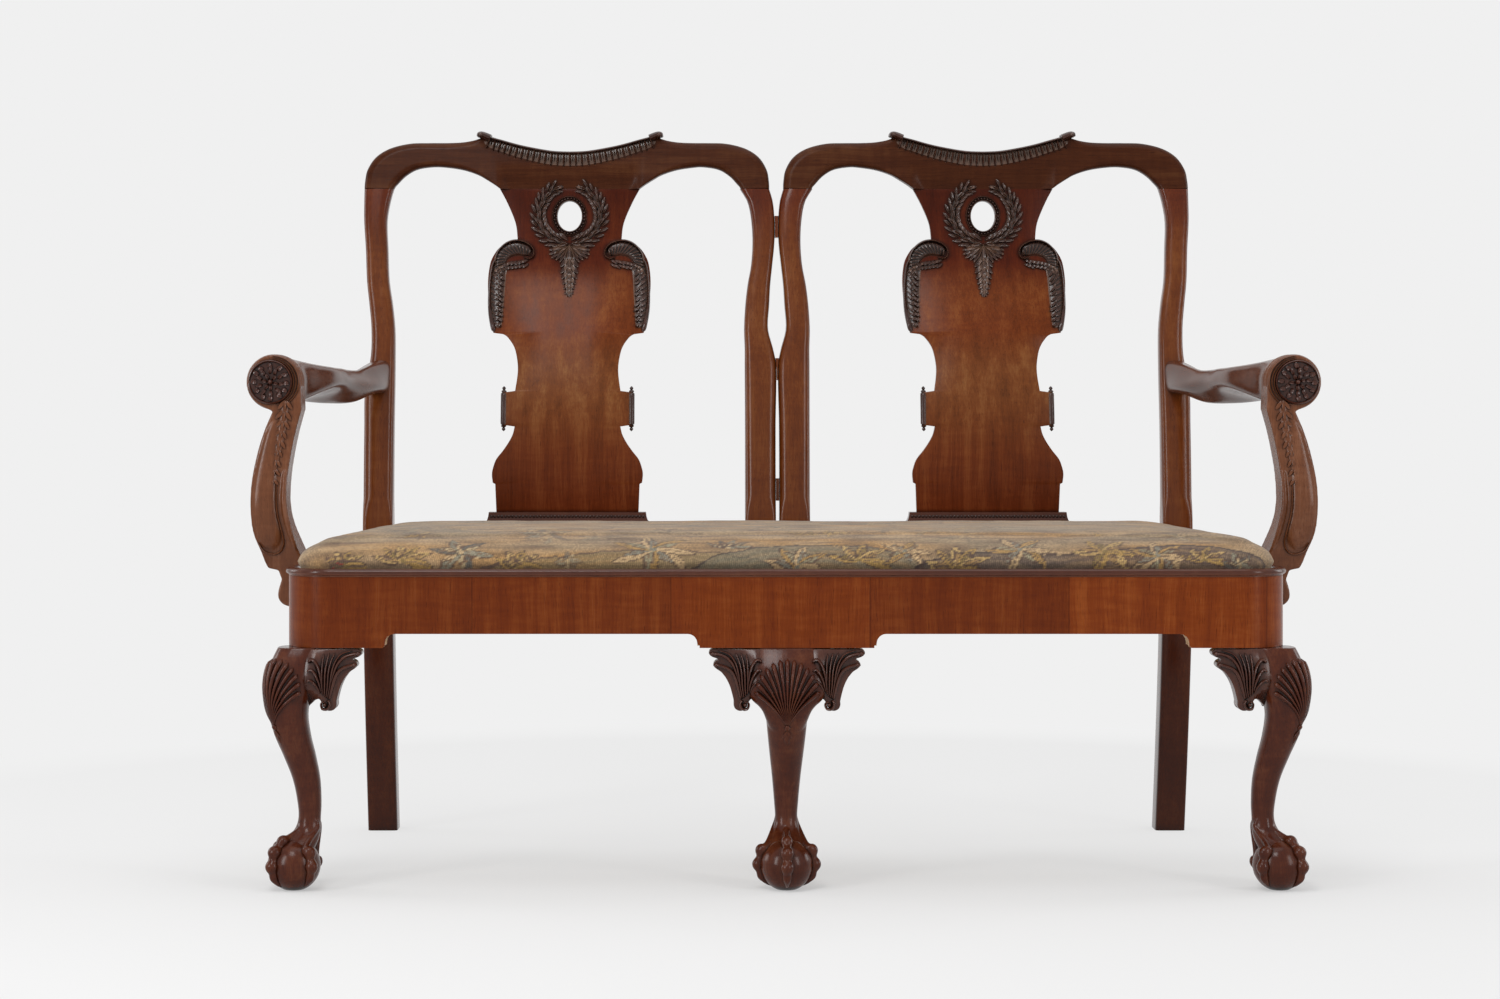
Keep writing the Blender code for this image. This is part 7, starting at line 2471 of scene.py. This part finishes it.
    def work(self, places: Sequence[Vector]) -> list[tuple[float, float, float, float]]:
        """Choose the wool for each point of the cover.

        Args:
            places: The points, before the cover is moved to its place.

        Returns:
            A linear colour for each.
        """
        cell = 0.05
        near: dict[tuple[int, int], list[Motif]] = {}
        for motif in self.motifs():
            reach = int(motif.length / cell) + 1
            column, row = math.floor(motif.at[0] / cell), math.floor(motif.at[1] / cell)
            for i in range(column - reach, column + reach + 1):
                for j in range(row - reach, row + reach + 1):
                    near.setdefault((i, j), []).append(motif)
        palette: dict[str, Vector] = {}

        def wool(code: str) -> Vector:
            if code not in palette:
                palette[code] = Vector(linear(code)[:3])
            return palette[code]

        colours = []
        for co in places:
            # Past the front corners the cloth folds down over the sides, not the front
            beside = clip((co.y - self.margin) / 0.03) * max(self.edge - co.z, 0)
            x = co.x + math.copysign(beside, co.x) + 0.0012 * noise.noise(co * 160)
            y = co.y - self.margin + co.z - self.edge + beside + 0.012 + 0.0012 * noise.noise(
                co * 160 + Vector((7, 0, 0)))
            colour = self.ground(x, y, wool)
            for motif in near.get((math.floor(x / cell), math.floor(y / cell)), ()):
                found = motif.stitch(x, y)
                if found:
                    colour = colour.lerp(wool(found[0]), found[1])
            colours.append((*colour, 1.0))
        return colours

    def ground(self, x: float, y: float, wool: Callable[[str], Vector]) -> Vector:
        """Give the ground colour with its hills and cloudy bands.

        Args:
            x: Across the cloth.
            y: Back over the cloth.
            wool: Turns a hex colour into a linear one.

        Returns:
            The linear colour.
        """
        cloud = noise.noise(Vector((x * 5, y * 22, 0.0)))
        patch = noise.noise(Vector((x * 16, y * 60, 5.0)))
        colour = wool("#a08a69")
        for code, share, most in (("#9c8f78", y / 0.12, 1.0), ("#a98648", cloud * 1.6, 0.6),
                                  ("#837f72", -cloud * 1.8, 0.65), ("#b5a588", patch * 1.1, 0.5),
                                  ("#665240", -patch * 1.3 - 0.12, 0.62)):
            colour = colour.lerp(wool(code), clip(share, 0.0, most))
        wave = math.sin(math.tau * (y + 0.007 * noise.noise(Vector((x * 13, y * 12, 3.0)))) / 0.019)
        gap = noise.noise(Vector((x * 17, y * 38, 9.0)))
        if y > 0.045 and wave > 0.45 and gap > -0.10:
            colour = colour.lerp(wool("#66554e"), min((wave - 0.45) * 2.2, 1) * min((gap + 0.10) * 4, 1) * 0.55)
        for line, fill, edge in self.hills:
            top = curve_value(line, x) + 0.004 * noise.noise(Vector((x * 40, 3.0, 0.0)))
            if line[0][0] < x < line[-1][0] and y < top:
                band = 0.5 + 0.5 * math.sin((top - y) * 520 + 3 * noise.noise(Vector((x * 20, y * 30, 1.0))))
                colour = colour.lerp(wool(fill), 0.55 + 0.3 * band)
                if top - y < 0.0030:
                    colour = colour.lerp(wool(edge), 0.85)
        return colour

    def motifs(self) -> list[Motif]:
        """Scatter the plants: large ones along the front, small ones over the top."""
        pale = ("#b8a888", "#8f917f", "#a38c5c", "#7f847f")
        warm = ("#a48f5a", "#96815a", "#b6a474", "#80734c")
        cool = ("#868a80", "#aea68a", "#5d5f5e", "#bcae8e")
        front = [Motif((x, y), *rest) for x, y, *rest in (
            (-0.575, 0.004, 9, 0.030, 0.20, 10, 160, warm), (-0.50, 0.010, 11, 0.042, 0.17, 0, 180, warm),
            (-0.425, 0.028, 12, 0.046, 0.16, 0, 330, cool), (-0.35, 0.002, 9, 0.034, 0.20, 10, 160, warm),
            (-0.285, 0.012, 7, 0.020, 0.26, 0, 309, cool, 0.7), (-0.175, 0.036, 13, 0.060, 0.15, 0, 332, pale),
            (-0.075, 0.040, 9, 0.036, 0.15, 20, 140, cool), (0.015, 0.002, 9, 0.046, 0.17, 0, 180, pale),
            (0.095, 0.012, 9, 0.044, 0.17, 0, 180, warm), (0.155, 0.032, 9, 0.038, 0.16, 0, 320, pale),
            (0.225, 0.000, 11, 0.048, 0.16, 0, 180, warm), (0.305, 0.036, 11, 0.050, 0.14, 0, 327, pale),
            (0.415, 0.030, 11, 0.046, 0.17, 0, 327, warm), (0.485, 0.020, 13, 0.044, 0.17, 0, 332, pale),
            (0.545, 0.012, 9, 0.034, 0.20, 0, 180, warm), (0.59, 0.004, 7, 0.026, 0.22, 0, 180, cool))]
        chance = random.Random(11)
        top = [Motif((chance.uniform(-0.6, 0.6), chance.uniform(0.085, 0.52)), chance.choice((5, 7, 9)),
                     chance.uniform(0.020, 0.042), 0.17, chance.uniform(0, 360), chance.choice((180, 310)),
                     chance.choice((pale, warm, cool)), chance.uniform(0.35, 0.7)) for _ in range(150)]
        spots = [Motif((-0.592 + 0.009 * i, 0.004 + 0.003 * (i % 2)), 5, 0.0065, 0.45, 0, 288,
                       ("#8e2f28", "#a03a2e")) for i in range(2)]
        return front + top + spots

    def build_pad(self) -> None:
        """Shape the bag of hair that shows from below between the webs."""
        low = LINES.seat_ledge + self.frame_thickness + 0.0032
        aside, under, below = self.pad_gap
        bm = self.form(self.margin + aside, low, self.edge - under, self.crown - below)
        for vert in bm.verts:
            if vert.co.z < low + 1e-4:
                vert.co.z += 0.0006 * (1 + noise.noise(vert.co * 40))
        piece = publish("seat_pad", bm, HESSIAN, ("seat_stuffing",), Body.SEAT, sharp=60)

    def build_webbing(self) -> None:
        """Interlace the webs across the top of the seat's frame."""
        low = LINES.seat_ledge + LINES.fit * 2 + self.frame_thickness
        front, back = self.margin + 0.015, self.back - 0.015
        half = LINES.side_x(front, back) - LINES.fit
        step_x = (2 * half - self.web_width) / (self.web_columns - 1)
        step_y = (back - front - self.web_width) / (self.web_rows - 1)
        columns = [-half + self.web_width / 2 + step_x * i for i in range(self.web_columns)]
        rows = [front + self.web_width / 2 + step_y * j for j in range(self.web_rows)]
        webs = [self.web(lambda t, s, x=x: (x + s, front + (back - front) * t), rows, i, (front, back))
                for i, x in enumerate(columns)]
        webs += [self.web(lambda t, s, y=y: (-half + 2 * half * t, y + s), columns, j + 1, (-half, half))
                 for j, y in enumerate(rows)]
        bm = merge(webs)
        lowest = min(vert.co.z for vert in bm.verts)
        bmesh.ops.translate(bm, vec=(0, 0, low - lowest), verts=bm.verts)
        publish("seat_webs", bm, JUTE, ("seat_webbing",), Body.SEAT, sharp=50)

    def web(self, line: Callable[[float, float], tuple[float, float]], crossings: Sequence[float], first: int,
            ends: tuple[float, float]) -> Mesh:
        """Weave one web over and under those that it crosses.

        Args:
            line: Gives its plan for a share along and a distance across.
            crossings: Where it crosses the others.
            first: Even where it starts over, odd where it starts under.
            ends: Where it starts and ends.

        Returns:
            The closed strip.
        """
        length = ends[1] - ends[0]

        def place(u: float, v: float) -> Vector:
            s, layer = ((-0.5, 0), (0.0, 0), (0.5, 0), (0.5, 1), (0.0, 1), (-0.5, 1))[round(u * 6) % 6]
            x, y = line(v, s * self.web_width)
            here = ends[0] + length * v
            i = min(range(len(crossings)), key=lambda k: abs(crossings[k] - here))
            over = 1 if (i + first) % 2 == 0 else -1
            near = max(1 - abs(crossings[i] - here) / (self.web_width * 0.75), 0)
            rise = over * self.web_thick * 0.55 * eased(near)
            return Vector((x, y, rise + self.web_thick * (layer - 0.5)))

        return skin(place, 6, 72)


@dataclass
class Stage:
    """A pale floor, soft lamps and the camera.

    Attributes:
        fade: Distances between which the floor turns into the backdrop.
        depths: Depths between which the floor under the settee is evened out.
        evened: How far it is evened at those depths.
        fill: Strength of the light from all sides.
        shift: How far the camera's view is shifted, in pixels of the picture.
    """

    tone: str = "#f0f0f0"
    paper: str = "#dfdfdf"
    floor_radius: float = 40.0
    fade: tuple[float, float] = (0.8, 1.8)
    evened: tuple[float, float] = (0.45, 0.80)
    depths: tuple[float, float] = (-0.25, 0.15)
    fill: float = 0.55
    lens: float = 76.69
    sensor: float = 36.0
    picture_width: float = 1500
    shift: tuple[float, float] = (50, -114.5)
    eye: tuple[float, float, float] = (-0.113, -4.15, 0.658)

    def build(self) -> None:
        """Set up the floor, the lamps, the world and the camera."""
        bpy.context.scene.view_settings.view_transform = "Standard"
        self.build_floor()
        self.build_world()
        self.build_lamps()
        self.build_camera()

    def build_floor(self) -> None:
        """Lay the paper floor, which takes the settee's shadow and fades to the backdrop's tone."""
        bm = bmesh.new()
        bmesh.ops.create_circle(bm, cap_ends=True, segments=96, radius=self.floor_radius)
        floor = shown("floor", kept("floor", bm))
        material = bpy.data.materials.new("studio_paper")
        material.use_nodes = True
        tree = material.node_tree
        shader = tree.nodes["Principled BSDF"]
        feed(tree, shader, {"Base Color": linear(self.paper), "Roughness": 1.0, "Specular IOR Level": 0.0})
        # In front most of what shows is the lit paper; behind and further out it is the backdrop's tone
        place = add_node(tree, "TexCoord").outputs["Object"]
        deep = add_node(tree, "SeparateXYZ", {0: place}).outputs[1]
        evened = remap(tree, deep, *self.depths, *self.evened, "SMOOTHSTEP")
        away = add_node(tree, "VectorMath", {0: place}, operation="LENGTH").outputs["Value"]
        far = calculate(tree, "MAXIMUM", evened, remap(tree, away, *self.fade, 0.0, 1.0, "SMOOTHSTEP"))
        glow = add_node(tree, "Emission", {"Color": linear(self.tone), "Strength": 1.0})
        share = calculate(tree, "MULTIPLY", self.seen(tree), far)
        mix = add_node(tree, "MixShader", {0: share, 1: shader.outputs[0], 2: glow.outputs[0]})
        tree.links.new(mix.outputs[0], tree.nodes["Material Output"].inputs["Surface"])
        floor.data.materials.append(material)

    def seen(self, tree: Tree) -> Socket:
        """Tell the rays that see the backdrop: straight, mirrored and through glass."""
        path = add_node(tree, "LightPath")
        direct = calculate(tree, "MAXIMUM", path.outputs["Is Camera Ray"], path.outputs["Is Transmission Ray"])
        return calculate(tree, "MAXIMUM", direct, path.outputs["Is Glossy Ray"])

    def build_world(self) -> None:
        """Show a plain pale tone to the camera and light the object evenly."""
        world = bpy.data.worlds.new("studio")
        bpy.context.scene.world = world
        world.use_nodes = True
        tree = world.node_tree
        backdrop = tree.nodes["Background"]
        feed(tree, backdrop, {"Color": linear(self.tone), "Strength": 1.0})
        even = add_node(tree, "Background", {"Color": linear("#ffffff"), "Strength": self.fill})
        mix = add_node(tree, "MixShader", {0: self.seen(tree), 1: even.outputs[0], 2: backdrop.outputs[0]})
        tree.links.new(mix.outputs[0], tree.nodes["World Output"].inputs["Surface"])

    def build_lamps(self) -> None:
        """Hang broad soft lamps in front, at both sides and above."""
        for name, place, aim, wide, tall, power in (
                ("left strip", (-2.6, -2.4, 1.30), (0.0, 0.0, 0.5), 0.7, 1.9, 38.0),
                ("right strip", (2.6, -2.4, 1.30), (0.0, 0.0, 0.5), 0.7, 1.9, 27.0),
                ("key", (-0.9, -2.6, 3.5), (0.0, 0.0, 0.5), 1.2, 1.2, 44.0),
                ("top", (0.0, -0.2, 3.2), (0.0, 0.0, 0.4), 2.4, 2.4, 24.0),
                ("left", (-3.2, 0.8, 1.2), (0.0, 0.0, 0.6), 1.0, 1.4, 18.0),
                ("right", (3.2, 0.8, 1.2), (0.0, 0.0, 0.6), 1.0, 1.4, 18.0)):
            light = bpy.data.lights.new(name, "AREA")
            light.shape = "RECTANGLE"
            light.size = wide
            light.size_y = tall
            light.energy = power
            lamp = shown(name, light)
            lamp.location = place
            lamp.rotation_euler = (Vector(aim) - Vector(place)).to_track_quat("-Z", "Y").to_euler()

    def build_camera(self) -> None:
        """Stand the camera level in front, a little to the left of the middle."""
        data = bpy.data.cameras.new("camera")
        data.lens = self.lens
        data.sensor_width = self.sensor
        data.shift_x, data.shift_y = (pixels / self.picture_width for pixels in self.shift)
        camera = shown("camera", data)
        camera.location = (self.eye[0], self.eye[1] + FRONT, self.eye[2])
        camera.rotation_euler = (math.pi / 2, 0, 0)
        bpy.context.scene.camera = camera


def dress_solids() -> None:
    """Give every solid its finish, by the record's slot."""
    finishes = {"mahogany": POST_WOOD, "walnut_veneer": RAIL_VENEER, "splat_veneer": SPLAT_VENEER,
                "dark_carving": CARVED_WOOD, "beech": PLAIN_BEECH, "steel_screws": SCREW_STEEL, "jute": JUTE,
                "horsehair": HESSIAN, "needlework": HESSIAN}
    for part in frame["record"]["subparts"]:
        node = frame["nodes"][part["node"]]
        finish = finishes[part["material_slot"]]
        if part["node"].startswith("crest"):
            finish = CREST_WOOD
        if part["node"].startswith("front_leg"):
            finish = LEG_WOOD
        node.data.materials.clear()
        node.data.materials.append(finish.material())


def main() -> None:
    """Build the settee piece by piece and report each one."""
    logging.basicConfig(level=logging.INFO, format="%(name)s %(message)s")
    Stage().build()
    dress_solids()
    for assembly in (SeatRails(), Posts(), CrestRails(), Splats(), Legs(), KneeBrackets(), Arms(), Cushion()):
        assembly.build()
        LOG.info("%s done", type(assembly).__name__)


if __name__ == "__main__":
    main()
